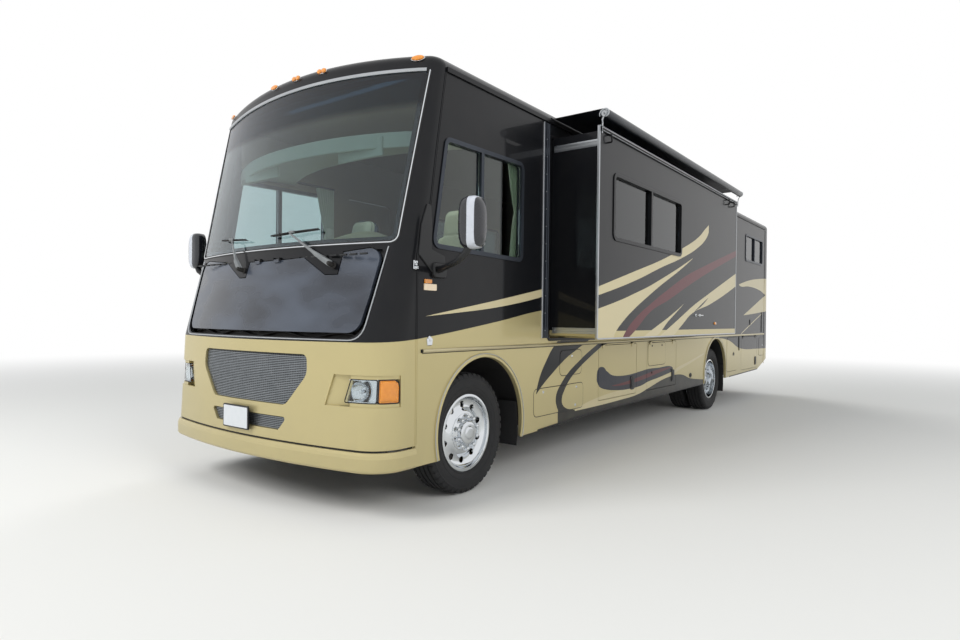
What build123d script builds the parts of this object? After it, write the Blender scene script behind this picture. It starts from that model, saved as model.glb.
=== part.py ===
"""A full-size motorhome with a side slide-out room: coach body, chassis, wheels, doors and hood.

Millimetres.  +X is the driver's side, -Y is the front and +Z is up.  The origin lies on the
ground under the middle of the coach, where it parks with its slide-out room extended.
"""

import os
from collections import namedtuple
from math import atan2, cos, degrees, pi, radians, sin, sqrt

from build123d import *

os.makedirs("parts", exist_ok=True)

# Driving sizes of the coach
BODY_HALF = 1290            # half the body's width
WHEELBASE = 6150
FRONT_AXLE_Y = -4190        # the front axle, ahead of the origin
REAR_AXLE_Y = FRONT_AXLE_Y + WHEELBASE
FLOOR_BOTTOM = 1130
FLOOR_TOP = 1190
WALL_T = 45                 # side walls
SKIRT_T = 30                # lower side panels
CAP_T = 30                  # front and rear caps
CEILING_Z = 3135            # top of the side walls
ROOF_EDGE_Z = 3228
ROOF_CROWN_Z = 3296
ROOF_SHOULDER_R = 85
SMALLEST_SHOULDER_R = 15
SEAT = 0.3                  # gap between curved or loosely fitted pieces
MOVING_GAP = 6              # gap round a door or hood


def behind(distance):
    """Y of a place that lies so far behind the front axle."""
    return FRONT_AXLE_Y + distance


# Rows of the coach's ends: height, y of the face at the middle, bow and corner radius
EndRow = namedtuple("EndRow", "z y bow corner")
NOSE_ROWS = (
    EndRow(250, behind(-1190), 5300, 240),
    EndRow(1190, behind(-1145), 5300, 240),
    EndRow(1860, behind(-985), 4350, 160),
    EndRow(3420, behind(-698), 3650, 130),
)
TAIL_ROWS = (
    EndRow(250, behind(9592), 14000, 150),
    EndRow(3420, behind(9525), 14000, 150),
)
TAIL_SEAM_Y = behind(9200)

# The front cap's slanted rear edge, from the ground up: y behind the axle and height
CAP_SEAM = ((-700, 0), (-700, 1792), (-568, 2167), (-509, 2563), (-417, CEILING_Z))


def block(x, y, z, mode=Mode.ADD):
    """A box between pairs of limits."""
    with Locations(((x[0] + x[1]) / 2, (y[0] + y[1]) / 2, (z[0] + z[1]) / 2)):
        Box(abs(x[1] - x[0]), abs(y[1] - y[0]), abs(z[1] - z[0]), mode=mode)


def rod(start, end, radius, mode=Mode.ADD):
    """A round bar from one point to another."""
    way = Vector(*end) - Vector(*start)
    with BuildSketch(Plane(origin=start, z_dir=way.normalized())) as section:
        Circle(radius)
    extrude(section.sketch, amount=way.length, mode=mode)


def outline(plane, points, radius=0):
    """A closed outline of straight sides, its corners rounded to one radius."""
    with BuildSketch(plane) as area:
        with BuildLine():
            Polyline(*points, close=True)
        make_face()
        if radius:
            fillet(area.vertices(), radius)
    return area.sketch


def side_plane(x):
    """Side elevation: its first direction is +Y and its second +Z."""
    return Plane.YZ.offset(x)


def front_plane(y):
    """Front elevation: its first direction is +X and its second +Z; it looks along -Y."""
    return Plane.XZ.offset(-y)


def roof_profile(y, inset, shoulder):
    """The coach's section above the floor, crowned at the top."""
    half = BODY_HALF - inset
    edge = ROOF_EDGE_Z - inset
    with BuildSketch(front_plane(y)) as area:
        with BuildLine():
            Line((half, 0), (half, edge))
            ThreePointArc((half, edge), (0, ROOF_CROWN_Z - inset), (-half, edge))
            Line((-half, edge), (-half, 0))
            Line((-half, 0), (half, 0))
        make_face()
        if shoulder:
            fillet(area.vertices().group_by(Axis.Z)[-1], shoulder - inset)
    return area.sketch


def end_loft(rows, insets, inner_y, facing):
    """The rows of one end, each with its skin moved inwards by its inset, joined upwards."""
    with BuildPart() as end:
        for row, inset in zip(rows, insets):
            half = BODY_HALF - inset
            tip = row.y - facing * inset
            bow = row.bow - inset
            corner = row.corner - inset
            centre_y = tip - facing * bow
            corner_x = half - corner
            reach = bow - corner
            corner_y = centre_y + facing * sqrt(reach**2 - corner_x**2)
            out_x = corner_x / reach
            out_y = (corner_y - centre_y) / reach
            middle = Vector(1 + out_x, out_y).normalized() * corner + Vector(corner_x, corner_y)
            touch = (bow * out_x, centre_y + bow * out_y)
            with BuildSketch(Plane.XY.offset(row.z)):
                with BuildLine():
                    Line((half, inner_y), (half, corner_y))
                    ThreePointArc((half, corner_y), (middle.X, middle.Y), touch)
                    ThreePointArc(touch, (0, tip), (-touch[0], touch[1]))
                    ThreePointArc((-touch[0], touch[1]), (-middle.X, middle.Y), (-half, corner_y))
                    Line((-half, corner_y), (-half, inner_y))
                    Line((-half, inner_y), (half, inner_y))
                make_face()
        loft(ruled=True)
    return end.part


def end_solid(rows, inset, inner_y, facing):
    """One end of the coach as a solid, its skin moved inwards by the inset."""
    with BuildPart() as end:
        add(end_loft(rows, [inset] * len(rows), inner_y, facing))
        length = abs(rows[0].y - inner_y) + BODY_HALF
        extrude(roof_profile(inner_y, inset, 0), amount=length, both=True, mode=Mode.INTERSECT)
        top = end.faces().sort_by(Axis.Z)[-1]
        rim = top.edges().filter_by(
            lambda edge: abs(edge.center().Y - inner_y) > 1
        )
        fillet(rim, max(ROOF_SHOULDER_R - inset, SMALLEST_SHOULDER_R))
    return end.part


def nose(inset):
    return end_solid(NOSE_ROWS, inset, behind(200), -1)


def tail(inset):
    return end_solid(TAIL_ROWS, inset, behind(9000), 1)


def skin(whole, outer, inner):
    """A layer of one end between two insets."""
    with BuildPart() as layer:
        add(whole(outer))
        add(whole(inner), mode=Mode.SUBTRACT)
    return layer.part


def across(sketch):
    """A front-elevation outline carried through the whole nose."""
    return extrude(sketch, amount=behind(200) - behind(-1400), mode=Mode.PRIVATE)


NOSE_CUT_Y = behind(200)

# Openings of the front cap, in front elevation
GLASS_CORNER_R = 60
GLASS_FOOT = (1205, 1872)
GLASS_TOP = (1245, 3108)
GLASS_TOP_MIDDLE_Z = 3155   # the glass is bowed up under the brow
with BuildSketch(front_plane(NOSE_CUT_Y)) as windshield_shape:
    with BuildLine():
        ThreePointArc((-GLASS_TOP[0], GLASS_TOP[1]), (0, GLASS_TOP_MIDDLE_Z), GLASS_TOP)
        Polyline(GLASS_TOP, GLASS_FOOT, (-GLASS_FOOT[0], GLASS_FOOT[1]),
                 (-GLASS_TOP[0], GLASS_TOP[1]))
    make_face()
    fillet(windshield_shape.vertices(), GLASS_CORNER_R)

HOOD_TOP_SIDE = (1108, 1848)
HOOD_TOP_MIDDLE_Z = 1778
HOOD_WAIST = (1082, 1500)
HOOD_FOOT = (1048, 1253)
HOOD_CORNER_R = 95
HOOD_T = 25

with BuildSketch(front_plane(NOSE_CUT_Y)) as hood_outline:
    with BuildLine():
        ThreePointArc((-HOOD_TOP_SIDE[0], HOOD_TOP_SIDE[1]), (0, HOOD_TOP_MIDDLE_Z), HOOD_TOP_SIDE)
        Polyline(
            HOOD_TOP_SIDE, HOOD_WAIST, HOOD_FOOT,
            (-HOOD_FOOT[0], HOOD_FOOT[1]), (-HOOD_WAIST[0], HOOD_WAIST[1]),
            (-HOOD_TOP_SIDE[0], HOOD_TOP_SIDE[1]),
        )
    make_face()
    fillet(hood_outline.vertices().group_by(Axis.Z)[0], HOOD_CORNER_R)

# Notches in the hood's top edge, where the wipers stand: four corners each
WIPER_NOTCHES = (
    ((-612, 1810), (-317, 1657), (-222, 1657), (-205, 1810)),
    ((375, 1820), (671, 1654), (788, 1654), (800, 1840)),
)
with BuildSketch(front_plane(NOSE_CUT_Y)) as hood_shape:
    add(hood_outline.sketch)
    for notch in WIPER_NOTCHES:
        add(outline(front_plane(NOSE_CUT_Y), notch), mode=Mode.SUBTRACT)
# A wide open gap runs down the hood's sides and along its foot
HOOD_SIDE_GAP = 38
SIDE_GAP_ZONE = (
    (-1300, 1000), (1300, 1000), (1300, 1825), (1065, 1825), (1065, 1500), (-1065, 1500),
    (-1065, 1825), (-1300, 1825),
)
with BuildSketch(front_plane(NOSE_CUT_Y)) as hood_gap:
    add(offset(hood_outline.sketch, amount=HOOD_SIDE_GAP, mode=Mode.PRIVATE))
    add(outline(front_plane(NOSE_CUT_Y), SIDE_GAP_ZONE), mode=Mode.INTERSECT)
with BuildSketch(front_plane(NOSE_CUT_Y)) as hood_opening:
    add(offset(hood_shape.sketch, amount=MOVING_GAP, kind=Kind.INTERSECTION, mode=Mode.PRIVATE))
    add(hood_gap.sketch)

GRILLE_SHAPE = ((-652, 960), (-452, 733), (452, 733), (652, 960), (640, 1098), (-640, 1098))
LOWER_GRILLE_SHAPE = ((-392, 553), (392, 553), (476, 649), (-476, 649))
LAMP_SHAPE = ((823, 764), (BODY_HALF + 50, 764), (BODY_HALF + 50, 975), (889, 975))
LENS_SHAPE = ((972, 788), (BODY_HALF + 50, 788), (BODY_HALF + 50, 950), (1021, 950))
LAMP_END_Y = behind(-845)   # where the lamps end on the side
GRILLE_CORNER_R = 45
GRILLE_FOOT_R = 90
GRILLE_KNEE_R = 110
LOWER_GRILLE_CORNER_R = 18
with BuildSketch(front_plane(NOSE_CUT_Y)) as grille_opening:
    with BuildLine():
        Polyline(*GRILLE_SHAPE, close=True)
    make_face()
    # corners by height, which is the sketch's second direction: knee, foot and top
    fillet(grille_opening.vertices().group_by(Axis.Y)[1], GRILLE_KNEE_R)
    fillet(grille_opening.vertices().group_by(Axis.Y)[0], GRILLE_FOOT_R)
    fillet(grille_opening.vertices().group_by(Axis.Y)[-1], GRILLE_CORNER_R)
grille_shape = grille_opening.sketch
lower_grille_shape = outline(front_plane(NOSE_CUT_Y), LOWER_GRILLE_SHAPE, LOWER_GRILLE_CORNER_R)
lamp_shape = outline(front_plane(NOSE_CUT_Y), LAMP_SHAPE)
lens_shape = outline(front_plane(NOSE_CUT_Y), LENS_SHAPE)


def lamp_cut(shape, gap):
    """The space of the lamps at one corner."""
    with BuildPart() as space:
        add(across(offset(shape, amount=-gap, mode=Mode.PRIVATE) if gap else shape))
        block((0, 1400), (behind(-1400), LAMP_END_Y - gap), (0, 1200), mode=Mode.INTERSECT)
    return space.part


# The bezel round each lamp: a ledge above and below, and a slope down to the lens from the middle
BEZEL_INSET = 10
BEZEL_T = 48
# Plan view of the slope: x and y behind the axle at its shallow and its deep end
BEZEL_SLOPE = ((800, -1097), (1022, -1012))
with BuildPart() as bezel:
    add(skin(nose, BEZEL_INSET, BEZEL_INSET + BEZEL_T))
    add(lamp_cut(lamp_shape, 0), mode=Mode.INTERSECT)
    add(across(lens_shape), mode=Mode.SUBTRACT)
    slope_points = [(x, behind(y)) for x, y in BEZEL_SLOPE]
    slope_points += [(x, behind(-1400)) for x, y in reversed(BEZEL_SLOPE)]
    extrude(outline(Plane.XY.offset(700), slope_points), amount=400, mode=Mode.SUBTRACT)


BUMPER_TOP = 470
CAP_BOTTOM = BUMPER_TOP + 14


def behind_seam(gap):
    """Everything behind the front cap's rear edge, as one wide block."""
    points = [(behind(y) + gap, z) for y, z in CAP_SEAM]
    points.append((behind(-417) + gap, ROOF_CROWN_Z + 100))
    points.append((behind(500), ROOF_CROWN_Z + 100))
    points.append((behind(500), 0))
    return extrude(
        outline(side_plane(0), points), amount=BODY_HALF + 100, both=True, mode=Mode.PRIVATE
    )


# The hood's two hinges stand on the cowl, between the wiper notches
HOOD_PIN_Y = behind(-1012)
HOOD_PIN_Z = 1782
HOOD_PIN_R = 2.5
HOOD_HINGES = (-90, 150)
HOOD_KNUCKLE_HALF = 30

with BuildPart() as front_cap:
    add(skin(nose, 0, CAP_T))
    add(behind_seam(0), mode=Mode.SUBTRACT)
    block((-1500, 1500), (behind(-1400), behind(500)), (0, CAP_BOTTOM), mode=Mode.SUBTRACT)
    for shape in (windshield_shape.sketch, hood_opening.sketch, grille_shape, lower_grille_shape):
        add(across(shape), mode=Mode.SUBTRACT)
    lamp_hole = lamp_cut(lamp_shape, 0)
    add(lamp_hole, mode=Mode.SUBTRACT)
    add(mirror(lamp_hole, about=Plane.YZ, mode=Mode.PRIVATE), mode=Mode.SUBTRACT)
    add(bezel.part)
    add(mirror(bezel.part, about=Plane.YZ, mode=Mode.PRIVATE))
    for x in HOOD_HINGES:
        rod((x - HOOD_KNUCKLE_HALF - 12, HOOD_PIN_Y, HOOD_PIN_Z),
            (x + HOOD_KNUCKLE_HALF + 12, HOOD_PIN_Y, HOOD_PIN_Z), HOOD_PIN_R)
        for end in (-1, 1):
            inner_end = x + end * (HOOD_KNUCKLE_HALF + 2)
            ear = (inner_end, inner_end + end * 10)
            block(ear, (HOOD_PIN_Y - 5, HOOD_PIN_Y + 5), (HOOD_PIN_Z - 5, HOOD_PIN_Z + 18))
            block(ear, (HOOD_PIN_Y, HOOD_PIN_Y + 30), (HOOD_PIN_Z + 7, HOOD_PIN_Z + 18))


GLASS_T = 8
with BuildPart() as windshield:
    add(skin(nose, 5, 5 + GLASS_T))
    pane = offset(windshield_shape.sketch, amount=-SEAT, mode=Mode.PRIVATE)
    add(across(pane), mode=Mode.INTERSECT)

with BuildPart() as hood:
    add(skin(nose, 2, 2 + HOOD_T))
    add(across(hood_shape.sketch), mode=Mode.INTERSECT)
    for x in HOOD_HINGES:
        span = (x - HOOD_KNUCKLE_HALF, x + HOOD_KNUCKLE_HALF)
        block(span, (HOOD_PIN_Y - 3, HOOD_PIN_Y + 14), (HOOD_PIN_Z - 18, HOOD_PIN_Z - 5))
        block(span, (HOOD_PIN_Y - 3, HOOD_PIN_Y + 3), (HOOD_PIN_Z - 10, HOOD_PIN_Z))
        rod((span[0], HOOD_PIN_Y, HOOD_PIN_Z), (span[1], HOOD_PIN_Y, HOOD_PIN_Z), 5)
        rod((span[0], HOOD_PIN_Y, HOOD_PIN_Z), (span[1], HOOD_PIN_Y, HOOD_PIN_Z),
            HOOD_PIN_R + SEAT, mode=Mode.SUBTRACT)

# The grilles sit at the back of their openings, in the thickness of the cap
GRILLE_T = 6
GRILLE_INSET = CAP_T - GRILLE_T
GRILLE_SLOT_H = 15
GRILLE_MARGIN = 34          # solid edge at the slots' outer ends
# Slots across the nose, as shares of the reach from the middle
GRILLE_COLUMNS = ((-1, -0.36), (-0.33, 0.33), (0.36, 1))
# Slot rows: the lowest one's foot, how many, their pitch, and the opening's foot and half widths
SlotRows = namedtuple("SlotRows", "low count pitch foot foot_half top top_half")
GRILLE_SLOTS = (
    SlotRows(756, 13, 25.5, 733, 452, 960, 640), SlotRows(566, 3, 24, 553, 392, 649, 476),
)
with BuildPart() as grilles:
    for shape in (grille_shape, lower_grille_shape):
        piece = offset(shape, amount=-SEAT, mode=Mode.PRIVATE)
        panel = skin(nose, GRILLE_INSET, GRILLE_INSET + GRILLE_T)
        add(panel.intersect(across(piece)))
    for rows in GRILLE_SLOTS:
        for row in range(rows.count):
            low = rows.low + row * rows.pitch
            rise = min((low - rows.foot) / (rows.top - rows.foot), 1)
            reach = rows.foot_half + rise * (rows.top_half - rows.foot_half) - GRILLE_MARGIN
            for start, end in GRILLE_COLUMNS:
                block((start * reach, end * reach), (behind(-1300), behind(-900)),
                      (low, low + GRILLE_SLOT_H), mode=Mode.SUBTRACT)

LAMP_INSET = 16
LAMP_T = 70
AMBER_X = (1196, 1300)
with BuildPart() as headlamps:
    add(skin(nose, LAMP_INSET, LAMP_T))
    add(lamp_cut(lens_shape, SEAT), mode=Mode.INTERSECT)
    block((AMBER_X[0], AMBER_X[1]), (behind(-1400), behind(0)), (0, 2000), mode=Mode.SUBTRACT)
    mirror(about=Plane.YZ)

# Roof lamps: x and z of each one's middle on the brow
ROOF_MARKERS = ((-1150, 3203), (-300, 3252), (0, 3258), (300, 3252), (1150, 3203))
with BuildPart() as amber_lamps:
    add(skin(nose, 6, LAMP_T))
    add(lamp_cut(lens_shape, SEAT), mode=Mode.INTERSECT)
    inner = AMBER_X[0] + SEAT
    block((-inner, inner), (behind(-1400), behind(0)), (0, 2000), mode=Mode.SUBTRACT)
    mirror(about=Plane.YZ)
    with BuildPart(mode=Mode.PRIVATE) as markers:
        add(skin(nose, -18, -SEAT))
        with BuildPart(mode=Mode.PRIVATE) as spots:
            for x, z in ROOF_MARKERS:
                block((x - 55, x + 55), (behind(-1000), behind(-400)), (z - 18, z + 18))
        add(spots.part, mode=Mode.INTERSECT)
    add(markers.part)

# Bumper: how far it stands proud of the nose at each height, with a crease near its top
BumperRow = namedtuple("BumperRow", "z proud")
BUMPER_ROWS = (
    BumperRow(338, 8), BumperRow(352, 18), BumperRow(432, 22), BumperRow(452, 17),
    BumperRow(BUMPER_TOP, 6),
)
BUMPER_BACK_Y = behind(-705)
BUMPER_INSET = 10


def nose_row(z):
    """The nose's own section at a height between its two lowest rows."""
    low, high = NOSE_ROWS[:2]
    share = (z - low.z) / (high.z - low.z)
    return EndRow(z, low.y + share * (high.y - low.y), low.bow, low.corner)


with BuildPart() as front_bumper:
    add(end_loft([nose_row(row.z) for row in BUMPER_ROWS], [-row.proud for row in BUMPER_ROWS],
                 BUMPER_BACK_Y, -1))
    add(nose(BUMPER_INSET), mode=Mode.SUBTRACT)

# Side walls, above the floor line.  Windows and openings: y behind the axle, then z
DRIVER_WINDOW = ((-555, 1853), (621, 1837), (627, 2679), (-417, 2663))
REAR_WINDOW = ((7780, 2420), (9010, 2420), (9010, 2900), (7780, 2900))
GALLEY_WINDOW = ((2400, 2100), (3900, 2100), (3900, 2680), (2400, 2680))
BED_WINDOW = ((6500, 2420), (7600, 2420), (7600, 2900), (6500, 2900))
LEFT_WINDOWS = (DRIVER_WINDOW, REAR_WINDOW)
RIGHT_WINDOWS = (DRIVER_WINDOW, GALLEY_WINDOW, BED_WINDOW, REAR_WINDOW)
WINDOW_R = 70
FRAME_W = 34                # face width of a window frame
FRAME_PROUD = 9

# The slide-out room, on the driver's side
SLIDE_Y = (behind(1085), behind(5300))
SLIDE_Z = (1215, 2985)
SLIDE_GAP = 12              # clearance in the wall's opening
SLIDE_OUT_X = 1780          # outer face when extended
SLIDE_IN_X = 1225           # inner edge when extended
SLIDE_TRAVEL = 450
SLIDE_WALL_T = 40
SLIDE_FLANGE = 38           # the fascia's reach past the room, all round
SLIDE_FLANGE_T = 18

# The entry door, on the other side
DOOR_Y = (behind(905), behind(1600))
DOOR_Z = (560, 2690)
DOOR_CORNER_R = 70
DOOR_T = 38

# Wheel arches in the side panels: centre behind the axle, centre height, radius
ArchRow = namedtuple("ArchRow", "y z r")
ARCHES = (ArchRow(80, 509, 550), ArchRow(6130, 552, 540))

# The side panels' lower edge: y behind the front axle and height
SKIRT_FOOT = ((-700, 338), (-468, 338), (900, 372), (1900, 412), (5400, 438), (8730, 479), (9200, 598))

# Luggage doors: side, y behind the axle from and to
BayRow = namedtuple("BayRow", "name side start end")
BAYS = (
    BayRow("bay_door_left_1", 1, 2090, 3080),
    BayRow("bay_door_left_2", 1, 3390, 4390),
    BayRow("bay_door_left_3", 1, 7600, 8690),
    BayRow("bay_door_right_1", -1, 2090, 3080),
    BayRow("bay_door_right_2", -1, 3390, 4390),
    BayRow("bay_door_right_3", -1, 7600, 8690),
)
BAY_Z = (520, 1098)
BAY_DOOR_T = 26
BAY_R = 30
BAY_BACK_X = 520
BAY_WALL_T = 15
PIN_R = 4
KNUCKLE_R = 8
PIN_X = BODY_HALF + 9
PIN_RISE = 9                # the hinge pin's height over the opening
KNUCKLE_LENGTH = 60
KNUCKLE_INSET = 120


def side_points(points):
    return [(behind(y), z) for y, z in points]


def through_wall(side, shape):
    """A side-elevation outline carried through one side wall."""
    start = BODY_HALF - 100 if side > 0 else -BODY_HALF - 60
    return extrude(shape(start), amount=160, mode=Mode.PRIVATE)


def window_hole(points, growth=0):
    """The outline of a window, to be placed at any x."""
    def at(x):
        shape = outline(side_plane(x), side_points(points), WINDOW_R)
        return offset(shape, amount=growth, mode=Mode.PRIVATE) if growth else shape
    return at


def rectangle_hole(y, z, radius=0):
    def at(x):
        return outline(
            side_plane(x), ((y[0], z[0]), (y[1], z[0]), (y[1], z[1]), (y[0], z[1])), radius
        )
    return at


def side_wall(side, windows):
    start = BODY_HALF - WALL_T if side > 0 else -BODY_HALF
    points = [(behind(-700), FLOOR_BOTTOM)]
    points += [(behind(y), z) for y, z in CAP_SEAM[1:]]
    points += [(TAIL_SEAM_Y, CEILING_Z), (TAIL_SEAM_Y, FLOOR_BOTTOM)]
    with BuildPart() as wall:
        extrude(outline(side_plane(start), points), amount=WALL_T)
        for window in windows:
            add(through_wall(side, window_hole(window)), mode=Mode.SUBTRACT)
    return wall.part


slide_hole = rectangle_hole(
    (SLIDE_Y[0] - SLIDE_GAP, SLIDE_Y[1] + SLIDE_GAP), (FLOOR_TOP, SLIDE_Z[1] + SLIDE_GAP), 12
)
door_hole = rectangle_hole(DOOR_Y, DOOR_Z, DOOR_CORNER_R)

with BuildPart() as wall_left:
    add(side_wall(1, LEFT_WINDOWS))
    add(through_wall(1, slide_hole), mode=Mode.SUBTRACT)

with BuildPart() as wall_right:
    add(side_wall(-1, RIGHT_WINDOWS))
    add(through_wall(-1, door_hole), mode=Mode.SUBTRACT)

with BuildPart() as roof:
    extrude(roof_profile(behind(-417), 0, ROOF_SHOULDER_R), amount=-(TAIL_SEAM_Y - behind(-417)))
    block((-1500, 1500), (behind(-800), behind(9800)), (0, CEILING_Z), mode=Mode.SUBTRACT)

with BuildPart() as rear_cap:
    add(skin(tail, 0, CAP_T))
    block((-1500, 1500), (behind(8900), TAIL_SEAM_Y), (0, 3500), mode=Mode.SUBTRACT)
    extrude(
        outline(side_plane(0), side_points(((9200, 0), (9200, 598), (9800, 757), (9800, 0)))),
        amount=1500, both=True, mode=Mode.SUBTRACT,
    )

# The floor fits inside the walls and both caps
with BuildPart() as coach_floor:
    with BuildPart(mode=Mode.PRIVATE) as floor_front:
        add(nose(CAP_T + SEAT))
        block((-1500, 1500), (behind(-1400), behind(-700)), (FLOOR_BOTTOM, FLOOR_TOP),
              mode=Mode.INTERSECT)
    with BuildPart(mode=Mode.PRIVATE) as floor_rear:
        add(tail(CAP_T + SEAT))
        block((-1500, 1500), (TAIL_SEAM_Y, behind(9800)), (FLOOR_BOTTOM, FLOOR_TOP),
              mode=Mode.INTERSECT)
    inside = BODY_HALF - WALL_T
    block((-inside, inside), (behind(-700), TAIL_SEAM_Y), (FLOOR_BOTTOM, FLOOR_TOP))
    add(floor_front.part)
    add(floor_rear.part)
    # the step well inside the entry door
    well_back = -BAY_BACK_X - BAY_WALL_T
    block((-inside, well_back), DOOR_Y, (FLOOR_BOTTOM, FLOOR_TOP), mode=Mode.SUBTRACT)
    well_low = DOOR_Z[0] - BAY_WALL_T
    block((-inside, -BAY_BACK_X), (DOOR_Y[0] - BAY_WALL_T, DOOR_Y[1] + BAY_WALL_T),
          (well_low, FLOOR_BOTTOM))
    block((-inside, well_back), DOOR_Y, (DOOR_Z[0], FLOOR_BOTTOM),
          mode=Mode.SUBTRACT)
    step_depth = (inside - BAY_BACK_X) / 3
    for step in range(1, 3):
        block((-inside + step * step_depth, -BAY_BACK_X), DOOR_Y,
              (DOOR_Z[0], DOOR_Z[0] + step * (FLOOR_TOP - DOOR_Z[0]) / 3))


def skirt(side):
    start = BODY_HALF - SKIRT_T if side > 0 else -BODY_HALF
    points = [(behind(-700), FLOOR_BOTTOM), *side_points(SKIRT_FOOT), (TAIL_SEAM_Y, FLOOR_BOTTOM)]
    with BuildPart() as panel:
        extrude(outline(side_plane(start), points), amount=SKIRT_T)
        for arch in ARCHES:
            with BuildSketch(side_plane(start)) as hole:
                with Locations((behind(arch.y), arch.z)):
                    Circle(arch.r)
                with Locations((behind(arch.y), arch.z - arch.r / 2)):
                    Rectangle(2 * arch.r, arch.r)
            extrude(hole.sketch, amount=SKIRT_T, mode=Mode.SUBTRACT)
        for bay in BAYS:
            if bay.side == side:
                bay_hole = rectangle_hole((behind(bay.start), behind(bay.end)), BAY_Z, BAY_R)
                add(through_wall(side, bay_hole), mode=Mode.SUBTRACT)
        # seams at both edges of each opening leave simple panels and strips
        edges = [(behind(bay.start), behind(bay.end)) for bay in BAYS if bay.side == side]
        if side < 0:
            add(through_wall(side, door_hole), mode=Mode.SUBTRACT)
            edges.append(DOOR_Y)
        for front, back in edges:
            for seam_y in (front - SEAT, back):
                block((start, start + SKIRT_T), (seam_y, seam_y + SEAT), (0, FLOOR_BOTTOM),
                      mode=Mode.SUBTRACT)
    return panel.part


with BuildPart() as skirt_left:
    add(skirt(1))
with BuildPart() as skirt_right:
    add(skirt(-1))

# Hinge pins of the luggage doors stand on the side panels, held by an ear at each end
EAR_T = 12
EAR_GAP = 4


def bay_pins(bay):
    face = bay.side * BODY_HALF
    axis = (bay.side * PIN_X, BAY_Z[1] + PIN_RISE)
    for middle in (bay.start + KNUCKLE_INSET, bay.end - KNUCKLE_INSET):
        half = KNUCKLE_LENGTH / 2 + EAR_GAP
        rod((axis[0], behind(middle) - half - EAR_T, axis[1]),
            (axis[0], behind(middle) + half + EAR_T, axis[1]), PIN_R)
        for end in (-1, 1):
            edge = behind(middle) + end * half
            block((face, axis[0] + bay.side * PIN_R), (edge, edge + end * EAR_T),
                  (axis[1] - PIN_R - 1, axis[1] + PIN_R + 1))

ENTRY_PIN_X = -(BODY_HALF + 9)
ENTRY_PIN_Y = DOOR_Y[0] - 9
ENTRY_KNUCKLES = (760, 1620, 2480)


def entry_pins():
    """The entry door's three hinge pins, each between two ears on the wall."""
    for z in ENTRY_KNUCKLES:
        half = KNUCKLE_LENGTH / 2 + EAR_GAP
        rod((ENTRY_PIN_X, ENTRY_PIN_Y, z - half - EAR_T), (ENTRY_PIN_X, ENTRY_PIN_Y, z + half + EAR_T),
            PIN_R)
        for end in (-1, 1):
            edge = z + end * half
            block((ENTRY_PIN_X - PIN_R, -BODY_HALF), (ENTRY_PIN_Y - PIN_R - 8, ENTRY_PIN_Y + PIN_R),
                  (edge, edge + end * EAR_T))


def bay_door(bay):
    """A flush luggage door with two hinge knuckles at its top and a latch at its foot."""
    face = bay.side * BODY_HALF
    start = BODY_HALF - BAY_DOOR_T if bay.side > 0 else -BODY_HALF
    y = (behind(bay.start) + MOVING_GAP, behind(bay.end) - MOVING_GAP)
    z = (BAY_Z[0] + MOVING_GAP, BAY_Z[1] - MOVING_GAP)
    axis = (bay.side * PIN_X, BAY_Z[1] + PIN_RISE)
    with BuildPart() as door:
        extrude(rectangle_hole(y, z, BAY_R - MOVING_GAP)(start), amount=BAY_DOOR_T)
        for middle in (bay.start + KNUCKLE_INSET, bay.end - KNUCKLE_INSET):
            half = KNUCKLE_LENGTH / 2
            span = (behind(middle) - half, behind(middle) + half)
            block((face, face + bay.side * 5), span, (z[1] - 30, axis[1]))
            rod((axis[0], span[0], axis[1]), (axis[0], span[1], axis[1]), KNUCKLE_R)
            rod((axis[0], span[0], axis[1]), (axis[0], span[1], axis[1]), PIN_R + SEAT,
                mode=Mode.SUBTRACT)
        # paddle latch
        block((face, face + bay.side * 6), (y[1] - 150, y[1] - 70), (z[0] + 60, z[0] + 190))
    return door


bay_doors = {bay.name: bay_door(bay) for bay in BAYS}

# Luggage trays hang from the floor behind the doors, open at the door
with BuildPart() as storage_bays:
    for bay in BAYS:
        x = (bay.side * BAY_BACK_X, bay.side * (BODY_HALF - SKIRT_T))
        y = (behind(bay.start), behind(bay.end))
        low = BAY_Z[0] - BAY_WALL_T
        block(x, (y[0] - BAY_WALL_T, y[1] + BAY_WALL_T), (low, FLOOR_BOTTOM))
        block((x[0] + bay.side * BAY_WALL_T, x[1]), y, (BAY_Z[0], FLOOR_BOTTOM),
              mode=Mode.SUBTRACT)

# Trim: the belt mouldings, gutters and the seal frame round the slide-out's opening
BELT_Z = (1118, 1142)
GUTTER_Z = (CEILING_Z - 12, CEILING_Z + 22)
SEAL_W = 26
SEAL_T = 8
with BuildPart() as side_trim:
    for side in (1, -1):
        face = side * BODY_HALF
        block((face, face + side * 14), (behind(-410), behind(9195)), GUTTER_Z)
        if side > 0:
            block((face, face + 6), (behind(-655), TAIL_SEAM_Y), BELT_Z)
        else:
            for y in ((behind(-655), DOOR_Y[0] - 10), (DOOR_Y[1] + 10, TAIL_SEAM_Y)):
                block((face, face - 6), y, BELT_Z)
    hole = slide_hole(BODY_HALF)
    seal = offset(hole, amount=SEAL_W, mode=Mode.PRIVATE)
    extrude(seal, amount=SEAL_T)
    extrude(hole, amount=SEAL_T, mode=Mode.SUBTRACT)
    for bay in BAYS:
        bay_pins(bay)
    entry_pins()

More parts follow.
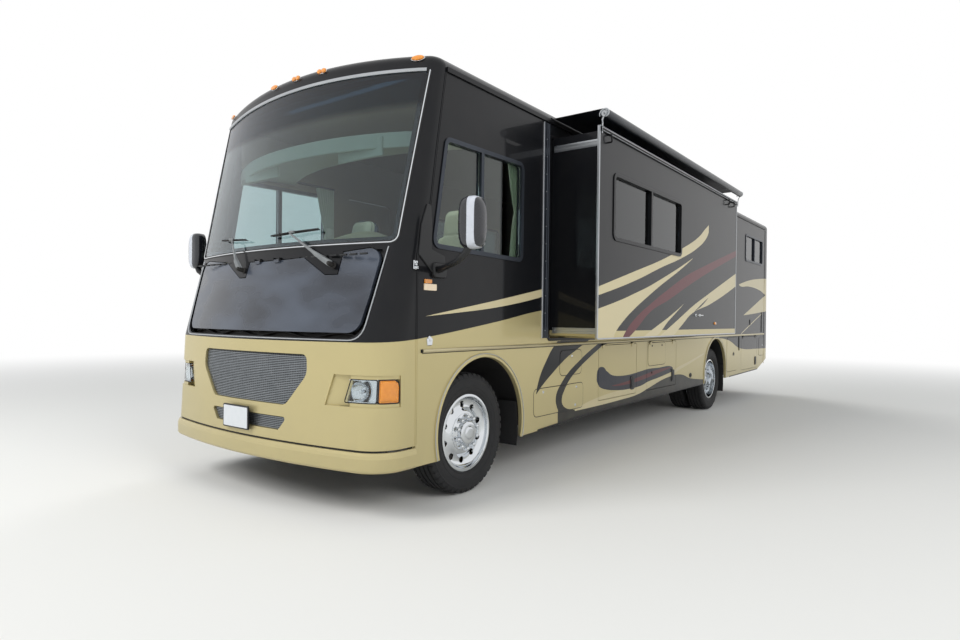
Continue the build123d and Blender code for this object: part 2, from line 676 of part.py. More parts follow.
# Window frames stand a little proud; the panes sit in the middle of the wall
PANE_T = 6
with BuildPart() as window_frames:
    for side, windows in ((1, LEFT_WINDOWS), (-1, RIGHT_WINDOWS)):
        start = BODY_HALF - WALL_T if side > 0 else -BODY_HALF - FRAME_PROUD
        for window in windows:
            ring = window_hole(window, -SEAT)(start)
            extrude(ring, amount=WALL_T + FRAME_PROUD)
            extrude(window_hole(window, -FRAME_W)(start), amount=WALL_T + FRAME_PROUD,
                    mode=Mode.SUBTRACT)
            # the upright between the two panes
            middle = behind((window[0][0] + window[1][0]) / 2)
            bar_x = (start, start + WALL_T + FRAME_PROUD)
            block(bar_x, (middle - 17, middle + 17),
                  (window[0][1] + FRAME_W / 2, window[3][1] - FRAME_W / 2))

with BuildPart() as window_glass:
    for side, windows in ((1, LEFT_WINDOWS), (-1, RIGHT_WINDOWS)):
        start = side * (BODY_HALF - 20) - PANE_T / 2
        for window in windows:
            extrude(window_hole(window, -FRAME_W - SEAT)(start), amount=PANE_T)
            middle = behind((window[0][0] + window[1][0]) / 2)
            block((start - 1, start + PANE_T + 1), (middle - 17 - SEAT, middle + 17 + SEAT),
                  (window[1][1], window[2][1]), mode=Mode.SUBTRACT)

# The slide-out room: a box open to the coach, its flange, window and topper roller
SLIDE_WINDOW_Y = (behind(1337), behind(3120))
SLIDE_WINDOW_Z = (2070, 2680)
RUNNER_W = 60
with BuildPart() as slide_shell:
    block((SLIDE_IN_X, SLIDE_OUT_X - SLIDE_FLANGE_T), SLIDE_Y, SLIDE_Z)
    block((SLIDE_IN_X, SLIDE_OUT_X - SLIDE_FLANGE_T - SLIDE_WALL_T),
          (SLIDE_Y[0] + SLIDE_WALL_T, SLIDE_Y[1] - SLIDE_WALL_T),
          (SLIDE_Z[0] + SLIDE_WALL_T, SLIDE_Z[1] - SLIDE_WALL_T), mode=Mode.SUBTRACT)
    slide_window = rectangle_hole(SLIDE_WINDOW_Y, SLIDE_WINDOW_Z, WINDOW_R)
    extrude(slide_window(SLIDE_OUT_X - 150), amount=200, mode=Mode.SUBTRACT)
    for y in (SLIDE_Y[0] + 300, SLIDE_Y[1] - 300):
        block((850, SLIDE_OUT_X - 60), (y - RUNNER_W / 2, y + RUNNER_W / 2),
              (FLOOR_TOP + SEAT, SLIDE_Z[0]))

FASCIA_Y = (SLIDE_Y[0] - SLIDE_FLANGE, SLIDE_Y[1] + SLIDE_FLANGE)
FASCIA_Z = (1190, 3028)
with BuildPart() as slide_fascia:
    fascia = rectangle_hole(FASCIA_Y, FASCIA_Z, 12)
    extrude(fascia(SLIDE_OUT_X - SLIDE_FLANGE_T), amount=SLIDE_FLANGE_T)
    extrude(slide_window(SLIDE_OUT_X - 150), amount=200, mode=Mode.SUBTRACT)

with BuildPart() as slide_window_frame:
    depth = SLIDE_FLANGE_T + SLIDE_WALL_T + FRAME_PROUD
    inner_x = SLIDE_OUT_X + FRAME_PROUD - depth
    extrude(offset(slide_window(inner_x), amount=-SEAT, mode=Mode.PRIVATE), amount=depth)
    extrude(offset(slide_window(inner_x), amount=-FRAME_W, mode=Mode.PRIVATE), amount=depth,
            mode=Mode.SUBTRACT)
    bar_y = sum(SLIDE_WINDOW_Y) / 2
    block((inner_x, inner_x + depth), (bar_y - 17, bar_y + 17),
          (SLIDE_WINDOW_Z[0] + 10, SLIDE_WINDOW_Z[1] - 10))

with BuildPart() as slide_window_glass:
    glass_x = SLIDE_OUT_X - 30
    extrude(offset(slide_window(glass_x), amount=-FRAME_W - SEAT, mode=Mode.PRIVATE),
            amount=PANE_T)
    block((glass_x - 1, glass_x + PANE_T + 1), (bar_y - 17 - SEAT, bar_y + 17 + SEAT),
          SLIDE_WINDOW_Z, mode=Mode.SUBTRACT)

# The topper: a roller tube on two brackets and its fabric out from the coach's roof edge
ROLLER_R = 38
ROLLER_X = 1815
ROLLER_Z = 3130
ROLLER_Y = (FASCIA_Y[0] + 40, FASCIA_Y[1] + 15)
BRACKET_T = 8
FABRIC_T = 3
with BuildPart() as topper_roller:
    rod((ROLLER_X, ROLLER_Y[0], ROLLER_Z), (ROLLER_X, ROLLER_Y[1], ROLLER_Z), ROLLER_R)
    for y in (ROLLER_Y[0] - BRACKET_T, ROLLER_Y[1]):
        block((SLIDE_OUT_X, ROLLER_X + ROLLER_R + 4), (y, y + BRACKET_T),
              (FASCIA_Z[1] - 90, ROLLER_Z + ROLLER_R + 4))

with BuildPart() as topper_fabric:
    fabric_z = ROLLER_Z + ROLLER_R + SEAT
    block((BODY_HALF + 14 + SEAT, ROLLER_X), (ROLLER_Y[0] + 5, ROLLER_Y[1] - 5),
          (fabric_z, fabric_z + FABRIC_T))
    block((BODY_HALF + 14 + SEAT, BODY_HALF + 20), (ROLLER_Y[0] + 5, ROLLER_Y[1] - 5),
          (GUTTER_Z[0], fabric_z + FABRIC_T))

# The entry door and its hinge
ENTRY_WINDOW_Y = (DOOR_Y[0] + 170, DOOR_Y[1] - 170)
ENTRY_WINDOW_Z = (1900, 2480)
entry_window = rectangle_hole(ENTRY_WINDOW_Y, ENTRY_WINDOW_Z, WINDOW_R)
with BuildPart() as entry_door:
    door_y = (DOOR_Y[0] + MOVING_GAP, DOOR_Y[1] - MOVING_GAP)
    door_z = (DOOR_Z[0] + MOVING_GAP, DOOR_Z[1] - MOVING_GAP)
    extrude(rectangle_hole(door_y, door_z, DOOR_CORNER_R - MOVING_GAP)(-BODY_HALF), amount=DOOR_T)
    extrude(entry_window(-BODY_HALF - 20), amount=100, mode=Mode.SUBTRACT)
    for z in ENTRY_KNUCKLES:
        low, high = z - KNUCKLE_LENGTH / 2, z + KNUCKLE_LENGTH / 2
        block((-BODY_HALF - 5, -BODY_HALF), (ENTRY_PIN_Y, door_y[0] + 40), (low, high))
        rod((ENTRY_PIN_X, ENTRY_PIN_Y, low), (ENTRY_PIN_X, ENTRY_PIN_Y, high), KNUCKLE_R)
        rod((ENTRY_PIN_X, ENTRY_PIN_Y, low), (ENTRY_PIN_X, ENTRY_PIN_Y, high), PIN_R + SEAT,
            mode=Mode.SUBTRACT)
    block((-BODY_HALF - 22, -BODY_HALF), (door_y[1] - 110, door_y[1] - 60), (1480, 1700))

with BuildPart() as entry_door_glass:
    pane = offset(entry_window(-BODY_HALF + 12), amount=-SEAT, mode=Mode.PRIVATE)
    extrude(pane, amount=PANE_T)

# Wheels and axles
TYRE_R = 470
AXLE_Z = TYRE_R
WHEEL_X = 1092              # middle of a front tyre and of an outer rear tyre
TWIN_PITCH = 284
FLANGE_R = 300
BEAD_R = 286
BARREL_R = 272
RIM_HALF = 107
BEAD_HALF = 97
HAND_HOLES = 10
HAND_HOLE_R = 30
HAND_HOLE_CIRCLE_R = 218
SPINDLE_R = 35
KINGPIN_X = 985
KINGPIN_R = 20
STEER_RANGE = 40

# Tyre section: distance from the middle plane, radius
TYRE_SECTION = ((BEAD_HALF - SEAT, BEAD_R + SEAT), (BEAD_HALF - SEAT, FLANGE_R + 1), (112, 322),
                (122, 380), (118, 435), (100, TYRE_R))
# Front rim from the outer flange to the hub, front face then back face: outwards, radius
FRONT_FACE = ((107, 278), (72, 270), (50, 245), (46, 205), (66, 172), (74, 150), (74, 96),
              (122, 88), (138, 66), (138, 0))
FRONT_BACK = ((122, 0), (122, SPINDLE_R + SEAT), (-25, SPINDLE_R + SEAT), (-25, 92), (60, 92),
              (60, 150), (52, 168), (33, 203), (36, 247), (50, BARREL_R))
# Outer rear rim, dished, down to the plane where the twin wheels meet
REAR_FACE = ((107, 278), (-50, 270), (-78, 232), (-112, 190), (-124, 165), (-124, 110),
             (-22, 102), (0, 80), (0, 0))


def wheel_plane(side, x, y):
    """A plane through a wheel's axis: outwards along the axle, then up."""
    return Plane(origin=(side * x, y, AXLE_Z), x_dir=(side, 0, 0), z_dir=(0, -side, 0))


def spun(side, x, y, points):
    """A closed section turned about a wheel's axis."""
    section = outline(wheel_plane(side, x, y), points)
    return revolve(section, Axis((0, y, AXLE_Z), (1, 0, 0)), mode=Mode.PRIVATE)


def tyre(side, x, y):
    left = [(-out, radius) for out, radius in TYRE_SECTION]
    return spun(side, x, y, left + list(reversed(TYRE_SECTION)))


def hand_holes(x, y):
    """Round holes through a rim's disc."""
    for number in range(HAND_HOLES):
        turn = 2 * pi * number / HAND_HOLES
        hole_y = y + HAND_HOLE_CIRCLE_R * sin(turn)
        hole_z = AXLE_Z + HAND_HOLE_CIRCLE_R * cos(turn)
        rod((x[0], hole_y, hole_z), (x[1], hole_y, hole_z), HAND_HOLE_R, mode=Mode.SUBTRACT)


def barrel(front):
    """Rim barrel from the inner flange round to the outer one."""
    return [(-RIM_HALF, BARREL_R), (-RIM_HALF, FLANGE_R), (-BEAD_HALF, FLANGE_R),
            (-BEAD_HALF, BEAD_R), (BEAD_HALF, BEAD_R), (BEAD_HALF, FLANGE_R),
            (RIM_HALF, FLANGE_R), *front]


def front_wheel(side):
    with BuildPart() as rubber:
        add(tyre(side, WHEEL_X, FRONT_AXLE_Y))
    with BuildPart() as rim:
        add(spun(side, WHEEL_X, FRONT_AXLE_Y, barrel([*FRONT_FACE, *FRONT_BACK])))
        hand_holes((side * (WHEEL_X + 20), side * (WHEEL_X + 60)), FRONT_AXLE_Y)
    return rubber, rim


HUB_BORE_R = 50


def rear_wheels(side):
    """Twin wheels: the inner rim is the outer one turned about the plane where they meet."""
    with BuildPart() as rubber:
        add(tyre(side, WHEEL_X, REAR_AXLE_Y))
        add(tyre(side, WHEEL_X - TWIN_PITCH, REAR_AXLE_Y))
    meet = -TWIN_PITCH / 2
    with BuildPart() as rim:
        dish = [*REAR_FACE, (-14, 0), (-14, HUB_BORE_R), (meet, HUB_BORE_R), (meet, 168),
                (-124, 196), (-92, 240), (-66, BARREL_R)]
        add(spun(side, WHEEL_X, REAR_AXLE_Y, barrel(dish)))
        turned = [(107, 278), (-50, 270), (-78, 232), (-112, 190), (-124, 165), (-124, HUB_BORE_R),
                  (meet, HUB_BORE_R), (meet, 168), (-124, 196), (-92, 240), (-66, BARREL_R)]
        add(spun(-side, -(WHEEL_X - TWIN_PITCH), REAR_AXLE_Y, barrel(turned)))
        hand_holes((side * (WHEEL_X + 2 * meet), side * (WHEEL_X - 60)), REAR_AXLE_Y)
    return rubber, rim


front_wheels = {side: front_wheel(side) for side in (1, -1)}
rear_twins = {side: rear_wheels(side) for side in (1, -1)}

# Steering knuckles turn on the axle's kingpins
YOKE_Z = ((330, 366), (474, 510))


def knuckle(side):
    with BuildPart() as part:
        for low, high in YOKE_Z:
            block((side * (KINGPIN_X - 34), side * 1050), (FRONT_AXLE_Y - 34, FRONT_AXLE_Y + 34),
                  (low, high))
        block((side * 1024, side * 1050), (FRONT_AXLE_Y - 45, FRONT_AXLE_Y + 45), (330, 530))
        rod((side * 1040, FRONT_AXLE_Y, AXLE_Z), (side * (WHEEL_X + 120), FRONT_AXLE_Y, AXLE_Z),
            SPINDLE_R)
        rod((side * KINGPIN_X, FRONT_AXLE_Y, 300), (side * KINGPIN_X, FRONT_AXLE_Y, 600),
            KINGPIN_R + SEAT, mode=Mode.SUBTRACT)
    return part


knuckles = {side: knuckle(side) for side in (1, -1)}

RAIL_X = (390, 470)
RAIL_Z = (640, 860)
RAIL_T = 10
RAIL_Y = (behind(-1000), behind(9300))
SPRING_X = (394, 466)
SPRING_HALF = 700
SPRING_T = 55
BEAM_Z = (370, 470)


def leaf_spring(side, axle_y, low_z):
    """A bowed leaf pack, its ends under the frame rail."""
    top = RAIL_Z[0] - SEAT
    with BuildSketch(side_plane(side * sum(SPRING_X) / 2)) as arc:
        with BuildLine():
            ThreePointArc((axle_y - SPRING_HALF, top), (axle_y, low_z + SPRING_T),
                          (axle_y + SPRING_HALF, top))
            Line((axle_y + SPRING_HALF, top), (axle_y + SPRING_HALF, top - SPRING_T))
            ThreePointArc((axle_y + SPRING_HALF, top - SPRING_T), (axle_y, low_z),
                          (axle_y - SPRING_HALF, top - SPRING_T))
            Line((axle_y - SPRING_HALF, top - SPRING_T), (axle_y - SPRING_HALF, top))
        make_face()
    extrude(arc.sketch, amount=(SPRING_X[1] - SPRING_X[0]) / 2, both=True)


with BuildPart() as front_axle:
    block((-KINGPIN_X, KINGPIN_X), (FRONT_AXLE_Y - 40, FRONT_AXLE_Y + 40), BEAM_Z)
    for side in (1, -1):
        block((side * 905, side * 1100), (FRONT_AXLE_Y - 60, FRONT_AXLE_Y + 60), (0, 700),
              mode=Mode.SUBTRACT)
        block((side * 880, side * KINGPIN_X), (FRONT_AXLE_Y - 30, FRONT_AXLE_Y + 30),
              (YOKE_Z[0][1] + 4, YOKE_Z[1][0] - 4))
        rod((side * KINGPIN_X, FRONT_AXLE_Y, YOKE_Z[0][1] + 4),
            (side * KINGPIN_X, FRONT_AXLE_Y, YOKE_Z[1][0] - 4), 36)
        rod((side * KINGPIN_X, FRONT_AXLE_Y, YOKE_Z[0][0] - 6),
            (side * KINGPIN_X, FRONT_AXLE_Y, YOKE_Z[1][1] + 6), KINGPIN_R)
        leaf_spring(side, FRONT_AXLE_Y, BEAM_Z[1] - 1)

with BuildPart() as rear_axle:
    rod((-800, REAR_AXLE_Y, AXLE_Z), (800, REAR_AXLE_Y, AXLE_Z), 68)
    rod((-1060, REAR_AXLE_Y, AXLE_Z), (1060, REAR_AXLE_Y, AXLE_Z), HUB_BORE_R - SEAT)
    with Locations((0, REAR_AXLE_Y, AXLE_Z)):
        Cylinder(190, 180, rotation=(90, 0, 0))
        Cone(110, 190, 120, rotation=(90, 0, 0), align=(Align.CENTER, Align.CENTER, Align.MIN))
    for side in (1, -1):
        leaf_spring(side, REAR_AXLE_Y, AXLE_Z + 60)
    rod((0, behind(421.3), 600), (0, REAR_AXLE_Y - 150, AXLE_Z + 40), 52)

OUTRIGGER_Y = (-650, 700, 1850, 3235, 4560, 5450, 6870, 7450, 9000)
CROSS_Y = (-900, 900, 2600, 4480, 5200, 7000, 9200)
RECEIVER_BORE = 50.8
RECEIVER_OUTER = 76.2
RECEIVER_Z = 538
RECEIVER_Y = (behind(9050), behind(9500))
HITCH_PIN_R = 7.95
HITCH_PIN_Y = RECEIVER_Y[1] - 64
OUTRIGGER_Z = (FLOOR_BOTTOM - 60, FLOOR_BOTTOM)
with BuildPart() as chassis_frame:
    # two channel rails with a post under each outrigger, the outriggers and the cross members
    for side in (1, -1):
        block((side * RAIL_X[0], side * RAIL_X[1]), RAIL_Y, RAIL_Z)
        block((side * RAIL_X[0], side * (RAIL_X[1] - RAIL_T)), RAIL_Y,
              (RAIL_Z[0] + RAIL_T, RAIL_Z[1] - RAIL_T), mode=Mode.SUBTRACT)
        for y in OUTRIGGER_Y:
            block((side * RAIL_X[0], side * RAIL_X[1]), (behind(y - 30), behind(y + 30)),
                  (RAIL_Z[1], OUTRIGGER_Z[0] - SEAT))
    for y in OUTRIGGER_Y:
        block((-1200, 1200), (behind(y - 30), behind(y + 30)), OUTRIGGER_Z)
    reach = RAIL_X[1] - RAIL_T - SEAT
    for y in CROSS_Y:
        block((-reach, reach), (behind(y - 35), behind(y + 35)), (RAIL_Z[0] + 30, RAIL_Z[1] - 30))
    # bumper brackets at the front
    with BuildPart(mode=Mode.PRIVATE) as bumper_brackets:
        for side in (1, -1):
            block((side * 395, side * 465), (behind(-1300), behind(-940)), (380, 460))
            block((side * 395, side * 465), (behind(-1000), behind(-940)), (380, RAIL_Z[0] - SEAT))
        add(nose(10 + SEAT), mode=Mode.INTERSECT)
    add(bumper_brackets.part)
    # tow hitch receiver on two drop brackets
    half = RECEIVER_OUTER / 2
    block((-470, 470), (RECEIVER_Y[0] + 60, RECEIVER_Y[0] + 60 + RECEIVER_OUTER),
          (RECEIVER_Z - half, RECEIVER_Z + half))
    for side in (1, -1):
        block((side * 458, side * 470), (RECEIVER_Y[0] + 40, RECEIVER_Y[0] + 180),
              (RECEIVER_Z - half, RAIL_Z[0] - SEAT))
    block((-half, half), RECEIVER_Y, (RECEIVER_Z - half, RECEIVER_Z + half))
    bore = RECEIVER_BORE / 2
    block((-bore, bore), (RECEIVER_Y[0] + 150, RECEIVER_Y[1]), (RECEIVER_Z - bore, RECEIVER_Z + bore),
          mode=Mode.SUBTRACT)
    rod((-100, HITCH_PIN_Y, RECEIVER_Z), (100, HITCH_PIN_Y, RECEIVER_Z), HITCH_PIN_R,
        mode=Mode.SUBTRACT)

# The engine is one plain block at its real place
with BuildPart() as engine:
    reach = RAIL_X[1] - RAIL_T - SEAT
    block((-330, 330), (behind(-860), behind(60)), (600, FLOOR_BOTTOM - 60 - SEAT))
    block((-reach, reach), (behind(-500), behind(-380)), (700, 780))
    block((-170, 170), (behind(60), behind(420)), (520, RAIL_Z[1]))

TANK_STRAP_Y = (7300, 8080)
with BuildPart() as tanks:
    # fuel tank behind the rear axle, water tanks hung under the floor at both sides
    block((-370, 370), (behind(7080), behind(8300)), (470, RAIL_Z[0] + 29.7))
    fillet(tanks.edges().filter_by(Axis.Y), 40)
    for y in TANK_STRAP_Y:
        block((-RAIL_X[1], RAIL_X[1]), (behind(y), behind(y + 50)), (RAIL_Z[0] - 12, RAIL_Z[0] - SEAT))
    for side in (1, -1):
        block((side * 530, side * 1235), (behind(4440), behind(5440)),
              (560, FLOOR_BOTTOM - 60 - SEAT))

EXHAUST_R = 42
EXHAUST_X = -335
EXHAUST_Z = RAIL_Z[0] + 30 - EXHAUST_R - SEAT
with BuildPart() as exhaust:
    rod((EXHAUST_X, behind(500), EXHAUST_Z), (EXHAUST_X, behind(6960), EXHAUST_Z), EXHAUST_R)
    rod((EXHAUST_X, behind(1300), EXHAUST_Z - 60), (EXHAUST_X, behind(2300), EXHAUST_Z - 60), 80)

# Cab fittings seen through the windshield
DASH_PROFILE = ((-1060, 1700), (-1060, 1796), (-560, 1770), (-480, 1660), (-520, 1450),
                (-620, 1400), (-620, FLOOR_TOP), (-700, FLOOR_TOP), (-700, 1380))
with BuildPart() as dashboard:
    extrude(outline(side_plane(0), side_points(DASH_PROFILE)), amount=1500, both=True)
    add(nose(95), mode=Mode.INTERSECT)

WHEEL_CENTRE = Vector(620, behind(-330), 1810)
COLUMN_FOOT = Vector(620, behind(-610), 1530)
with BuildPart() as steering_wheel:
    normal = (WHEEL_CENTRE - COLUMN_FOOT).normalized()
    rim_plane = Plane(origin=WHEEL_CENTRE, x_dir=(1, 0, 0), z_dir=normal)
    section = Plane(origin=WHEEL_CENTRE, x_dir=(1, 0, 0), z_dir=rim_plane.y_dir)
    with BuildSketch(section) as ring:
        with Locations((215, 0)):
            RegularPolygon(17, 6)
    revolve(ring.sketch, Axis(WHEEL_CENTRE, normal))
    for angle in (0, 180, 270):
        tip = WHEEL_CENTRE + rim_plane.x_dir * 212 * cos(radians(angle)) \
            + rim_plane.y_dir * 212 * sin(radians(angle))
        rod(tuple(WHEEL_CENTRE), tuple(tip), 11)
    rod(tuple(COLUMN_FOOT), tuple(WHEEL_CENTRE + normal * 12), 45)
    add(dashboard.part, mode=Mode.SUBTRACT)

SEAT_X = 620
with BuildPart() as seats:
    for x in (-SEAT_X, SEAT_X):
        block((x - 180, x + 180), (behind(0), behind(380)), (FLOOR_TOP, 1500))
        block((x - 260, x + 260), (behind(-60), behind(470)), (1500, 1640))
        back = outline(side_plane(x - 250), side_points(((400, 1600), (530, 1600), (640, 2360),
                                                         (540, 2380))), 30)
        extrude(back, amount=500)
        for side in (-1, 1):
            block((x + side * 262, x + side * 330), (behind(60), behind(430)), (1820, 1890))
            block((x + side * 200, x + side * 330), (behind(400), behind(450)), (1780, 1890))

CURTAIN_X = BODY_HALF - WALL_T - SEAT
with BuildPart() as curtains:
    for side in (1, -1):
        block((side * (CURTAIN_X - 45), side * CURTAIN_X), (behind(460), behind(700)), (1800, 2740))

with BuildPart() as patio_awning:
    rod((-1364, behind(1750), 3045), (-1364, behind(6350), 3045), 60)
    for y in (1700, 6350):
        block((-1410, -BODY_HALF), (behind(y), behind(y + 50)), (2985, 3100))
        block((-1322, -BODY_HALF), (behind(y + 5), behind(y + 45)), (1750, 2985))

MIRROR_X = (1590, 1780)
MIRROR_Y = (behind(-665), behind(-560))
MIRROR_Z = (1812, 2165)
with BuildPart() as mirrors:
    block(MIRROR_X, MIRROR_Y, MIRROR_Z)
    fillet(mirrors.edges(), 30)
    block((BODY_HALF, BODY_HALF + 30), (behind(-540), behind(-420)), (1640, 1757))
    elbow = (1600, behind(-610), 1755)
    rod((BODY_HALF + 15, behind(-480), 1700), elbow, 24)
    rod(elbow, (1660, behind(-612), 1850), 20)
    mirror(about=Plane.YZ)

# Wipers: pivot, elbow at the blade, and the blade's two ends, in front elevation
WIPERS = (
    ((-270, 1718), (-470, 1960), (-700, 1985), (-280, 1960)),
    ((735, 1720), (300, 1960), (60, 1965), (560, 1985)),
)
WIPER_GAP = 45
with BuildPart() as wipers:
    with BuildPart(mode=Mode.PRIVATE) as bars:
        for pivot, elbow, tip, heel in WIPERS:
            for start, end, width in ((pivot, elbow, 26), (tip, heel, 22)):
                way = Vector(end[0] - start[0], end[1] - start[1])
                place = ((start[0] + end[0]) / 2, (start[1] + end[1]) / 2, 0)
                turn = degrees(atan2(way.Y, way.X))
                with BuildSketch(front_plane(NOSE_CUT_Y)) as bar:
                    with Locations(Location(place, (0, 0, turn))):
                        Rectangle(way.length + width, width)
                extrude(bar.sketch, amount=behind(200) - behind(-1400))
        add(skin(nose, -WIPER_GAP - 14, -WIPER_GAP), mode=Mode.INTERSECT)
    add(bars.part)
    with BuildPart(mode=Mode.PRIVATE) as posts:
        for pivot, elbow, tip, heel in WIPERS:
            rod((pivot[0], behind(-1300), pivot[1]), (pivot[0], behind(-700), pivot[1]), 18)
        add(skin(nose, -WIPER_GAP - 10, -SEAT), mode=Mode.INTERSECT)
    add(posts.part)

# Roof: two air conditioners and two vents, on the crown
ROOF_UNITS = ((2600, 350, 480, 285), (7000, 350, 480, 285), (4700, 200, 200, 120),
              (8400, 200, 200, 120))
with BuildPart() as roof_units:
    for y, half_x, half_y, height in ROOF_UNITS:
        with BuildSketch(Plane.XY.offset(ROOF_CROWN_Z + SEAT)) as base:
            with Locations((0, behind(y))):
                RectangleRounded(2 * half_x, 2 * half_y, 60)
        extrude(base.sketch, amount=height, taper=8)

LADDER_X = (-940, -580)
LADDER_Y = behind(9650)
LADDER_Z = (950, 3230)
LADDER_RAIL_R = 14
LADDER_RUNG_R = 11
with BuildPart() as ladder:
    reach = LADDER_RAIL_R + SEAT
    for x in LADDER_X:
        rod((x, LADDER_Y, LADDER_Z[0]), (x, LADDER_Y, LADDER_Z[1]), LADDER_RAIL_R)
        for z in (1000, 2000, 3100):
            rod((x, behind(9400), z), (x, LADDER_Y - reach, z), LADDER_RUNG_R)
    for number in range(8):
        z = LADDER_Z[0] + 80 + number * 290
        rod((LADDER_X[0] + reach, LADDER_Y, z), (LADDER_X[1] - reach, LADDER_Y, z), LADDER_RUNG_R)
    add(tail(-SEAT), mode=Mode.SUBTRACT)

with BuildPart() as tail_lamps:
    add(skin(tail, -14, -SEAT))
    with BuildPart(mode=Mode.PRIVATE) as lamp_spots:
        for side in (1, -1):
            block((side * 1000, side * 1150), (behind(9400), behind(9700)), (820, 1120))
        for x in (-1100, -150, 0, 150, 1100):
            block((x - 50, x + 50), (behind(9400), behind(9700)), (3130, 3162))
    add(lamp_spots.part, mode=Mode.INTERSECT)

PLATE_HOLE_PITCH = 177.8
PLATE_HOLE_R = 3.5
PLATE_Z = 1000
with BuildPart() as drilled_cap:
    add(rear_cap.part)
    for x in (-PLATE_HOLE_PITCH / 2, PLATE_HOLE_PITCH / 2):
        rod((x, behind(9300), PLATE_Z), (x, behind(9800), PLATE_Z), PLATE_HOLE_R,
            mode=Mode.SUBTRACT)

PIECES = {
    "front_cap": front_cap, "windshield": windshield, "hood": hood, "grilles": grilles,
    "headlamps": headlamps, "amber_lamps": amber_lamps, "front_bumper": front_bumper,
    "wall_left": wall_left, "wall_right": wall_right, "roof": roof, "rear_cap": drilled_cap,
    "coach_floor": coach_floor, "skirt_left": skirt_left, "skirt_right": skirt_right,
    "storage_bays": storage_bays, "side_trim": side_trim, "window_frames": window_frames,
    "window_glass": window_glass, "slide_shell": slide_shell, "slide_fascia": slide_fascia,
    "slide_window_frame": slide_window_frame, "slide_window_glass": slide_window_glass,
    "topper_roller": topper_roller, "topper_fabric": topper_fabric,
    "entry_door": entry_door, "entry_door_glass": entry_door_glass,
    "chassis_frame": chassis_frame, "engine": engine, "tanks": tanks, "exhaust": exhaust,
    "front_axle": front_axle, "rear_axle": rear_axle,
    "knuckle_left": knuckles[1], "knuckle_right": knuckles[-1],
    "tyre_front_left": front_wheels[1][0], "rim_front_left": front_wheels[1][1],
    "tyre_front_right": front_wheels[-1][0], "rim_front_right": front_wheels[-1][1],
    "tyres_rear_left": rear_twins[1][0], "rims_rear_left": rear_twins[1][1],
    "tyres_rear_right": rear_twins[-1][0], "rims_rear_right": rear_twins[-1][1],
    "dashboard": dashboard, "steering_wheel": steering_wheel, "seats": seats,
    "curtains": curtains, "patio_awning": patio_awning, "mirrors": mirrors, "wipers": wipers,
    "roof_units": roof_units, "ladder": ladder, "tail_lamps": tail_lamps,
    **bay_doors,
}
for name, piece in PIECES.items():
    piece.part.label = name
    export_step(piece.part, f"parts/{name}.step")
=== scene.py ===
"""Looks of a full-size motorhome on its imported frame.

Metres.  +X is the driver's side, -Y the front and +Z up.
"""

from collections import namedtuple
from math import asin, cos, pi, radians, sin, sqrt

import bmesh
import bpy
from mathutils import Matrix, Vector


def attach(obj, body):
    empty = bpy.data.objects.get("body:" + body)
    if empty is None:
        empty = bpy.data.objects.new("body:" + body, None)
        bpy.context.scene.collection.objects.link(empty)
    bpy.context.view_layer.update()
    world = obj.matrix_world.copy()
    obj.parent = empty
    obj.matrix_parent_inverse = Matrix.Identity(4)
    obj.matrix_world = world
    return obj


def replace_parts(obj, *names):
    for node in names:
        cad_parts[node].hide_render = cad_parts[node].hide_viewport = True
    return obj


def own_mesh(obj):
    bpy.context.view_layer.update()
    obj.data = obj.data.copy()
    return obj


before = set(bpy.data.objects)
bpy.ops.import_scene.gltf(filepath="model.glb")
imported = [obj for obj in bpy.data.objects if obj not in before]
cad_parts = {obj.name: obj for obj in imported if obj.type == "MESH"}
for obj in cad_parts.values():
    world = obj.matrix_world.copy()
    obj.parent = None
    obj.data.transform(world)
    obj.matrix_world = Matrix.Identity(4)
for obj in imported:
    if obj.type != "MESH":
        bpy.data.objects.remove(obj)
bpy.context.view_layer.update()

# Places of the coach that the dressing follows
FRONT_AXLE = -4.19
REAR_AXLE = 1.96
SIDE = 1.29                # face of the side walls
SLIDE_FACE = 1.78          # face of the slide-out room
TYRE_X = 1.092
TWIN_PITCH = 0.284
AXLE_Z = 0.47


def linear(hex_colour):
    """An sRGB hex colour as linear RGBA."""
    parts = [int(hex_colour[i:i + 2], 16) / 255 for i in (1, 3, 5)]
    return [c / 12.92 if c <= 0.04045 else ((c + 0.055) / 1.055) ** 2.4 for c in parts] + [1]


def add_node(tree, kind, settings=None, inputs=None):
    """Adds one node with its settings; an input is a value, or the socket or node that feeds it."""
    made = tree.nodes.new(kind)
    for key, value in (settings or {}).items():
        setattr(made, key, value)
    for key, value in (inputs or {}).items():
        if isinstance(value, bpy.types.Node):
            value = next(socket for socket in value.outputs if socket.enabled)
        if isinstance(value, bpy.types.NodeSocket):
            tree.links.new(value, made.inputs[key])
        else:
            made.inputs[key].default_value = value
    return made


# Materials

def start_material(name):
    """A new material, its tree and its object coordinates."""
    material = bpy.data.materials.new(name)
    material.use_nodes = True
    material.node_tree.nodes.clear()
    place = add_node(material.node_tree, "ShaderNodeTexCoord").outputs["Object"]
    return material, material.node_tree, place


def give_surface(material, inputs):
    """Ends a material: its shader with what feeds it, and its output."""
    tree = material.node_tree
    shader = add_node(tree, "ShaderNodeBsdfPrincipled", inputs=inputs)
    add_node(tree, "ShaderNodeOutputMaterial", inputs={"Surface": shader})
    return material


def patches(tree, place, size_mm, colour, shade, detail=3.0):
    """Soft patches of two near colours, about so many millimetres across."""
    cloud = add_node(tree, "ShaderNodeTexNoise", inputs={
        "Vector": place, "Scale": 1000 / size_mm, "Detail": detail})
    return add_node(tree, "ShaderNodeMix", {"data_type": "RGBA"}, {
        "Factor": cloud, "A": linear(colour), "B": linear(shade)})


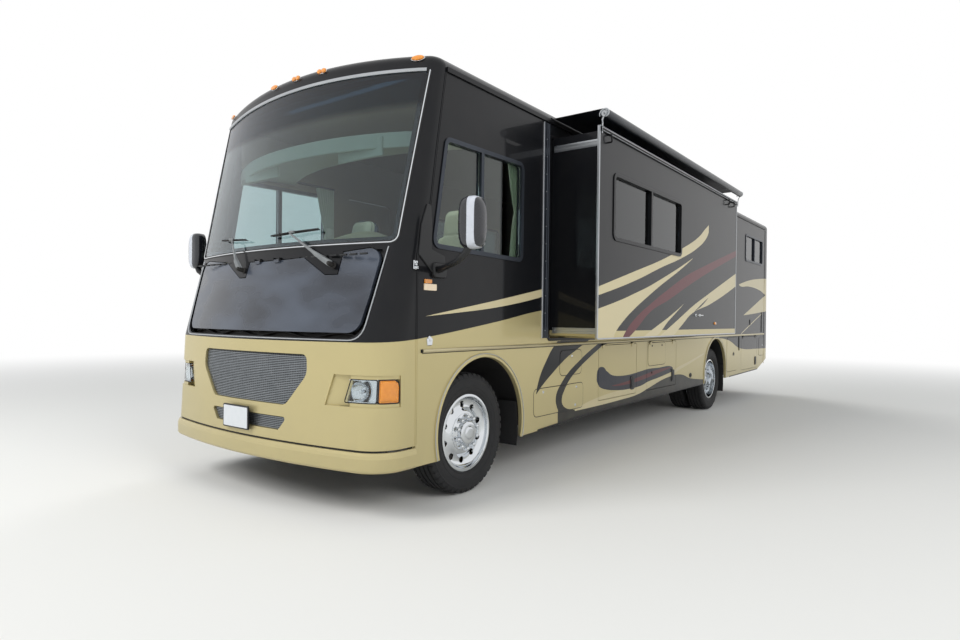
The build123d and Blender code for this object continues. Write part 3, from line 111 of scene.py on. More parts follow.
def uneven(tree, place, size_mm, low, high):
    """Roughness that wanders between two values over so many millimetres."""
    cloud = add_node(tree, "ShaderNodeTexNoise", inputs={
        "Vector": place, "Scale": 1000 / size_mm, "Detail": 3.0})
    return add_node(tree, "ShaderNodeMapRange", inputs={
        "Value": cloud, "From Min": 0.3, "From Max": 0.7, "To Min": low, "To Max": high})


def relief(tree, place, size_mm, depth_mm, detail=3.0):
    """Raised and sunken grains, so many millimetres across and so deep."""
    cloud = add_node(tree, "ShaderNodeTexNoise", inputs={
        "Vector": place, "Scale": 1000 / size_mm, "Detail": detail})
    return add_node(tree, "ShaderNodeBump", inputs={"Height": cloud, "Distance": depth_mm / 1000})


def finish_material(name, colour, shade, rough, patch_mm, grain_mm, depth_mm, more=None):
    """A finish of two near colours in patches, with a fine grain in its roughness and relief."""
    material, tree, place = start_material(name)
    return give_surface(material, {
        "Base Color": patches(tree, place, patch_mm, colour, shade),
        "Roughness": uneven(tree, place, grain_mm, *rough),
        "Normal": relief(tree, place, grain_mm, depth_mm), **(more or {})})


# The livery.  A stripe lies between a low and a high edge at each place along the body:
# rows hold the place and the two edges, in metres.  "along" says which way the rows run.
Stripe = namedtuple("Stripe", "colour along rows")
CREAM = "#c9bd97"
BLACK = "#0b0d12"
GOLD = "#bfb283"
NAVY = "#10182a"
MAROON = "#54151f"

GOLD_RISE = Stripe(GOLD, "y", ((-6.0, 0.0, 1.19), (-5.4, 0.0, 1.186), (-4.954, 0.0, 1.208),
    (-4.707, 0.0, 1.234), (-3.919, 0.0, 1.338), (-3.237, 0.0, 1.438), (-2.9, 0.0, 1.46)))
GOLD_FOOT = Stripe(GOLD, "y", ((-2.9, 0.0, 1.16), (0.24, 0.0, 1.14), (1.2, 0.0, 1.12), (2.449, 0.0, 1.077),
    (3.436, 0.0, 0.894), (4.505, 0.0, 0.861), (5.6, 0.0, 0.85)))
WALL_SWEEP = Stripe(CREAM, "y", ((-4.801, 1.371, 1.371), (-4.5, 1.396, 1.419), (-3.922, 1.453, 1.511),
    (-3.1, 1.585, 1.652)))
TAIL_ARC = Stripe(CREAM, "y", ((3.217, 1.993, 1.993), (3.3, 1.966, 2.008), (3.86, 1.986, 2.092),
    (4.568, 1.959, 2.161), (5.129, 1.878, 2.195), (5.5, 1.83, 2.215)))
TAIL_FAN = Stripe(CREAM, "y", ((3.525, 1.471, 1.471), (4.3, 1.512, 1.67), (5.129, 1.564, 1.878),
    (5.5, 1.585, 1.95)))
TAIL_LINE = Stripe(CREAM, "y", ((3.4, 1.145, 1.16), (4.3, 1.372, 1.39), (4.89, 1.52, 1.535)))
DARK_WEDGE = Stripe(BLACK, "z", ((0.7, -3.327, -3.322), (0.761, -3.306, -3.23), (0.883, -3.241, -3.012),
    (0.99, -3.15, -2.8), (1.077, -3.066, -2.557), (1.159, -2.95, -2.312)))
DARK_HOOK = Stripe(BLACK, "z", ((0.505, -2.925, -2.73), (0.56, -2.963, -2.848), (0.62, -2.98, -2.863),
    (0.7, -2.949, -2.812), (0.768, -2.867, -2.735), (0.853, -2.749, -2.6), (0.954, -2.535, -2.37),
    (1.12, -2.1, -1.93)))
DARK_FOOT = Stripe(BLACK, "y", ((-2.935, 0.3, 0.53), (-2.8, 0.3, 0.516), (-2.485, 0.3, 0.478),
    (-2.293, 0.3, 0.474), (-1.558, 0.3, 0.485), (-1.137, 0.3, 0.5), (-0.732, 0.3, 0.549),
    (-0.261, 0.3, 0.62), (0.2, 0.3, 0.65), (0.802, 0.3, 0.56), (1.36, 0.3, 0.508)))
NAVY_SWOOSH = Stripe(NAVY, "y", ((-2.135, 0.735, 0.79), (-2.102, 0.695, 0.85), (-2.04, 0.655, 0.872),
    (-1.9, 0.624, 0.82), (-1.687, 0.6, 0.757), (-1.375, 0.584, 0.745), (-0.998, 0.592, 0.764),
    (-0.74, 0.628, 0.78), (-0.43, 0.652, 0.776), (-0.03, 0.69, 0.776), (0.09, 0.703, 0.72)))
MAROON_CORE = Stripe(MAROON, "y", ((-1.774, 0.655, 0.657), (-1.56, 0.64, 0.664), (-1.221, 0.645, 0.686),
    (-0.8, 0.672, 0.724), (-0.43, 0.71, 0.755), (-0.098, 0.742, 0.762), (0.04, 0.76, 0.764)))
PALE_SWOOSH = Stripe(CREAM, "y", ((-2.6, 0.474, 0.488), (-2.1, 0.474, 0.56), (-1.558, 0.482, 0.59),
    (-1.137, 0.495, 0.598), (-0.732, 0.549, 0.627), (-0.261, 0.62, 0.66), (0.113, 0.655, 0.705),
    (0.22, 0.685, 0.735), (0.791, 0.776, 0.812), (1.36, 0.872, 0.895)))
COACH_STRIPES = (GOLD_RISE, GOLD_FOOT, WALL_SWEEP, TAIL_ARC, TAIL_FAN, TAIL_LINE, DARK_WEDGE, DARK_HOOK,
    DARK_FOOT, PALE_SWOOSH, NAVY_SWOOSH, MAROON_CORE)

SLIDE_GOLD = Stripe(GOLD, "y", ((-3.2, 0.9, 1.262), (1.3, 0.9, 1.262)))
SLIDE_UPPER = Stripe(CREAM, "y", ((-3.16, 1.565, 1.638), (-2.39, 1.728, 1.819), (-1.65, 1.917, 1.995),
    (-1.05, 2.062, 2.166), (-0.495, 2.232, 2.351), (-0.211, 2.36, 2.493), (-0.1, 2.455, 2.545)))
SLIDE_WEDGE = Stripe(CREAM, "y", ((-3.16, 1.15, 1.449), (-2.85, 1.16, 1.508), (-2.779, 1.243, 1.522),
    (-2.595, 1.356, 1.56), (-2.335, 1.476, 1.62), (-2.03, 1.596, 1.692), (-1.647, 1.738, 1.798),
    (-1.165, 1.902, 1.938), (-0.69, 2.082, 2.088)))
SLIDE_BLADE = Stripe(CREAM, "y", ((-2.185, 1.17, 1.18), (-1.915, 1.175, 1.262), (-1.4, 1.375, 1.41),
    (-0.963, 1.552, 1.553)))
SLIDE_FAN = Stripe(CREAM, "y", ((-1.733, 1.165, 1.187), (-1.344, 1.191, 1.31), (-1.052, 1.3, 1.405),
    (-0.667, 1.452, 1.531), (-0.015, 1.57, 1.712), (1.15, 1.851, 2.028)))
SLIDE_NOTCH = Stripe(BLACK, "y", ((-0.6, 1.47, 1.472), (-0.33, 1.545, 1.568), (-0.08, 1.648, 1.65)))
SLIDE_BAND = Stripe(MAROON, "y", ((-2.6, 1.15, 1.215), (-2.376, 1.24, 1.357), (-1.9, 1.465, 1.545),
    (-1.474, 1.574, 1.69), (-0.85, 1.755, 1.885), (-0.222, 1.926, 2.035), (1.15, 2.268, 2.348)))
SLIDE_STRIPES = (SLIDE_GOLD, SLIDE_BAND, SLIDE_UPPER, SLIDE_WEDGE, SLIDE_BLADE, SLIDE_FAN, SLIDE_NOTCH)


def inside_stripe(tree, axes, stripe):
    """1 on the stripe and 0 off it: two drawn curves and the stripe's two ends."""
    across = axes["Z"] if stripe.along == "y" else axes["Y"]
    first, last = stripe.rows[0][0], stripe.rows[-1][0]
    bottom, top = min(row[1] for row in stripe.rows), max(row[2] for row in stripe.rows)
    place = add_node(tree, "ShaderNodeMapRange", {"clamp": False}, {
        "Value": axes[stripe.along.upper()], "From Min": first, "From Max": last})
    height = add_node(tree, "ShaderNodeMapRange", {"clamp": False}, {
        "Value": across, "From Min": bottom, "From Max": top})
    inside = add_node(tree, "ShaderNodeMath", {"operation": "COMPARE"}, {0: place, 1: 0.5, 2: 0.5})
    for column, operation in ((1, "GREATER_THAN"), (2, "LESS_THAN")):
        curve = add_node(tree, "ShaderNodeFloatCurve", inputs={"Value": place})
        points = curve.mapping.curves[0].points
        spots = [((row[0] - first) / (last - first), (row[column] - bottom) / (top - bottom))
                 for row in stripe.rows]
        points[0].location, points[1].location = spots[0], spots[-1]
        for spot in spots[1:-1]:
            points.new(*spot)
        curve.mapping.update()
        past = add_node(tree, "ShaderNodeMath", {"operation": operation}, {0: height, 1: curve})
        inside = add_node(tree, "ShaderNodeMath", {"operation": "MULTIPLY"}, {0: inside, 1: past})
    return inside


def within(tree, limits):
    """1 where each value keeps to its side of its limit, and 0 elsewhere."""
    inside = 1.0
    for value, operation, limit in limits:
        kept = add_node(tree, "ShaderNodeMath", {"operation": operation}, {0: value, 1: limit})
        inside = add_node(tree, "ShaderNodeMath", {"operation": "MULTIPLY"}, {0: inside, 1: kept})
    return inside


def coach_paint(name, stripes, dust, lined=False):
    """Clear-coated automotive paint: a deep mirror gloss over the colour, with road dust low down."""
    material, tree, place = start_material(name)
    axes = add_node(tree, "ShaderNodeSeparateXYZ", inputs={"Vector": place}).outputs
    colour, metal, coat = linear(BLACK), 0.05, 0.3
    for stripe in stripes:
        mask = inside_stripe(tree, axes, stripe)
        colour = add_node(tree, "ShaderNodeMix", {"data_type": "RGBA"}, {
            "Factor": mask, "A": colour, "B": linear(stripe.colour)})
        # gold and cream hold aluminium flake
        flakes = {GOLD: 0.45, CREAM: 0.15}.get(stripe.colour, 0.0)
        metal = add_node(tree, "ShaderNodeMix", {"data_type": "FLOAT"}, {
            "Factor": mask, "A": metal, "B": flakes})
    # dust thrown up by the wheels, thickest at the foot
    low = add_node(tree, "ShaderNodeMapRange", inputs={
        "Value": axes["Z"], "From Min": 0.34, "From Max": 0.95, "To Min": dust, "To Max": 0.02})
    cloud = add_node(tree, "ShaderNodeTexNoise", inputs={
        "Vector": place, "Scale": 1000 / 160, "Detail": 5.0})
    film = add_node(tree, "ShaderNodeMath", {"operation": "MULTIPLY"}, {0: low, 1: cloud})
    colour = add_node(tree, "ShaderNodeMix", {"data_type": "RGBA"}, {
        "Factor": film, "A": colour, "B": linear("#8c8471")})
    if lined:
        # the inner faces of walls and doors carry a vinyl-faced board instead
        across = add_node(tree, "ShaderNodeMath", {"operation": "ABSOLUTE"}, {0: axes["X"]})
        inside = within(tree, ((across, "LESS_THAN", 1.2645), (axes["Y"], "GREATER_THAN", -4.6),
                               (axes["Y"], "LESS_THAN", 5.0)))
        colour = add_node(tree, "ShaderNodeMix", {"data_type": "RGBA"}, {
            "Factor": inside, "A": colour, "B": patches(tree, place, 500, "#7d735c", "#8a8069")})
        coat = add_node(tree, "ShaderNodeMix", {"data_type": "FLOAT"}, {
            "Factor": inside, "A": coat, "B": 0.0})
    # the relief is the orange peel of a sprayed coat
    return give_surface(material, {
        "Base Color": colour, "Metallic": metal, "Coat Weight": coat, "Coat Roughness": 0.02,
        "Specular IOR Level": 0.12, "Roughness": uneven(tree, place, 1.5, 0.28, 0.42),
        "Normal": relief(tree, place, 30, 0.05, 1.0)})


def shell_with_painted_reflection():
    """Mirror shell: black moulded plastic with a pale silver-grey band down its outer half, a painted
    reflection of the sky.
    """
    material, tree, place = start_material("mirror_abs_with_painted_reflection")
    axes = add_node(tree, "ShaderNodeSeparateXYZ", inputs={"Vector": place}).outputs
    across = add_node(tree, "ShaderNodeMath", {"operation": "ABSOLUTE"}, {0: axes["X"]})
    band = add_node(tree, "ShaderNodeMath", {"operation": "COMPARE"}, {0: across, 1: 1.712, 2: 0.03})
    # painted reflection: a pale silver-grey band down the shell's outer half
    colours = add_node(tree, "ShaderNodeMix", {"data_type": "RGBA"}, {
        "Factor": band, "A": patches(tree, place, 60, "#101218", "#1a1c24"),
        "B": patches(tree, place, 60, "#b4b8c2", "#c6cad1")})
    return give_surface(material, {
        "Base Color": colours, "Coat Weight": 0.6, "Coat Roughness": 0.06,
        "Roughness": uneven(tree, place, 60, 0.22, 0.34)})


def window_glass(name, tint, band=None):
    """Tinted safety glass: clear through, with the sky on its face.

    A band is an axis, where it starts and ends, and the tint past its end.
    """
    material, tree, place = start_material(name)
    colour = patches(tree, place, 400, *tint)
    if band:
        axis, start, end, past = band
        axes = add_node(tree, "ShaderNodeSeparateXYZ", inputs={"Vector": place}).outputs
        share = add_node(tree, "ShaderNodeMapRange", {"interpolation_type": "SMOOTHSTEP"}, {
            "Value": axes[axis], "From Min": start, "From Max": end})
        colour = add_node(tree, "ShaderNodeMix", {"data_type": "RGBA"}, {
            "Factor": share, "A": colour, "B": linear(past)})
    return give_surface(material, {
        "Base Color": colour, "Transmission Weight": 1.0, "IOR": 1.45, "Coat Weight": 0.05,
        "Coat Roughness": 0.02, "Roughness": uneven(tree, place, 400, 0.0, 0.02)})


def faded_lacquer_with_painted_sheen():
    """The hood: black lacquer faded to a powdery grey by the sun, with fine dust on it; its paler slanting
    streaks are partly that fading and partly a painted reflection of the sky.
    """
    material, tree, place = start_material("hood_faded_lacquer_painted_sheen")
    slanted = add_node(tree, "ShaderNodeMapping", inputs={
        "Vector": place, "Rotation": (0.0, 0.7, 0.0), "Scale": (1.0, 1.0, 2.2)})
    wiped = add_node(tree, "ShaderNodeTexNoise", inputs={
        "Vector": slanted, "Scale": 1000 / 520, "Detail": 2.0})
    fade_and_sheen_streaks = add_node(tree, "ShaderNodeMapRange", {"interpolation_type": "SMOOTHSTEP"}, {
        "Value": wiped, "From Min": 0.28, "From Max": 0.74})
    # painted reflection: the paler grey of the slanting streaks is partly sun-faded lacquer and partly the
    # sky's sheen painted in
    faded_and_sheen_grey = add_node(tree, "ShaderNodeMix", {"data_type": "RGBA"}, {
        "Factor": fade_and_sheen_streaks, "A": linear("#252931"), "B": linear("#464d59")})
    specks = add_node(tree, "ShaderNodeTexNoise", inputs={
        "Vector": place, "Scale": 1000 / 5, "Detail": 4.0})
    fine = add_node(tree, "ShaderNodeMapRange", inputs={
        "Value": specks, "From Min": 0.56, "From Max": 0.8, "To Max": 0.22})
    dusted = add_node(tree, "ShaderNodeMix", {"data_type": "RGBA"}, {
        "Factor": fine, "A": faded_and_sheen_grey, "B": linear("#7c8088")})
    dull = add_node(tree, "ShaderNodeMapRange", inputs={
        "Value": fade_and_sheen_streaks, "From Min": 0.3, "From Max": 0.7, "To Min": 0.24, "To Max": 0.38})
    return give_surface(material, {
        "Base Color": dusted, "Roughness": dull, "Normal": relief(tree, place, 30, 0.02, 1.0),
        "Coat Weight": 0.45, "Coat Roughness": 0.16, "Specular IOR Level": 0.35})


def ribbed_lens(name, colour, shade, rib_mm):
    """Moulded acrylic lens: vivid colour, with fine upright ribs on its inner face and painted highlights
    along them.
    """
    material, tree, place = start_material(name)
    slanted = add_node(tree, "ShaderNodeMapping", inputs={
        "Vector": place, "Rotation": (0.0, 0.0, -pi / 4)})
    # a band texture of scale 1 repeats every 314 mm
    ribs = add_node(tree, "ShaderNodeTexWave", {"wave_type": "BANDS", "bands_direction": "X"}, {
        "Vector": slanted, "Scale": 314 / rib_mm}).outputs["Fac"]
    # painted highlights: the ribs lighten the colour in stripes, towards the lighter amber
    lit = add_node(tree, "ShaderNodeMapRange", inputs={"Value": ribs, "To Min": 0.0, "To Max": 0.45})
    colours = add_node(tree, "ShaderNodeMix", {"data_type": "RGBA"}, {
        "Factor": lit, "A": patches(tree, place, 34, colour, shade, 2.0), "B": linear(shade)})
    bump = add_node(tree, "ShaderNodeBump", inputs={"Height": ribs, "Distance": 0.0004})
    return give_surface(material, {
        "Base Color": colours, "Normal": bump, "Transmission Weight": 0.25, "Coat Weight": 1.0,
        "Roughness": 0.1})


def woven_cloth(name, colour, shade, thread_mm, more):
    """Woven cloth: warp and weft in relief, the colour a little faded in patches."""
    material, tree, place = start_material(name)
    threads = [add_node(tree, "ShaderNodeTexWave", {"wave_type": "BANDS", "bands_direction": way}, {
        "Vector": place, "Scale": 314 / thread_mm, "Distortion": 0.6}).outputs["Fac"] for way in "YZ"]
    weave = add_node(tree, "ShaderNodeMath", {"operation": "MULTIPLY"}, {0: threads[0], 1: threads[1]})
    # painted shade: the gaps between the threads are darkened towards near black
    painted_thread_gap_shade = add_node(tree, "ShaderNodeMapRange", inputs={
        "Value": weave, "From Max": 0.5, "To Min": 0.18, "To Max": 0.0})
    colours = add_node(tree, "ShaderNodeMix", {"data_type": "RGBA"}, {
        "Factor": painted_thread_gap_shade, "A": patches(tree, place, 260, colour, shade), "B": linear("#20241f")})
    bump = add_node(tree, "ShaderNodeBump", inputs={"Height": weave, "Distance": 0.00012})
    return give_surface(material, {"Base Color": colours, "Normal": bump, **more})


def roof_coat():
    """White gelcoat on the roof, the coach's paint down its rounded edges, cloth on its inner face."""
    material, tree, place = start_material("roof_gelcoat_and_edge_paint")
    axes = add_node(tree, "ShaderNodeSeparateXYZ", inputs={"Vector": place}).outputs
    across = add_node(tree, "ShaderNodeMath", {"operation": "ABSOLUTE"}, {0: axes["X"]})
    edge = within(tree, ((across, "GREATER_THAN", 1.175),))
    edged = add_node(tree, "ShaderNodeMix", {"data_type": "RGBA"}, {
        "Factor": edge, "A": patches(tree, place, 700, "#d9d7cd", "#bdb8a9", 5.0), "B": linear(BLACK)})
    inner = within(tree, ((axes["Z"], "LESS_THAN", 3.145), (across, "LESS_THAN", 1.262)))
    colours = add_node(tree, "ShaderNodeMix", {"data_type": "RGBA"}, {
        "Factor": inner, "A": edged, "B": linear("#77705f")})
    return give_surface(material, {
        "Base Color": colours, "Roughness": uneven(tree, place, 4, 0.3, 0.45),
        "Normal": relief(tree, place, 4, 0.05), "Coat Weight": 0.3, "Coat Roughness": 0.05})


PAINT = coach_paint("coach_clearcoat_paint", COACH_STRIPES, 0.25, lined=True)
SLIDE_PAINT = coach_paint("slide_clearcoat_paint", SLIDE_STRIPES, 0.0)
DARK_PAINT = coach_paint("slide_box_clearcoat", (SLIDE_GOLD,), 0.0)
HOOD_PAINT = faded_lacquer_with_painted_sheen()
# the cab's panes are clearer than those of the living room
CABIN_GLASS = window_glass("cabin_tinted_glass", ("#c4d2cc", "#cddad2"), ("Y", -3.3, -3.2, "#2f3b42"))
MIRROR_SHELL = shell_with_painted_reflection()
# laminated glass with a shade band at its head
SCREEN_GLASS = window_glass(
    "windshield_laminated_glass", ("#bfd3de", "#c8dae2"), ("Z", 2.815, 2.9, "#32506e"))
LENS = window_glass("lamp_clear_polycarbonate", ("#e8eef0", "#f4f8f8"))
AMBER = ribbed_lens("lamp_amber_acrylic", "#dd7a0a", "#ffa62a", 5.5)
# moulded red acrylic: deep colour under a wet gloss
RED = finish_material("lamp_red_acrylic", "#9c0d10", "#c01518", (0.08, 0.14), 60, 8, 0.3,
                      {"Transmission Weight": 0.2, "Coat Weight": 1.0})
# polished chromium plate: mirror bright and cold
CHROME = finish_material(
    "chromium_plate", "#dfe2e4", "#cfd3d8", (0.04, 0.1), 180, 3, 0.004, {"Metallic": 1.0})
# rolled and clear-anodised aluminium: silver with a soft satin
SATIN_ALUMINIUM = finish_material(
    "anodised_aluminium", "#aeb2b6", "#c2c5c8", (0.28, 0.4), 220, 1.2, 0.01, {"Metallic": 1.0})
# extruded and dyed black in the anodising bath: dark with a dull sheen
BLACK_ALUMINIUM = finish_material(
    "black_anodised_aluminium", "#111214", "#1c1d20", (0.3, 0.42), 200, 1.5, 0.01, {"Metallic": 0.5})
# warm anodised aluminium of the belt moulding: champagne, satin
CHAMPAGNE_ALUMINIUM = finish_material(
    "belt_champagne_anodised_aluminium", "#b9ae8b", "#cabf9c", (0.28, 0.38), 240, 1.4, 0.01,
    {"Metallic": 0.8})
# grey anodised extrusions of posts, window frames and the curtain track: slate with a satin
POST_ALUMINIUM = finish_material(
    "post_grey_anodised_aluminium", "#34383f", "#454a52", (0.3, 0.42), 240, 1.4, 0.01, {"Metallic": 0.75})
# powder-coated steel: dull black with a faint pebbling
BLACK_STEEL = finish_material(
    "chassis_powder_coated_steel", "#121212", "#1f1c19", (0.5, 0.7), 300, 6, 0.15)
# sand-cast iron: rough, brown where it has rusted
CAST_IRON = finish_material(
    "axle_cast_iron", "#1d1b1a", "#332a22", (0.6, 0.85), 150, 5, 0.4, {"Metallic": 0.4})
# vulcanised rubber: matt, greyed by the road
RUBBER = finish_material("tyre_vulcanised_rubber", "#141416", "#1f1f20", (0.62, 0.85), 120, 2.5, 0.08)
# extruded rubber seal: black and a little waxy
SEAL_RUBBER = finish_material("window_seal_epdm", "#0c0c0d", "#161617", (0.5, 0.7), 200, 2, 0.05)
# moulded plastic with a fine leather grain: soft black
ABS_BLACK = finish_material("mirror_moulded_abs", "#101113", "#1a1b1d", (0.38, 0.52), 250, 1.6, 0.06)
# rotomoulded polyethylene: waxy, slightly orange-peeled
POLYETHYLENE = finish_material(
    "tank_rotomoulded_polyethylene", "#161617", "#242425", (0.5, 0.68), 260, 3, 0.12)
# sprayed gelcoat, weathered: chalky white
GELCOAT = finish_material(
    "roof_white_gelcoat", "#d9d7cd", "#c6c2b5", (0.3, 0.45), 700, 4, 0.05, {"Coat Weight": 0.3})
ROOF_COAT = roof_coat()
# embossed vinyl over foam: cream and soft
DASH_VINYL = finish_material("dash_cream_vinyl", "#dcd3a8", "#cec497", (0.5, 0.65), 300, 1.4, 0.12)
HEADER_VINYL = finish_material("header_moulded_vinyl", "#cdd4b9", "#bfc7aa", (0.45, 0.6), 260, 1.2, 0.1)
# oiled oak boards: warm brown, open grained
OAK = finish_material("floor_oiled_oak", "#6f4f30", "#85623e", (0.4, 0.6), 220, 6, 0.1)
# pebbled vinyl tread: grey, with a coarse non-slip relief
STEP_VINYL = finish_material("step_pebbled_vinyl", "#4c4a45", "#5c5951", (0.5, 0.7), 180, 2.2, 0.22)
# galvanised wire and slats: bright grey, a little dulled by the zinc
GALVANISED = finish_material(
    "grille_galvanised_wire", "#9b9fa3", "#7f8488", (0.35, 0.5), 90, 2, 0.01, {"Metallic": 0.9})
# stoved enamel of the wiper arms: grey, chalky on top
WIPER_ENAMEL = finish_material(
    "wiper_stoved_enamel", "#6e7173", "#8b8e8f", (0.4, 0.55), 90, 2, 0.02, {"Metallic": 0.35})
# silvered glass: a clean reflection
MIRROR_SILVER = finish_material(
    "mirror_silvered_glass", "#eef0f2", "#e6e9ec", (0.01, 0.03), 500, 40, 0.001, {"Metallic": 1.0})
# moulded acrylic of reflectors: milky cream, glossy
MARKER_CREAM = finish_material(
    "side_reflector_acrylic", "#e6cfae", "#f0dcc0", (0.15, 0.25), 30, 4, 0.05, {"Coat Weight": 0.6})
# ceramic frit fired on the glass: flat black
CERAMIC_FRIT = finish_material(
    "windshield_ceramic_frit", "#060607", "#0c0c0e", (0.35, 0.5), 120, 2, 0.01)
# beaded reflective sheet: cool white, faintly sparkling
PLATE_WHITE = finish_material(
    "number_plate_reflective_sheet", "#d6d9dc", "#cbcfd2", (0.35, 0.45), 40, 1.2, 0.01)
# coated cloth with a semi-gloss face, its weave showing through
TOPPER_VINYL = woven_cloth(
    "topper_coated_cloth", "#12151c", "#1c2029", 1.6, {"Roughness": 0.34, "Coat Weight": 0.25})
CURTAIN_CLOTH_FINISH = woven_cloth(
    "curtain_woven_polyester", "#dde6d2", "#cfdac4", 1.1, {"Roughness": 0.7, "Sheen Weight": 0.3})
# soft leatherette: pale green-grey with fine pores, its piping a shade darker
SEAT_VINYL = finish_material(
    "seat_soft_leatherette", "#bcc4a8", "#a9b196", (0.38, 0.52), 160, 1.1, 0.16, {"Sheen Weight": 0.1})
SEAT_PIPING = finish_material(
    "seat_piping_leatherette", "#8f9680", "#7f8672", (0.4, 0.55), 60, 0.8, 0.1)
# printed dial under a clear lacquer: near black, glossy
DIAL_FACE = finish_material(
    "dial_printed_face", "#15171a", "#22262b", (0.2, 0.35), 20, 2, 0.01, {"Coat Weight": 0.8})


# Shapes

SIDES = ((1, "left"), (-1, "right"))


def place_object(name, data):
    """An object of its data, linked to the scene."""
    made = bpy.data.objects.new(name, data)
    bpy.context.scene.collection.objects.link(made)
    return made


def clean_mesh(name, made):
    """A mesh from a bmesh: doubles merged, faces pointing outwards."""
    bmesh.ops.remove_doubles(made, verts=made.verts, dist=1e-6)
    bmesh.ops.recalc_face_normals(made, faces=made.faces)
    mesh = bpy.data.meshes.new(name)
    made.to_mesh(mesh)
    made.free()
    return mesh


def add_piece(name, made, material, body="coach", sharp=35):
    """A finished piece: smooth but for its edges, riding on a body."""
    mesh = clean_mesh(name, made)
    mesh.materials.append(material)
    mesh.shade_smooth()
    mesh.set_sharp_from_angle(angle=radians(sharp))
    piece = place_object(name, mesh)
    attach(piece, body)
    return piece


def behind(distance_mm):
    """Y of a place that lies so many millimetres behind the front axle."""
    return FRONT_AXLE + distance_mm / 1000


# Rows of the nose: height, y of the face at the middle, bow and corner radius
NOSE_ROWS = ((0.25, behind(-1190), 5.3, 0.24), (1.19, behind(-1145), 5.3, 0.24),
    (1.86, behind(-985), 4.35, 0.16), (3.42, behind(-698), 3.65, 0.13))


def nose_y(x, z):
    """Where the front face stands at a width and a height."""
    for low, high in zip(NOSE_ROWS, NOSE_ROWS[1:]):
        if z <= high[0]:
            break
    share = (z - low[0]) / (high[0] - low[0])
    tip, bow, corner = (a + (b - a) * share for a, b in zip(low[1:], high[1:]))
    corner_x = SIDE - corner
    reach = bow - corner
    corner_y = tip + bow - sqrt(reach**2 - corner_x**2)
    x = min(abs(x), SIDE)
    if x <= bow * corner_x / reach:
        return tip + bow - sqrt(bow**2 - x**2)
    return corner_y - sqrt(max(corner**2 - (x - corner_x)**2, 0))


def nose_point(x, z, proud=0.0):
    """A point on the front face or proud of it, and the way out."""
    step = 0.004
    along_x = Vector((2 * step, nose_y(x + step, z) - nose_y(x - step, z), 0))
    along_z = Vector((0, nose_y(x, z + step) - nose_y(x, z - step), 2 * step))
    out = along_x.cross(along_z).normalized()
    return Vector((x, nose_y(x, z), z)) + out * proud, out


def nose_line(path, lift):
    """Points on the front face or proud of it, and the way out at each."""
    return list(zip(*(nose_point(x, z, lift) for x, z in path)))


def spaced(start, end, count):
    """Points evenly spaced from a start to an end."""
    start, end = Vector(start), Vector(end)
    return [start.lerp(end, k / count) for k in range(count + 1)]


def rounded(corners, radius, spacing=0.06, closed=True, steps=6):
    """Flat points along straight sides with rounded corners."""
    corners = [Vector(corner) for corner in corners]
    count, path, arcs = len(corners), [], []
    for number in range(count) if closed else range(1, count - 1):
        before, here, after = (corners[(number + k) % count] for k in (-1, 0, 1))
        way_in, way_out = (here - before).normalized(), (after - here).normalized()
        half_turn = way_in.angle(way_out) / 2
        reach = radius * abs(sin(half_turn) / cos(half_turn))
        start, end = here - way_in * reach, here + way_out * reach
        arcs.append([start.lerp(here, k / steps).lerp(here.lerp(end, k / steps), k / steps)
                     for k in range(steps + 1)])
    if not closed:
        arcs = [[corners[0]]] + arcs + [[corners[-1]]]
    for arc, following in zip(arcs, arcs[1:] + ([arcs[0]] if closed else [])):
        pieces = max(int((following[0] - arc[-1]).length / spacing), 1)
        path += arc + [arc[-1].lerp(following[0], k / pieces) for k in range(1, pieces)]
    return path if closed else path + arcs[-1]


def corners_of(low, high):
    """The four corners of an upright rectangle."""
    return ((low[0], low[1]), (high[0], low[1]), (high[0], high[1]), (low[0], high[1]))


def soft_box(low, high, radius, spacing=0.06):
    """The outline of an upright rectangle with rounded corners."""
    return rounded(corners_of(low, high), radius, spacing)


def oval(half_a, half_b, power=2.0, count=24):
    """Flat points round an oval, which a higher power makes squarer."""
    turns = [(cos(2 * pi * k / count), sin(2 * pi * k / count)) for k in range(count)]
    return [(half_a * abs(c) ** (2 / power) * (1 if c > 0 else -1),
             half_b * abs(s) ** (2 / power) * (1 if s > 0 else -1)) for c, s in turns]


# Mouldings' sections: across and proud of the surface, as shares of the width and height
HALF_ROUND = ((-0.5, -0.4), (-0.5, 0.35), (-0.34, 0.82), (0, 1), (0.34, 0.82), (0.5, 0.35), (0.5, -0.4))
FLAT_STRIP = ((-0.5, -0.4), (-0.5, 0.7), (-0.44, 1), (0.44, 1), (0.5, 0.7), (0.5, -0.4))
GROOVED = ((-0.5, -0.4), (-0.5, 0.5), (-0.38, 1), (-0.1, 1), (-0.04, 0.35), (0.04, 0.35), (0.1, 1),
    (0.38, 1), (0.5, 0.5), (0.5, -0.4))


def stitch(bm, rows, wrap=True):
    """Faces between neighbouring rows of points, each closed in itself or open."""
    count = len(rows[0])
    for a, b in zip(rows, rows[1:]):
        for i in range(count if wrap else count - 1):
            j = (i + 1) % count
            bm.faces.new((a[i], a[j], b[j], b[i]))


def skin(bm, rings, closed=False):
    """Joins rings of points into a skin, closed in itself or capped at both ends."""
    stitch(bm, rings + (rings[:1] if closed else []))
    if not closed:
        bm.faces.new(reversed(rings[0]))
        bm.faces.new(rings[-1])
    return bm


def moulding(bm, path, outs, width, proud, section=HALF_ROUND, closed=True):
    """Sweeps a section along points of a surface, given the way out at each or for all."""
    rings, count = [], len(path)
    for number, point in enumerate(path):
        out = outs if isinstance(outs, Vector) else outs[number]
        ahead = path[(number + 1) % count] if closed else path[min(number + 1, count - 1)]
        back = path[number - 1] if closed else path[max(number - 1, 0)]
        across = (ahead - back).cross(out).normalized()
        rings.append([bm.verts.new(point + across * width * s + out * proud * h)
                      for s, h in section])
    return skin(bm, rings, closed)


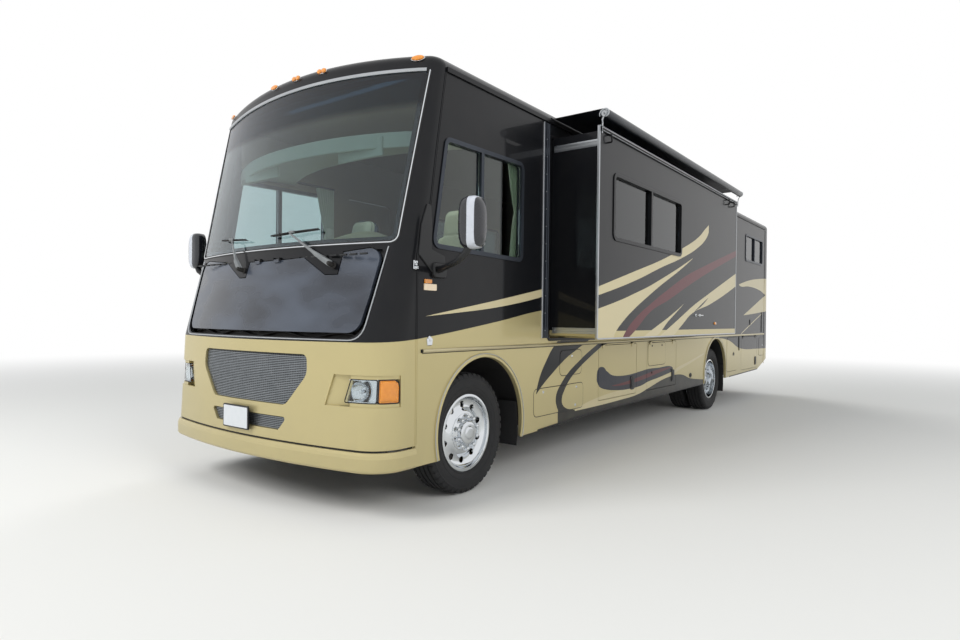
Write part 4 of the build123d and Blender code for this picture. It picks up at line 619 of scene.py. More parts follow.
def nose_moulding(name, path, width, proud, material, section=HALF_ROUND, closed=True, lift=0.0):
    """A moulding on the front face, its path given as x and z."""
    bm = moulding(bmesh.new(), *nose_line(path, lift), width, proud, section, closed)
    return add_piece(name, bm, material)


def side_moulding(bm, x, path, width, proud, section=HALF_ROUND, closed=True):
    """A moulding on a flat side, its path given as y and z."""
    out = Vector((1 if x > 0 else -1, 0, 0))
    return moulding(bm, [Vector((x, y, z)) for y, z in path], out, width, proud, section, closed)


def plate(bm, path, place, thickness, edge=0.002):
    """A flat plate with softened edges; place sets a flat point and a depth in space."""
    middle = sum(path, Vector((0, 0))) / len(path)
    return skin(bm, [[bm.verts.new(place(p + (middle - p).normalized() * inset, depth)) for p in path]
                     for depth, inset in ((0, 0), (thickness - edge, 0), (thickness, edge))])


def on_side(x):
    """Places a flat y and z, and a depth, on the face of one side."""
    def placed(point, depth):
        return Vector((x + (depth if x > 0 else -depth), point[0], point[1]))
    return placed


def side_pad(bm, x, low, high, radius, thickness, edge):
    """A soft-edged pad on a side's face, between two corners given as y and z."""
    return plate(bm, soft_box(low, high, radius), on_side(x), thickness, edge)


def box(bm, low, high, soft=0.0):
    """A block between two corners, its edges rounded."""
    made = bmesh.ops.create_cube(bm, size=1)["verts"]
    for vert in made:
        vert.co = Vector([(a + b) / 2 + c * (b - a) for a, b, c in zip(low, high, vert.co)])
    if soft:
        edges = list({edge for vert in made for edge in vert.link_edges})
        bmesh.ops.bevel(bm, geom=edges, offset=soft, segments=3, affect="EDGES", profile=0.5)
    return bm


def lathe(bm, section, count, centre, axis):
    """Turns a closed section about an axis: rows of distance along it and radius."""
    turn = Vector((1, 0, 0)).rotation_difference(Vector(axis)).to_matrix()
    angles = [2 * pi * step / count for step in range(count)]
    return skin(bm, [[bm.verts.new(Vector(centre) + turn @ Vector((out, r * sin(a), r * cos(a))))
                      for out, r in section] for a in angles], True)


def nose_patch(bm, corners, inset, thickness, steps):
    """A sheet that follows the nose between four corners, given as x and z."""
    low_in, low_out, top_out, top_in = (Vector(corner) for corner in corners)
    last_i, last_j = steps
    front, back = [[[bm.verts.new(nose_point(*low_in.lerp(low_out, i / last_i).lerp(
        top_in.lerp(top_out, i / last_i), j / last_j), -depth)[0]) for j in range(last_j + 1)]
        for i in range(last_i + 1)] for depth in (inset, inset + thickness)]
    stitch(bm, front, False)
    stitch(bm, back, False)
    rim = [(i, 0) for i in range(last_i)] + [(last_i, j) for j in range(last_j)]
    rim += [(i, last_j) for i in range(last_i, 0, -1)] + [(0, j) for j in range(last_j, 0, -1)]
    for (i, j), (k, m) in zip(rim, rim[1:] + rim[:1]):
        bm.faces.new((front[i][j], front[k][m], back[k][m], back[i][j]))
    return bm


def domed(bm, edge, place, rings):
    """Rings drawn in from a closed edge and raised by turns, closed at the middle."""
    edge = [Vector(point) for point in edge]
    middle = sum(edge, Vector((0, 0))) / len(edge)
    loops = [[bm.verts.new(place(middle.lerp(point, share), height)) for point in edge]
             for share, height in rings]
    stitch(bm, loops)
    top = bm.verts.new(place(middle, rings[-1][1]))
    for i in range(len(edge)):
        bm.faces.new((loops[-1][i], loops[-1][(i + 1) % len(edge)], top))
    bm.faces.new(reversed(loops[0]))
    return bm


# Geometry Nodes: copies turned about an axle or set in a row, and wires along edges

def start_tree(name, sockets):
    """A geometry tree with named inputs, and its group input's outputs."""
    tree = bpy.data.node_groups.new(name, "GeometryNodeTree")
    face = tree.interface
    face.new_socket("Geometry", in_out="INPUT", socket_type="NodeSocketGeometry")
    for label, kind in (*sockets, ("Finish", "Material")):
        face.new_socket(label, in_out="INPUT", socket_type="NodeSocket" + kind)
    face.new_socket("Geometry", in_out="OUTPUT", socket_type="NodeSocketGeometry")
    return tree, add_node(tree, "NodeGroupInput").outputs


def end_tree(tree, given, made):
    """Realizes what the tree made and gives it its finish."""
    real = add_node(tree, "GeometryNodeRealizeInstances", inputs={0: made})
    dressed = add_node(tree, "GeometryNodeSetMaterial", inputs={
        "Geometry": real, "Material": given["Finish"]})
    add_node(tree, "NodeGroupOutput", inputs={0: dressed})
    return tree


def turned_tree():
    """Copies of a mesh turned round the x axis at a centre."""
    tree, given = start_tree("turned_copies", (("Count", "Int"), ("Centre", "Vector")))
    points = add_node(tree, "GeometryNodeMeshLine", inputs={
        "Count": given["Count"], "Start Location": given["Centre"], "Offset": (0, 0, 0)})
    share = add_node(tree, "ShaderNodeMath", {"operation": "DIVIDE"}, {
        0: add_node(tree, "GeometryNodeInputIndex"), 1: given["Count"]})
    angle = add_node(tree, "ShaderNodeMath", {"operation": "MULTIPLY"}, {0: share, 1: 2 * pi})
    turn = add_node(tree, "ShaderNodeCombineXYZ", inputs={"X": angle})
    copies = add_node(tree, "GeometryNodeInstanceOnPoints", inputs={
        "Points": points, "Instance": given["Geometry"], "Rotation": turn})
    return end_tree(tree, given, copies)


def row_tree():
    """Copies of a mesh set in a row."""
    tree, given = start_tree("copies_in_a_row", (("Count", "Int"), ("Step", "Vector")))
    points = add_node(tree, "GeometryNodeMeshLine", inputs={
        "Count": given["Count"], "Start Location": (0, 0, 0), "Offset": given["Step"]})
    copies = add_node(tree, "GeometryNodeInstanceOnPoints", inputs={
        "Points": points, "Instance": given["Geometry"]})
    return end_tree(tree, given, copies)


def bars_tree():
    """A round bar or wire along every line of a mesh."""
    tree, given = start_tree("bars_along_lines", (("Radius", "Float"), ("Sides", "Int")))
    lines = add_node(tree, "GeometryNodeMeshToCurve", inputs={"Mesh": given["Geometry"]})
    ring = add_node(tree, "GeometryNodeCurvePrimitiveCircle", inputs={
        "Resolution": given["Sides"], "Radius": given["Radius"]})
    wires = add_node(tree, "GeometryNodeCurveToMesh", inputs={
        "Curve": lines, "Profile Curve": ring, "Fill Caps": True})
    return end_tree(tree, given, wires)


TURNED, IN_A_ROW, BARS = turned_tree(), row_tree(), bars_tree()


def by_nodes(name, bm, tree, values, material, body="coach", sharp=35):
    """Runs a tree on a mesh and keeps the plain result as a piece."""
    seed = bpy.data.meshes.new(name)
    bm.to_mesh(seed)
    bm.free()
    host = place_object(name, seed)
    modifier = host.modifiers.new("made", "NODES")
    modifier.node_group = tree
    values = {**values, "Finish": material}
    for item in tree.interface.items_tree:
        if item.in_out == "INPUT" and item.name in values:
            modifier[item.identifier] = values[item.name]
    graph = bpy.context.evaluated_depsgraph_get()
    plain = bpy.data.meshes.new_from_object(host.evaluated_get(graph))
    host.modifiers.clear()
    bpy.data.objects.remove(host)
    made = bmesh.new()
    made.from_mesh(plain)
    bpy.data.meshes.remove(plain)
    bmesh.ops.remove_doubles(made, verts=made.verts, dist=0.00005)
    return add_piece(name, made, material, body, sharp)


def bars(name, paths, radius, material, body="coach", sides=12):
    """Round bars along open paths of points."""
    bm = bmesh.new()
    for path in paths:
        row = [bm.verts.new(point) for point in path]
        for a, b in zip(row, row[1:]):
            bm.edges.new((a, b))
    return by_nodes(name, bm, BARS, {"Radius": radius, "Sides": sides}, material, body, 40)


# Wheels

# Tyre section from the bead to the middle of the tread: outwards, radius and, on the
# shoulder, how deep its notches are there
TyreRow = namedtuple("TyreRow", "out r notch")
TYRE_ROWS = [TyreRow(*row) for row in ((0.0967, 0.2863, 0), (0.0967, 0.301, 0), (0.106, 0.3035, 0),
    (0.111, 0.309, 0), (0.1125, 0.316, 0), (0.11, 0.319, 0), (0.115, 0.326, 0), (0.119, 0.34, 0),
    (0.1215, 0.356, 0), (0.1235, 0.357, 0), (0.1235, 0.36, 0), (0.1218, 0.3615, 0), (0.1222, 0.378, 0),
    (0.1215, 0.396, 0), (0.12, 0.414, 0), (0.119, 0.42, 0), (0.1204, 0.423, 0), (0.12, 0.429, 0),
    (0.117, 0.433, 0.006), (0.1135, 0.448, 0.01), (0.1075, 0.46, 0.012), (0.099, 0.4655, 0.011),
    (0.076, 0.4675, 0.004), (0.0745, 0.456, 0), (0.064, 0.456, 0), (0.0625, 0.4685, 0), (0.03, 0.4695, 0),
    (0.0285, 0.4575, 0), (0.0175, 0.4575, 0), (0.016, 0.47, 0), (0.0, 0.47, 0))]
TREAD_COPIES = 45


def tyre(name, x, y, body):
    """One pitch of the tyre, a block and the notch after it, turned round the axle."""
    rows = [*TYRE_ROWS, *(TyreRow(-row.out, row.r, row.notch) for row in reversed(TYRE_ROWS[:-1]))]
    bm, rings = bmesh.new(), []
    for share, cut in ((0, 0), (0.6, 0), (0.66, 1), (0.94, 1), (1, 0)):
        turn = 2 * pi / TREAD_COPIES * share
        rings.append([bm.verts.new((row.out, (row.r - cut * row.notch) * sin(turn),
                                    (row.r - cut * row.notch) * cos(turn))) for row in rows])
    stitch(bm, rings)
    return by_nodes(name, bm, TURNED, {"Count": TREAD_COPIES, "Centre": (x, y, AXLE_Z)},
                    RUBBER, body, 28)


# Rims with rolled lips, flange to disc and back: outwards and radius
RIM_FLANGE = ((-0.107, 0.272), (-0.107, 0.3), (-0.097, 0.3), (-0.097, 0.286), (0.097, 0.286),
    (0.097, 0.299), (0.1, 0.301), (0.105, 0.3), (0.107, 0.296), (0.107, 0.28), (0.104, 0.277))
FRONT_DISC = ((0.092, 0.2745), (0.075, 0.271), (0.063, 0.262), (0.053, 0.25), (0.048, 0.235),
    (0.0465, 0.218), (0.048, 0.203), (0.054, 0.19), (0.061, 0.179), (0.068, 0.17), (0.0735, 0.16),
    (0.075, 0.154), (0.075, 0.1), (0.062, 0.1), (0.06, 0.15), (0.052, 0.168), (0.033, 0.203),
    (0.036, 0.247), (0.05, 0.272))
REAR_DISC = ((0.0, 0.2725), (-0.05, 0.27), (-0.064, 0.258), (-0.078, 0.232), (-0.094, 0.21), (-0.112, 0.19),
    (-0.12, 0.176), (-0.124, 0.165), (-0.124, 0.104), (-0.136, 0.104), (-0.142, 0.168), (-0.126, 0.198),
    (-0.094, 0.24), (-0.066, 0.272))
# Chromed hub covers: outwards and radius
FRONT_HUB = ((0.062, 0), (0.062, 0.148), (0.078, 0.148), (0.081, 0.144), (0.081, 0.104), (0.086, 0.098),
    (0.116, 0.093), (0.124, 0.088), (0.128, 0.078), (0.128, 0.052), (0.134, 0.048), (0.1375, 0.042),
    (0.1385, 0.03), (0.1385, 0))
REAR_HUB = ((-0.136, 0), (-0.136, 0.15), (-0.122, 0.15), (-0.119, 0.146), (-0.119, 0.112), (-0.11, 0.106),
    (-0.03, 0.1), (-0.016, 0.094), (-0.006, 0.08), (-0.002, 0.05), (0.0, 0.03), (0.0, 0))
HAND_HOLES = 10
HAND_HOLE_CIRCLE = 0.218
HAND_HOLE_R = 0.026


def rim(name, disc, x, y, side, body):
    """A rim turned from its section, with its round hand holes cut through."""
    turned = lathe(bmesh.new(), RIM_FLANGE + disc, 80, (x, y, AXLE_Z), (side, 0, 0))
    blank = place_object("rim_blank", clean_mesh("rim_blank", turned))
    drills = bmesh.new()
    for number in range(HAND_HOLES):
        turn = 2 * pi * number / HAND_HOLES
        place = Matrix.Translation((x, y + HAND_HOLE_CIRCLE * sin(turn),
                                    AXLE_Z + HAND_HOLE_CIRCLE * cos(turn)))
        bmesh.ops.create_cone(drills, cap_ends=True, segments=24, radius1=HAND_HOLE_R,
                              radius2=HAND_HOLE_R, depth=0.5,
                              matrix=place @ Matrix.Rotation(pi / 2, 4, "Y"))
    drills = place_object("rim_drills", clean_mesh("rim_drills", drills))
    cut = blank.modifiers.new("holes", "BOOLEAN")
    cut.operation, cut.solver, cut.object = "DIFFERENCE", "EXACT", drills
    graph = bpy.context.evaluated_depsgraph_get()
    made = bmesh.new()
    made.from_mesh(blank.evaluated_get(graph).to_mesh())
    for done in (blank, drills):
        bpy.data.objects.remove(done)
    return add_piece(name, made, CHROME, body, 40)


# A nut cover, from its foot to its domed tip: outwards and radius
NUT_COVER = ((0, 0.0215), (0.004, 0.0215), (0.007, 0.0185), (0.034, 0.0165), (0.041, 0.0135),
    (0.046, 0.006))
NUT_CIRCLE = 0.124
NUT_COUNT = 10


def nut_covers(name, x, y, side, start, body):
    """Six-sided chrome covers on the wheel nuts, turned round the hub."""
    bm, rings = bmesh.new(), []
    for out, r in NUT_COVER:
        ring = []
        for corner in range(12):
            angle = 2 * pi * corner / 12
            flat = r * (1 - 0.08 * (corner % 2))
            ring.append(bm.verts.new((side * (start + out), flat * sin(angle),
                                      NUT_CIRCLE + flat * cos(angle))))
        rings.append(ring)
    skin(bm, rings)
    return by_nodes(name, bm, TURNED, {"Count": NUT_COUNT, "Centre": (x, y, AXLE_Z)},
                    CHROME, body, 50)


for side, hand in SIDES:
    body = f"wheel_front_{hand}"
    x = side * TYRE_X
    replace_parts(tyre(f"front_tyre_{hand}", x, FRONT_AXLE, body), f"tyre_front_{hand}")
    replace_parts(rim(f"front_rim_{hand}", FRONT_DISC, x, FRONT_AXLE, side, body),
                f"rim_front_{hand}")
    add_piece(f"front_hub_cover_{hand}", lathe(
        bmesh.new(), FRONT_HUB, 48, (x, FRONT_AXLE, AXLE_Z), (side, 0, 0)), CHROME, body, 40)
    nut_covers(f"front_nut_covers_{hand}", x, FRONT_AXLE, side, 0.081, body)
    body = f"wheels_rear_{hand}"
    inner_x = side * (TYRE_X - TWIN_PITCH)
    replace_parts(tyre(f"rear_outer_tyre_{hand}", x, REAR_AXLE, body), f"tyres_rear_{hand}")
    tyre(f"rear_inner_tyre_{hand}", inner_x, REAR_AXLE, body)
    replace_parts(rim(f"rear_outer_rim_{hand}", REAR_DISC, x, REAR_AXLE, side, body),
                f"rims_rear_{hand}")
    rim(f"rear_inner_rim_{hand}", REAR_DISC, inner_x, REAR_AXLE, -side, body)
    add_piece(f"rear_hub_cover_{hand}", lathe(
        bmesh.new(), REAR_HUB, 48, (x, REAR_AXLE, AXLE_Z), (side, 0, 0)), CHROME, body, 40)
    nut_covers(f"rear_nut_covers_{hand}", x, REAR_AXLE, side, -0.119, body)


# Front: mouldings round the windshield and the hood

def arch_points(half, end_z, middle_z, count):
    """Points of a flat arch from one side to the other."""
    return [(half * (1 - 2 * k / count), middle_z + (end_z - middle_z) * (1 - 2 * k / count) ** 2)
            for k in range(count + 1)]


SCREEN_FOOT, SCREEN_TOP, SCREEN_CROWN_Z = (1.205, 1.872), (1.245, 3.108), 3.155
screen_sides = rounded((SCREEN_TOP, SCREEN_FOOT, (-SCREEN_FOOT[0], SCREEN_FOOT[1]),
                        (-SCREEN_TOP[0], SCREEN_TOP[1])), 0.06, closed=False)
nose_moulding("windshield_seal", screen_sides, 0.026, 0.003, SEAL_RUBBER, closed=False)
nose_moulding("windshield_bright_bead", screen_sides, 0.011, 0.0065, CHROME, closed=False)
brow = arch_points(SCREEN_TOP[0] - 0.02, SCREEN_TOP[1] + 0.004, SCREEN_CROWN_Z + 0.004, 44)
nose_moulding("windshield_drip_moulding", brow, 0.026, 0.01, SATIN_ALUMINIUM, closed=False)

HOOD_LINE = ((1.152, 1.842), (1.124, 1.5), (1.094, 1.203), (-1.094, 1.203), (-1.124, 1.5), (-1.152, 1.842))
nose_moulding("hood_bright_line", rounded(HOOD_LINE, 0.12, closed=False), 0.01, 0.006,
              SATIN_ALUMINIUM, closed=False)

# Grille inserts: bright slats 12.5 mm apart over thin uprights, as wide as the opening there
GrilleInsert = namedtuple("GrilleInsert", "name foot_half foot_z knee_half knee_z top_z corner")
SLAT_PITCH = 0.0125
for insert in (GrilleInsert("grille", 0.45, 0.735, 0.647, 0.96, 1.096, 0.09),
               GrilleInsert("lower_grille", 0.39, 0.555, 0.474, 0.648, 0.648, 0.016)):
    slats, uprights = bmesh.new(), []
    for number in range(int((insert.top_z - insert.foot_z) / SLAT_PITCH)):
        z = insert.foot_z + (number + 0.5) * SLAT_PITCH
        share = min((z - insert.foot_z) / (insert.knee_z - insert.foot_z), 1)
        # the opening's rounded lower corners shorten the lowest slats
        lost = 0.3 * max(1 - (z - insert.foot_z) / insert.corner, 0) ** 2 * insert.corner
        half = insert.foot_half + (insert.knee_half - insert.foot_half) * share - lost - 0.004
        moulding(slats, *nose_line(spaced((half, z), (-half, z), 24), -0.019), 0.0072, 0.003,
                 FLAT_STRIP, False)
    add_piece(f"{insert.name}_slats", slats, GALVANISED)
    for number in range(-int(insert.knee_half / 0.024), int(insert.knee_half / 0.024) + 1):
        x = number * 0.024
        rise = max(abs(x) - insert.foot_half + 0.03, 0) / (insert.knee_half - insert.foot_half + 0.02)
        low = insert.foot_z + 0.006 + rise * (insert.knee_z - insert.foot_z)
        if low < insert.top_z - 0.02:
            uprights.append(nose_line(spaced((x, low), (x, insert.top_z - 0.004), 4), -0.0215)[0])
    bars(f"{insert.name}_uprights", uprights, 0.0014, GALVANISED, sides=4)

# Lamps: a clear lens over a chromed bowl, in a dark gasket
LENS_EDGE = ((0.973, 0.79), (1.209, 0.79), (1.209, 0.948), (1.02, 0.948))
LENS_INSET = 0.018
for side, hand in SIDES:
    edge = [(side * x, z) for x, z in LENS_EDGE]
    lens = add_piece(f"headlamp_lens_{hand}", nose_patch(
        bmesh.new(), edge, LENS_INSET, 0.003, (14, 8)), LENS)
    if side > 0:
        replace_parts(lens, "headlamps")
    bm = nose_patch(bmesh.new(), edge, 0.078, 0.003, (14, 8))
    bowl_at = nose_point(side * 1.085, 0.866, -0.072)[0]
    bowl = ((0.0, 0.026), (0.006, 0.04), (0.016, 0.054), (0.03, 0.064), (0.04, 0.07),
            (0.043, 0.07), (0.031, 0.067), (0.016, 0.058), (0.003, 0.044), (-0.004, 0.026))
    lathe(bm, bowl, 40, bowl_at, (side * 0.1, -1, 0))
    lathe(bm, ((0, 0), (0, 0.013), (0.02, 0.013), (0.03, 0.009), (0.034, 0)), 20, bowl_at,
          (side * 0.1, -1, 0))
    # the reflector's upper and lower shelves follow the lens
    for z in (0.797, 0.941):
        shelf = spaced((side, z), (side * 1.2, z), 8)
        skin(bm, [[bm.verts.new(p + Vector((0, 0, dz)))
                   for p, dz in ((near, -0.002), (far, -0.002), (far, 0.002), (near, 0.002))]
                  for near, far in zip(nose_line(shelf, -0.026)[0], nose_line(shelf, -0.078)[0])])
    add_piece(f"headlamp_reflector_{hand}", bm, CHROME, sharp=30)
    nose_moulding(f"headlamp_gasket_{hand}", rounded(edge, 0.012, 0.04), 0.007, 0.003, SEAL_RUBBER,
                  lift=-LENS_INSET)

# Number plate, blank, on its dark bracket
PLATE_LOW, PLATE_HIGH = (-0.218, 0.531), (0.088, 0.685)
PLATE_Y = nose_y(-0.235, 0.608) - 0.03
PLATE_FACE = PLATE_Y - 0.0115


def plate_outline(grow, radius):
    """The plate's outline, grown by a margin."""
    return soft_box([low - grow for low in PLATE_LOW], [high + grow for high in PLATE_HIGH], radius)


def facing(y):
    """Places a flat x and z, and a depth, on an upright plane that faces forward."""
    def placed(point, depth):
        return Vector((point[0], y - depth, point[1]))
    return placed


bm = plate(bmesh.new(), plate_outline(0.01, 0.014), facing(PLATE_Y), 0.012)
box(bm, (-0.12, PLATE_Y - 0.001, 0.575), (-0.01, PLATE_Y + 0.04, 0.64), 0.003)
add_piece("number_plate_frame", bm, ABS_BLACK)
bm = plate(bmesh.new(), plate_outline(0, 0.01), facing(PLATE_FACE), 0.002, 0.0006)
moulding(bm, [facing(PLATE_FACE)(p, 0.0018) for p in plate_outline(-0.004, 0.008)],
         Vector((0, -1, 0)), 0.003, 0.0012)
add_piece("number_plate_blank", bm, PLATE_WHITE)


# Nose: what shows behind its openings

# black core and baffle behind the grilles, and the dark bulkhead behind the hood
bm = bmesh.new()
CORE_Y = behind(-1058)
box(bm, (-0.69, CORE_Y, 0.51), (0.69, CORE_Y + 0.004, 1.165), 0.0015)
for row in range(44):
    z = 0.53 + row * 0.0145
    box(bm, (-0.66, CORE_Y - 0.006, z), (0.66, CORE_Y + 0.001, z + 0.006))
add_piece("radiator_core", bm, BLACK_ALUMINIUM)
bm = nose_patch(bmesh.new(), ((-1.15, 1.165), (1.15, 1.165), (1.185, 1.77), (-1.185, 1.77)),
                0.082, 0.003, (24, 10))
add_piece("engine_bulkhead", bm, BLACK_STEEL)

# What stands in front of the bulkhead, seen in the gap under the hood and when it is raised:
# centre x and z, half width and half height
BayPart = namedtuple("BayPart", "x z half_w half_h")
bm = bmesh.new()
for part in (BayPart(*row) for row in (
        (-0.62, 1.4, 0.16, 0.11), (0.1, 1.36, 0.22, 0.09), (0.7, 1.42, 0.13, 0.13),
        (-0.2, 1.56, 0.09, 0.06), (0.42, 1.58, 0.1, 0.05), (-0.9, 1.6, 0.08, 0.1))):
    low, high = (part.x - part.half_w, part.z - part.half_h), (part.x + part.half_w, part.z + part.half_h)
    nose_patch(bm, corners_of(low, high), 0.052, 0.029, (6, 4))
    for rib in range(1, int(part.half_w / 0.014)):
        x = low[0] + rib * 0.028
        nose_patch(bm, corners_of((x - 0.005, low[1] + 0.012), (x + 0.005, high[1] - 0.012)),
                   0.048, 0.006, (1, 3))
add_piece("engine_bay_boxes", bm, ABS_BLACK)
bm = bmesh.new()
for x, z, r in ((-0.36, 1.42, 0.036), (0.46, 1.38, 0.03), (0.95, 1.54, 0.034)):
    lathe(bm, ((0, 0), (0, r), (0.016, r), (0.019, r * 0.86), (0.026, r * 0.84),
               (0.028, r * 0.7), (0.028, 0)), 24, *nose_point(x, z, -0.08))
add_piece("engine_bay_caps", bm, POLYETHYLENE)
hoses = [nose_line([(-1.02 + 0.051 * k, z + sag * sin(k * 0.55)) for k in range(41)], -0.062)[0]
         for z, sag in ((1.245, 0.02), (1.29, 0.028), (1.66, 0.018))]
bars("engine_bay_hoses", hoses, 0.01, SEAL_RUBBER)

# a dark seal lies in the gap over the bumper
nose_moulding("bumper_seal", spaced((1.262, 0.4775), (-1.262, 0.4775), 60), 0.0125, 0.002,
              SEAL_RUBBER, FLAT_STRIP, False, -0.009)

# Windshield: black ceramic frit round the glass, on its inner face
nose_moulding("windshield_frit", rounded(
    ((1.178, 1.897), (1.22, 3.084), (-1.22, 3.084), (-1.178, 1.897)), 0.06), 0.04, 0.0006,
    CERAMIC_FRIT, FLAT_STRIP, True, -0.0165)


# Wipers: a spindle, a sprung arm in two parts and a blade on its carrier
Wiper = namedtuple("Wiper", "name pivot elbow ends")
WIPERS = (
    Wiper("right", (-0.27, 1.718), (-0.47, 1.96), ((-0.7, 1.985), (-0.28, 1.96))),
    Wiper("left", (0.735, 1.72), (0.3, 1.96), ((0.06, 1.965), (0.56, 1.985))))
BLADE_LIFT = 0.032
arm_bm, blade_bm, hub_bm = bmesh.new(), bmesh.new(), bmesh.new()
for wiper in WIPERS:
    pivot = nose_point(*wiper.pivot, 0.04)[0]
    elbow, elbow_out = nose_point(*wiper.elbow, 0.052)
    hinge = pivot.lerp(elbow, 0.3)
    hinge.y -= 0.012
    # arm head, then the flat arm, each tapering
    stages = ((pivot, 0.024, 0.016), (pivot.lerp(hinge, 0.5), 0.021, 0.018), (hinge, 0.017, 0.016),
              (hinge.lerp(elbow, 0.12), 0.012, 0.01), (hinge.lerp(elbow, 0.6), 0.008, 0.006),
              (elbow, 0.006, 0.005))
    across = (elbow - pivot).normalized().cross(elbow_out).normalized()
    skin(arm_bm, [[arm_bm.verts.new(place + across * half_w * a + elbow_out * half_t * b)
                   for a, b in ((-1, -0.6), (-0.8, 0.7), (0, 1), (0.8, 0.7), (1, -0.6), (0, -0.8))]
                  for place, half_w, half_t in stages])
    lathe(hub_bm, ((-0.055, 0), (-0.055, 0.024), (0.006, 0.024), (0.012, 0.018), (0.056, 0.016),
                   (0.064, 0.012), (0.066, 0)), 20, *nose_point(*wiper.pivot))
    # blade: carrier and rubber along the glass
    places, outs = nose_line(spaced(*wiper.ends, 16), BLADE_LIFT)
    rings = []
    for k, (place, out) in enumerate(zip(places, outs)):
        across = (places[-1] - places[0]).normalized().cross(out).normalized()
        tall = 0.005 + 0.009 * min(min(k, 16 - k) / 5, 1)
        rings.append([blade_bm.verts.new(place + across * a + out * b) for a, b in (
            (-0.006, 0), (-0.006, tall * 0.5), (-0.002, tall), (0.002, tall), (0.006, tall * 0.5),
            (0.006, 0), (0.002, -0.006), (0.0015, -0.024), (-0.0015, -0.024), (-0.002, -0.006))])
    skin(blade_bm, rings)
    middle, half = places[8] + outs[8] * 0.012, Vector((0.028, 0.012, 0.009))
    box(arm_bm, middle - half, middle + half, 0.004)
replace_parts(add_piece("wiper_arms", arm_bm, WIPER_ENAMEL), "wipers")
add_piece("wiper_blades", blade_bm, RUBBER)
add_piece("wiper_spindles", hub_bm, BLACK_STEEL)
# the linkage behind the hood's notches
links = [nose_line(path, -0.045)[0] for path in (
    ((-0.62, 1.7), (-0.27, 1.7), (0.1, 1.73), (0.735, 1.7), (0.92, 1.72)),
    ((-0.42, 1.76), (-0.3, 1.68), (-0.22, 1.75)), ((0.56, 1.78), (0.7, 1.69), (0.79, 1.77)))]
bars("wiper_linkage", links, 0.009, SATIN_ALUMINIUM)

# Mirrors: a rounded shell, the two glasses, the arm and the gusset on the pillar
MIRROR_X = (1.592, 1.778)
MIRROR_Z = (1.815, 2.162)
MIRROR_DEPTH = (behind(-664), behind(-562))


def mirror_ring(bm, side, inset, z_low, z_high, y, power=3.2):
    """A ring of points round the upright, squared-off head."""
    x, half_x = (MIRROR_X[0] + MIRROR_X[1]) / 2, (MIRROR_X[1] - MIRROR_X[0]) / 2 - inset
    return [bm.verts.new((side * (x + a), y, (z_low + z_high) / 2 + b))
            for a, b in oval(half_x, (z_high - z_low) / 2, power, 32)]


for side, hand in SIDES:
    shell, glass = bmesh.new(), bmesh.new()
    # y goes back from the convex face; how much the outline has drawn in there
    front, back = MIRROR_DEPTH
    skin(shell, [mirror_ring(shell, side, drawn, MIRROR_Z[0] + drawn * 1.1, MIRROR_Z[1] - drawn * 1.1,
                             front + share * (back - front))
                 for share, drawn in ((0.0, 0.048), (0.02, 0.034), (0.07, 0.02), (0.16, 0.009),
                                      (0.32, 0.002), (0.6, 0.0), (0.96, 0.001), (1.0, 0.004),
                                      (1.0, 0.01), (0.93, 0.012))])
    add_piece(f"mirror_shell_{hand}", shell, MIRROR_SHELL, sharp=50)
    for z_low, z_high in ((MIRROR_Z[0] + 0.018, 1.925), (1.935, MIRROR_Z[1] - 0.018)):
        skin(glass, [mirror_ring(glass, side, 0.016, z_low, z_high, back - depth, 6)
                     for depth in (0.006, 0.003)])
    add_piece(f"mirror_glass_{hand}", glass, MIRROR_SILVER)
    # arm from the head's foot down to the base
    arm, rings = bmesh.new(), []
    places = [Vector((side * x, behind(y), z)) for x, y, z in (
        (1.665, -612, 1.83), (1.64, -612, 1.79), (1.56, -600, 1.74), (1.43, -560, 1.712),
        (1.318, -500, 1.7))]
    sizes = ((0.03, 0.022), (0.03, 0.022), (0.027, 0.02), (0.025, 0.019), (0.03, 0.024))
    for place, size, before, after in zip(places, sizes, places[:1] + places, places[1:] + places[-1:]):
        across = (after - before).cross(Vector((0, 0, 1))).normalized()
        up = across.cross(after - before).normalized()
        rings.append([arm.verts.new(place + across * a + up * b) for a, b in oval(*size, count=14)])
    skin(arm, rings)
    plate(arm, rounded(((behind(-545), 1.642), (behind(-415), 1.642), (behind(-400), 1.75),
                        (behind(-560), 1.75)), 0.03), on_side(side * SIDE), 0.03, 0.008)
    piece = add_piece(f"mirror_arm_{hand}", arm, ABS_BLACK, sharp=45)
    if side > 0:
        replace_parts(piece, "mirrors")
    # gusset: a moulded black sail between the pillar, the window and the arm's base
    gusset = ((behind(-500), 1.64), (behind(-395), 1.655), (behind(-418), 1.8),
              (behind(-566), 1.835), (behind(-560), 1.99), (behind(-575), 2.15),
              (behind(-610), 2.15), (behind(-668), 2.0), (behind(-694), 1.795))
    gusset_bm = plate(bmesh.new(), rounded(gusset, 0.014, steps=4), on_side(side * (SIDE + 0.0005)),
                      0.012, 0.005)
    add_piece(f"mirror_gusset_{hand}", gusset_bm, ABS_BLACK)


# Sides: mouldings, hatches and latches

CAP_SEAM = ((behind(-700), 0.49), (behind(-700), 1.792), (behind(-568), 2.167), (behind(-509), 2.563),
    (behind(-417), 3.118))
DOOR_Y = (behind(905), behind(1600))
SLIDE_Y = (behind(1085), behind(5300))
Arch = namedtuple("Arch", "name y z r foot_front foot_back")
ARCHES = (Arch("front", behind(80), 0.509, 0.55, 0.342, 0.362),
          Arch("rear", behind(6130), 0.552, 0.54, 0.447, 0.455))


def arch_path(arch, grow):
    """Points over a wheel arch from its front foot to its rear one."""
    r = arch.r + grow
    start = pi - asin((arch.foot_front - arch.z) / r)
    end = asin((arch.foot_back - arch.z) / r)
    return [(arch.y + r * cos(start + (end - start) * k / 48),
             arch.z + r * sin(start + (end - start) * k / 48)) for k in range(49)]


